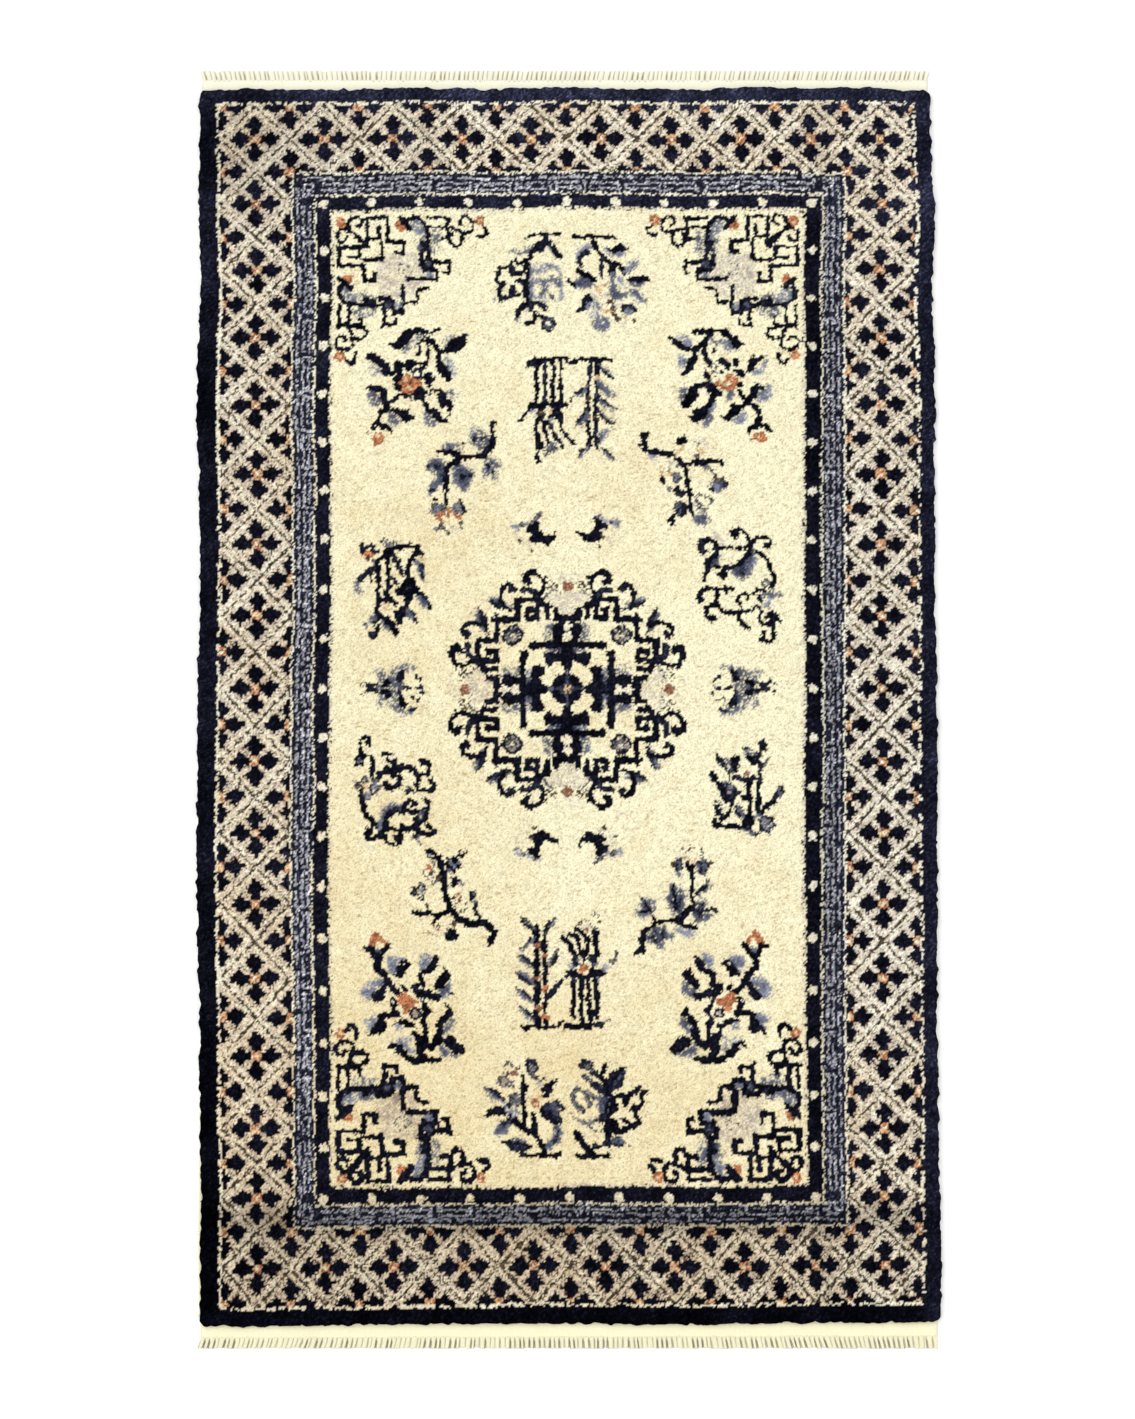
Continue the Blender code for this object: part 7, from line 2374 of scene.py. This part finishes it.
@dataclass
class Pile:
    """The cut pile: one domed tuft beside the other, built in blocks that join without a gap."""

    rim: Rim
    tufts: TuftField
    blocks_across: int = 4
    blocks_along: int = 4
    rim_profile: tuple[tuple[float, float], ...] = (
        (0.0, 6.8), (1.0, 9.6), (2.2, 10.9), (5.5, 11.9), (15.0, 12.2))
    skirt: tuple[tuple[float, float], ...] = ((0.9, 4.7), (6.0, 4.1))
    dome: float = 0.45 * MM
    ragged: float = 0.30 * MM
    swell: float = 0.25 * MM
    swell_reach: int = 30
    edge_sway: float = 0.5 * MM
    sway_depth: float = 5 * MM
    sway_waves: tuple[tuple[int, float], ...] = ((3, 1.0), (14, 0.8))
    tip_stray: float = 0.12 * MM
    overhang: float = 1.2 * MM
    skirt_shade: float = 0.8
    follows_foundation: float = 5.0
    seed: int = 21

    def __post_init__(self) -> None:
        """Work out the place of every tuft tip."""
        rng = np.random.default_rng(self.seed)
        steps, outline = self.tufts.steps, self.rim.outline
        row, column = self.tufts.row, self.tufts.column
        self.across, self.along = outline.knot_to_rectangle(column / steps, row / steps)
        gap = self.rim.gap_to_edge(self.across, self.along)
        x, y = self.rim.ring(self.across, self.along, -self.overhang)
        near_edge = np.exp(-gap / self.sway_depth)
        for wave, size in self.sway_waves:
            for lean in (x, y):
                sway = blurred(rng.normal(0.0, 1.0, x.shape), wave)
                lean += sway / sway.std() * self.edge_sway * size * near_edge
        x += rng.normal(0.0, self.tip_stray, x.shape)
        y += rng.normal(0.0, self.tip_stray, x.shape)
        insets, heights = np.array(self.rim_profile).T * MM
        z = np.interp(gap, insets, heights)
        tip = np.sin(np.pi * (column / steps % 1)) * np.sin(np.pi * (row / steps % 1))
        z += self.dome * (tip - 0.5) + rng.normal(0.0, self.ragged, x.shape)
        rolling = blurred(rng.normal(0.0, 1.0, x.shape), self.swell_reach)
        z += rolling / rolling.std() * self.swell
        self.top = np.stack([x, y, z], axis=-1)
        slopes = np.cross(np.gradient(self.top, axis=1), -np.gradient(self.top, axis=0))
        self.normals = slopes / np.linalg.norm(slopes, axis=-1, keepdims=True)

    def block(self, name: str, rows: slice, columns: slice) -> Skin:
        """Gather one block: its tips, a skirt of two rings below its border, and a flat base.

        Args:
            name: the piece's name.
            rows: its rows of tufts.
            columns: its columns of tufts.

        Returns:
            The closed block.
        """
        top = self.top[rows, columns]
        height, width = top.shape[:2]
        numbers = np.arange(height * width).reshape(height, width)
        row, column = border_of(height, width)
        border = numbers[row, column]
        across, along = self.across[rows, columns][row, column], self.along[rows, columns][row, column]
        dye = self.tufts.colour[rows, columns]
        points, shades, faces = [top.reshape(-1, 3)], [dye.reshape(-1, 3)], [grid_faces(numbers)]
        count, upper = height * width, border
        for inset, level in self.skirt:
            x, y = self.rim.ring(across, along, inset * MM, inset > self.follows_foundation)
            points.append(np.column_stack([x, y, np.full_like(x, level * MM)]))
            # painted shade: the skirt's rings take the border's dye, darkened
            shades.append(dye[row, column] * self.skirt_shade)
            lower = count + np.arange(len(border))
            faces.append(ring_faces(upper, lower))
            count, upper = count + len(border), lower
        base = upper[::-1][None, :]
        maps = np.concatenate([self.bake_places(part, border, height, width) for part in faces])
        maps = np.concatenate([maps, self.base_places(row[::-1], column[::-1], height, width)])
        return Skin(name, np.concatenate(points), [*faces, base], np.concatenate(shades), maps,
                    self.normals[rows, columns].reshape(-1, 3))

    @staticmethod
    def bake_places(faces: np.ndarray, border: np.ndarray, height: int, width: int) -> np.ndarray:
        """Map corners for the bake: the tips' grid in the middle and each skirt ring round it.

        Args:
            faces: the faces to map.
            border: the point numbers of the tips' border.
            height: how many rows of tips there are.
            width: how many columns.

        Returns:
            The place in the map of each corner of the faces, one per row.
        """
        tips, around = height * width, len(border)
        corners = faces.ravel()
        level = np.where(corners < tips, 0, 1 + (corners - tips) // around)
        at = np.where(corners < tips, corners, border[(corners - tips) % around])
        u, v = at % width / (width - 1) * 2 - 1, 1 - at // width / (height - 1) * 2
        spread = 0.955 + 0.02 * level
        return np.column_stack([0.5 + 0.5 * u * spread, 0.54 + 0.45 * v * spread])

    @staticmethod
    def base_places(row: np.ndarray, column: np.ndarray, height: int, width: int) -> np.ndarray:
        """Map the base's corners in a narrow strip under the rest."""
        return np.column_stack([0.02 + 0.96 * column / (width - 1), 0.01 + 0.05 * (1 - row / (height - 1))])

    def build(self, material: bpy.types.Material) -> list[bpy.types.Object]:
        """Build every block."""
        most_row, most_column = (size - 1 for size in self.top.shape[:2])
        row_cuts = np.linspace(0, most_row, self.blocks_along + 1).astype(int)
        column_cuts = np.linspace(0, most_column, self.blocks_across + 1).astype(int)
        pieces = []
        for j, (first_row, last_row) in enumerate(zip(row_cuts, row_cuts[1:])):
            for i, (first, last) in enumerate(zip(column_cuts, column_cuts[1:])):
                rows, columns = slice(first_row, last_row + 1), slice(first, last + 1)
                skin = self.block(f"pile_{j + 1}_{i + 1}", rows, columns)
                pieces.append(skin.build(material, Slot.PILE))
        return pieces


@dataclass
class Foundation:
    """The knotted ground of the rug, a thin slab whose underside shows the knots' backs."""

    rim: Rim
    tufts: TuftField
    columns: int = 80
    rows: int = 132
    thickness: float = 4.3 * MM
    inset: float = 6.0 * MM

    def build(self, material: bpy.types.Material) -> bpy.types.Object:
        """Build the slab: a grid below, its border raised to the top, and a flat top face."""
        steps, outline = self.tufts.steps, self.rim.outline
        row = np.linspace(0, outline.rows, self.rows + 1)[:, None] + np.zeros(self.columns + 1)
        column = np.linspace(0, outline.columns, self.columns + 1) + np.zeros((self.rows + 1, 1))
        across, along = outline.knot_to_rectangle(column, row)
        x, y = self.rim.ring(across, along, self.inset, True)
        low = np.stack([x, y, np.zeros_like(x)], axis=-1)
        numbers = np.arange(x.size).reshape(x.shape)
        edge_row, edge_column = border_of(*x.shape)
        border = numbers[edge_row, edge_column]
        raised = low[edge_row, edge_column] + (0.0, 0.0, self.thickness)
        upper = x.size + np.arange(len(border))
        smooth = blurred(self.tufts.colour, 2)
        dye = smooth[(row * steps).astype(int), (column * steps).astype(int)].reshape(-1, 3)
        faces = [grid_faces(numbers)[:, ::-1], ring_faces(upper, border), upper[None, :]]
        points = np.concatenate([low.reshape(-1, 3), raised])
        shades = np.concatenate([dye, dye[border]])
        return Skin("woven_foundation", points, faces, shades).build(material, Slot.PILE)


@dataclass(frozen=True)
class SectionPoint:
    """One point of a section: how far out or along and how far up, as shares of its size."""

    out: float
    up: float


def swept(sections: np.ndarray) -> tuple[np.ndarray, list[np.ndarray]]:
    """Join closed sections one after the other into a tube with a flat cap at each end.

    Args:
        sections: the points, by section, then round the section, then x, y and z.

    Returns:
        The points one per row, and the faces: the sides, the first cap and the last one.
    """
    count, around = sections.shape[:2]
    numbers = np.arange(count * around).reshape(count, around)
    sides = [ring_faces(nearer, farther) for nearer, farther in zip(numbers, numbers[1:])]
    return sections.reshape(-1, 3), [np.concatenate(sides), numbers[:1], numbers[-1:, ::-1]]


@dataclass
class Selvedge:
    """The cord along one long side, wrapped in cotton, on the foundation's wall."""

    rim: Rim
    side: int
    name: str
    wide: float = 5.4 * MM
    thick: float = 3.8 * MM
    inset: float = 6.0 * MM
    off_wall: float = 0.3 * MM
    short_of_end: float = 10.0 * MM
    stations: int = 230
    lumps: float = 0.05
    seed: int = 31
    section: tuple[SectionPoint, ...] = (
        SectionPoint(0.0, 0.08), SectionPoint(0.10, 0.0), SectionPoint(0.50, 0.0), SectionPoint(0.86, 0.02),
        SectionPoint(0.98, 0.24), SectionPoint(1.0, 0.52), SectionPoint(0.93, 0.80), SectionPoint(0.74, 0.96),
        SectionPoint(0.45, 1.0), SectionPoint(0.16, 0.96), SectionPoint(0.0, 0.86))

    def build(self, material: bpy.types.Material) -> bpy.types.Object:
        """Carry the round section along the wall, a little thicker and thinner from place to place."""
        rng = np.random.default_rng(self.seed + self.side)
        outline = self.rim.outline
        reach = outline.half_long - self.short_of_end
        along = np.linspace(-reach, reach, self.stations)
        x, y = self.rim.ring(np.full_like(along, self.side * outline.half_wide), along, self.inset, True)
        lump = 1 + self.lumps * rng.normal(0.0, 1.0, (self.stations, 1))
        out = np.array([point.out for point in self.section])
        up = np.array([point.up for point in self.section])
        sections = np.stack([
            (x + self.side * self.off_wall)[:, None] + self.side * self.wide * out * lump,
            np.broadcast_to(y[:, None], lump.shape[:1] + out.shape),
            self.thick * up * (1 + (lump - 1) / 2)], axis=-1)
        points, faces = swept(sections if self.side > 0 else sections[:, ::-1])
        return Skin(self.name, points, faces).build(material, Slot.SELVEDGE)


@dataclass(frozen=True)
class WovenEnd:
    """Where the flat weave and the fringe of one end lie, in millimetres, with the end's tint and the colour
    of the painted shade between the fringe's strands.
    """

    name: str
    side: int
    left: float
    right: float
    weave_left: float
    weave_right: float
    tip: float
    tint: tuple[float, float, float]
    slit_shade: tuple[float, float, float]
    slit_shade_shows: tuple[float, ...]
    leans: tuple[tuple[float, float], ...]


# the tint, then the colour of the painted shade between the strands and how much of it shows at each station
# of a strand
TOP_END = WovenEnd("top", 1, -455.5, 446.5, 782.5, 782.5, 795.2,
                   (1.0, 0.99, 0.985), (0.52, 0.40, 0.26), (0.0, 0.75, 0.95, 0.30, 0.05), (
    (-456.0, -3.5), (-300.0, -2.0), (-200.0, 1.5), (-60.0, 2.5), (60.0, 3.0), (140.0, 2.0), (230.0, 3.5),
    (450.0, 4.0)))
BOTTOM_END = WovenEnd("bottom", -1, -458.0, 459.0, 783.0, 780.5, 795.9,
                      (1.0, 0.965, 0.825), (0.10, 0.07, 0.04), (0.0, 0.0, 1.0, 1.0, 0.7), (
    (-456.0, -4.0), (-330.0, -4.5), (-180.0, -2.5), (-60.0, 0.0), (80.0, 0.5), (200.0, 2.5), (330.0, 5.0),
    (456.0, 1.5)))


@dataclass
class FlatWeave:
    """The narrow flat weave between the pile and the fringe of one end."""

    rim: Rim
    end: WovenEnd
    thick: float = 2.4 * MM
    inset: float = 6.0 * MM
    off_wall: float = 0.3 * MM
    stations: int = 220
    uneven: float = 0.12 * MM
    seed: int = 41
    section: tuple[SectionPoint, ...] = (
        SectionPoint(0.0, 0.10), SectionPoint(0.0, 0.90), SectionPoint(0.06, 1.0), SectionPoint(0.35, 1.0),
        SectionPoint(0.68, 0.98), SectionPoint(0.92, 0.96), SectionPoint(1.0, 0.80), SectionPoint(1.0, 0.10),
        SectionPoint(0.92, 0.0), SectionPoint(0.10, 0.0))

    def line(self, x: np.ndarray) -> np.ndarray:
        """Give how far from the middle the weave ends, a straight line from its left to its right."""
        end = self.end
        share = (x / MM - end.left) / (end.right - end.left)
        return (end.weave_left + (end.weave_right - end.weave_left) * share) * MM

    def build(self, material: bpy.types.Material) -> bpy.types.Object:
        """Carry the flat section from left to right, from the foundation's wall to the line."""
        rng = np.random.default_rng(self.seed + self.end.side)
        end, outline = self.end, self.rim.outline
        x = np.linspace(end.left, end.right, self.stations) * MM
        across = np.linspace(-outline.half_wide, outline.half_wide, self.stations)
        wall_x, wall_y = self.rim.ring(across, np.full_like(across, end.side * outline.half_long),
                                       self.inset, True)
        inner = np.interp(x, wall_x - outline.shift_x, np.abs(wall_y - outline.shift_y)) + self.off_wall
        outer = self.line(x)
        out = np.array([point.out for point in self.section])
        up = np.array([point.up for point in self.section])
        wave = blurred(rng.normal(0.0, 1.0, (self.stations, 1)), 2) * self.uneven
        reach = inner[:, None] + (outer - inner)[:, None] * out
        sections = np.stack([
            np.broadcast_to(x[:, None], reach.shape) + outline.shift_x,
            end.side * reach + outline.shift_y,
            self.thick * up + wave * (up > 0.5)], axis=-1)
        points, faces = swept(sections if end.side > 0 else sections[:, ::-1])
        dye = np.tile(end.tint, (len(points), 1))
        return Skin(f"weave_{end.name}", points, faces, dye).build(material, Slot.WARP)


@dataclass
class Fringe:
    """The warps of one end, cut short just beyond the flat weave, one flattened strand each."""

    weave: FlatWeave
    strands: int = 150
    sunk: float = 2.0 * MM
    root_thick: float = 2.3 * MM
    tip_thick: float = 1.5 * MM
    around: int = 8
    fill: float = 0.98
    cut_uneven: float = 0.13
    lean_uneven: float = 0.6 * MM
    trim_uneven: float = 0.7 * MM
    narrowest: float = 0.35
    stations: tuple[float, ...] = (0.0, 0.18, 0.45, 0.93, 1.0)
    narrowing: tuple[float, ...] = (1.0, 1.0, 1.0, 0.97, 0.84)
    lean_from: float = 0.1
    lean_curve: float = 1.4
    tip_flat: float = 0.6
    squareness: float = 0.35
    slit_shade_depth: float = 0.50
    slit_shade_uneven: float = 0.50
    slit_shade_side: float = 0.7
    tones: tuple[float, float] = (0.95, 1.0)
    seed: int = 51

    def build(self, material: bpy.types.Material) -> bpy.types.Object:
        """Build all strands at once: an oval section at five stations from the root to the tip.

        The strands lie between lines that part them. A line leans as the table says for its place
        across the rug, with a wobble of its own, and most of the lean comes in its outer half. The
        sides of two strands that meet at a line carry painted shade for the slit between them,
        darker or paler by chance.
        """
        end, outline = self.weave.end, self.weave.rim.outline
        rng = np.random.default_rng(self.seed + end.side)
        pitch = (end.right - end.left) / self.strands * MM
        cut = end.left * MM + pitch * np.arange(self.strands + 1)
        cut[1:-1] += rng.normal(0.0, self.cut_uneven * pitch, self.strands - 1)
        stations, leans = np.array(end.leans).T * MM
        lean = np.interp(cut, stations, leans) + rng.normal(0.0, self.lean_uneven, self.strands + 1)
        share, narrow = np.array(self.stations)[None, :], np.array(self.narrowing)[None, :]
        lines = cut[:, None] + lean[:, None] * np.clip(share - self.lean_from, 0, 1) ** self.lean_curve
        x = (lines[1:] + lines[:-1]) / 2
        wide = np.maximum((lines[1:] - lines[:-1]) * self.fill, self.narrowest * pitch)
        start = (self.weave.line(x[:, 0]) - self.sunk)[:, None]
        tip = end.tip * MM - np.abs(rng.normal(0.0, self.trim_uneven, self.strands))
        reach = start + (tip[:, None] - start) * share
        thick = self.root_thick + (self.tip_thick - self.root_thick) * share
        thick = thick * np.where(share == 1.0, self.tip_flat, 1.0)
        angle = np.linspace(0, 2 * np.pi, self.around, endpoint=False) + np.pi / self.around
        sway, rise = np.cos(angle), np.sin(angle)
        squared = 1 / np.maximum(np.abs(sway), np.abs(rise)) ** self.squareness
        sections = np.stack(np.broadcast_arrays(
            x[..., None] + (wide * narrow / 2)[..., None] * sway * squared / squared.max()
            + outline.shift_x,
            end.side * reach[..., None] + outline.shift_y,
            thick[..., None] * (0.5 + rise / np.abs(rise).max() / 2)), axis=-1)
        # the dye: the end's own tint, and painted shade for the slits on the sides
        slit_shade = np.clip(rng.normal(self.slit_shade_depth, self.slit_shade_uneven, self.strands + 1), 0.0, 1.0)
        slit_shade = np.where(sway > 0, slit_shade[1:, None], slit_shade[:-1, None]) * (np.abs(sway) > self.slit_shade_side)
        slit_shade = slit_shade[:, None, :, None] * np.array(end.slit_shade_shows)[None, :, None, None]
        tone = rng.uniform(*self.tones, self.strands)[:, None, None, None]
        dye = np.array(end.tint) * tone * (1 - slit_shade * (1 - np.array(end.slit_shade)))
        if end.side < 0:
            sections, dye = sections[:, :, ::-1], dye[:, :, ::-1]
        points, faces = swept(sections[0])
        step = (np.arange(self.strands) * len(points))[:, None, None]
        faces = [(part[None] + step).reshape(-1, part.shape[1]) for part in faces]
        return Skin(f"fringe_{end.name}", sections.reshape(-1, 3), faces,
                    dye.reshape(-1, 3)).build(material, Slot.WARP)


@dataclass
class Studio:
    """The pale floor, the soft light and the camera that looks straight down at the rug."""

    outline: Outline
    camera_height: float = 14.0
    rug_top: float = 0.012
    seen_height: float = 1.76453
    off_middle: tuple[float, float] = (-1.2435 * MM, -0.373 * MM)
    sensor: float = 36.0
    floor_size: float = 6.0
    floor_level: float = -0.0003
    sky: float = 0.965
    sun: float = 0.335
    sun_wide: float = 50
    sun_leans: tuple[float, float] = (-24, -18)

    def lay_floor(self) -> None:
        """Lay one square of floor just under the rug."""
        half, level = self.floor_size / 2, self.floor_level
        mesh = bpy.data.meshes.new("floor")
        mesh.from_pydata([(-half, -half, level), (half, -half, level), (half, half, level),
                          (-half, half, level)], [], [(0, 1, 2, 3)])
        bench = NodeBench("pale floor")
        bench.feed(bench.surface, Base_Color=(0.94, 0.94, 0.94, 1.0), Roughness=0.9, Specular_IOR_Level=0.1)
        mesh.materials.append(bench.material)
        floor = bpy.data.objects.new("floor", mesh)
        bpy.context.scene.collection.objects.link(floor)
        floor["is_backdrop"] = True

    def light(self) -> None:
        """Light the room evenly, with a wide soft sun from the upper left."""
        scene = bpy.context.scene
        scene.view_settings.view_transform = "Standard"
        world = bpy.data.worlds.new("room")
        world.use_nodes = True
        background = world.node_tree.nodes["Background"]
        background.inputs["Color"].default_value = (1.0, 1.0, 1.0, 1.0)
        background.inputs["Strength"].default_value = self.sky
        scene.world = world
        lamp = bpy.data.lights.new("window", "SUN")
        lamp.energy, lamp.angle = self.sun * np.pi, np.radians(self.sun_wide)
        sun = bpy.data.objects.new("window", lamp)
        sun.rotation_euler = (*np.radians(self.sun_leans), 0.0)
        scene.collection.objects.link(sun)

    def set_camera(self) -> None:
        """Hang the camera over the middle of the picture, turned straight down."""
        lens = bpy.data.cameras.new("camera")
        lens.sensor_width = self.sensor
        lens.lens = self.sensor * self.camera_height / self.seen_height
        lens.dof.use_dof = False
        camera = bpy.data.objects.new("camera", lens)
        over, up = self.off_middle
        camera.location = (self.outline.shift_x + over, self.outline.shift_y + up,
                           self.camera_height + self.rug_top)
        bpy.context.scene.collection.objects.link(camera)
        bpy.context.scene.camera = camera


def save_sizes() -> None:
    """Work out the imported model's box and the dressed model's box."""
    boxes = {"cad": cad_box, "visual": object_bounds()}
    plain = {name: [[float(value) for value in corner] for corner in box] for name, box in boxes.items()}


def main() -> None:
    """Build the rug part by part, then the floor, the light and the camera."""
    logging.basicConfig(level=logging.INFO, format="%(name)s: %(message)s")
    outline = Outline()
    outline.meet(*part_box("pile_body"))
    studio = Studio(outline)
    studio.set_camera()
    studio.light()
    studio.lay_floor()
    rim = Rim(outline)
    tufts = TuftField(draw_rug_chart())
    cord = Cotton("wrapped cord", (0.985, 0.965, 0.790, 1.0), soil_most=2.1, dyed=False, rib_axis=1,
                  rib_pitch=2.6 * MM, depth=0.6 * MM)
    weave = Cotton("flat weave", cross_pitch=1.1 * MM)
    strand = Cotton("cut warps", rib_pitch=0.9 * MM, turn=np.radians(50))
    blocks = Pile(rim, tufts).build(PileWool().material())
    back = Foundation(rim, tufts).build(FoundationCloth().material())
    for piece in (*blocks, back):
        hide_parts("pile_body")
    wrapped = cord.material()
    for side, name in ((-1, "selvedge_left"), (1, "selvedge_right")):
        piece = Selvedge(rim, side, f"{name}_cord").build(wrapped)
        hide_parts(name)
    woven, cut = weave.material(), strand.material()
    for end in (TOP_END, BOTTOM_END):
        flat = FlatWeave(rim, end)
        for piece in (flat.build(woven), Fringe(flat).build(cut)):
            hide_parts(f"end_weave_{end.name}")
    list(blocks)
    save_sizes()


if __name__ == "__main__":
    main()
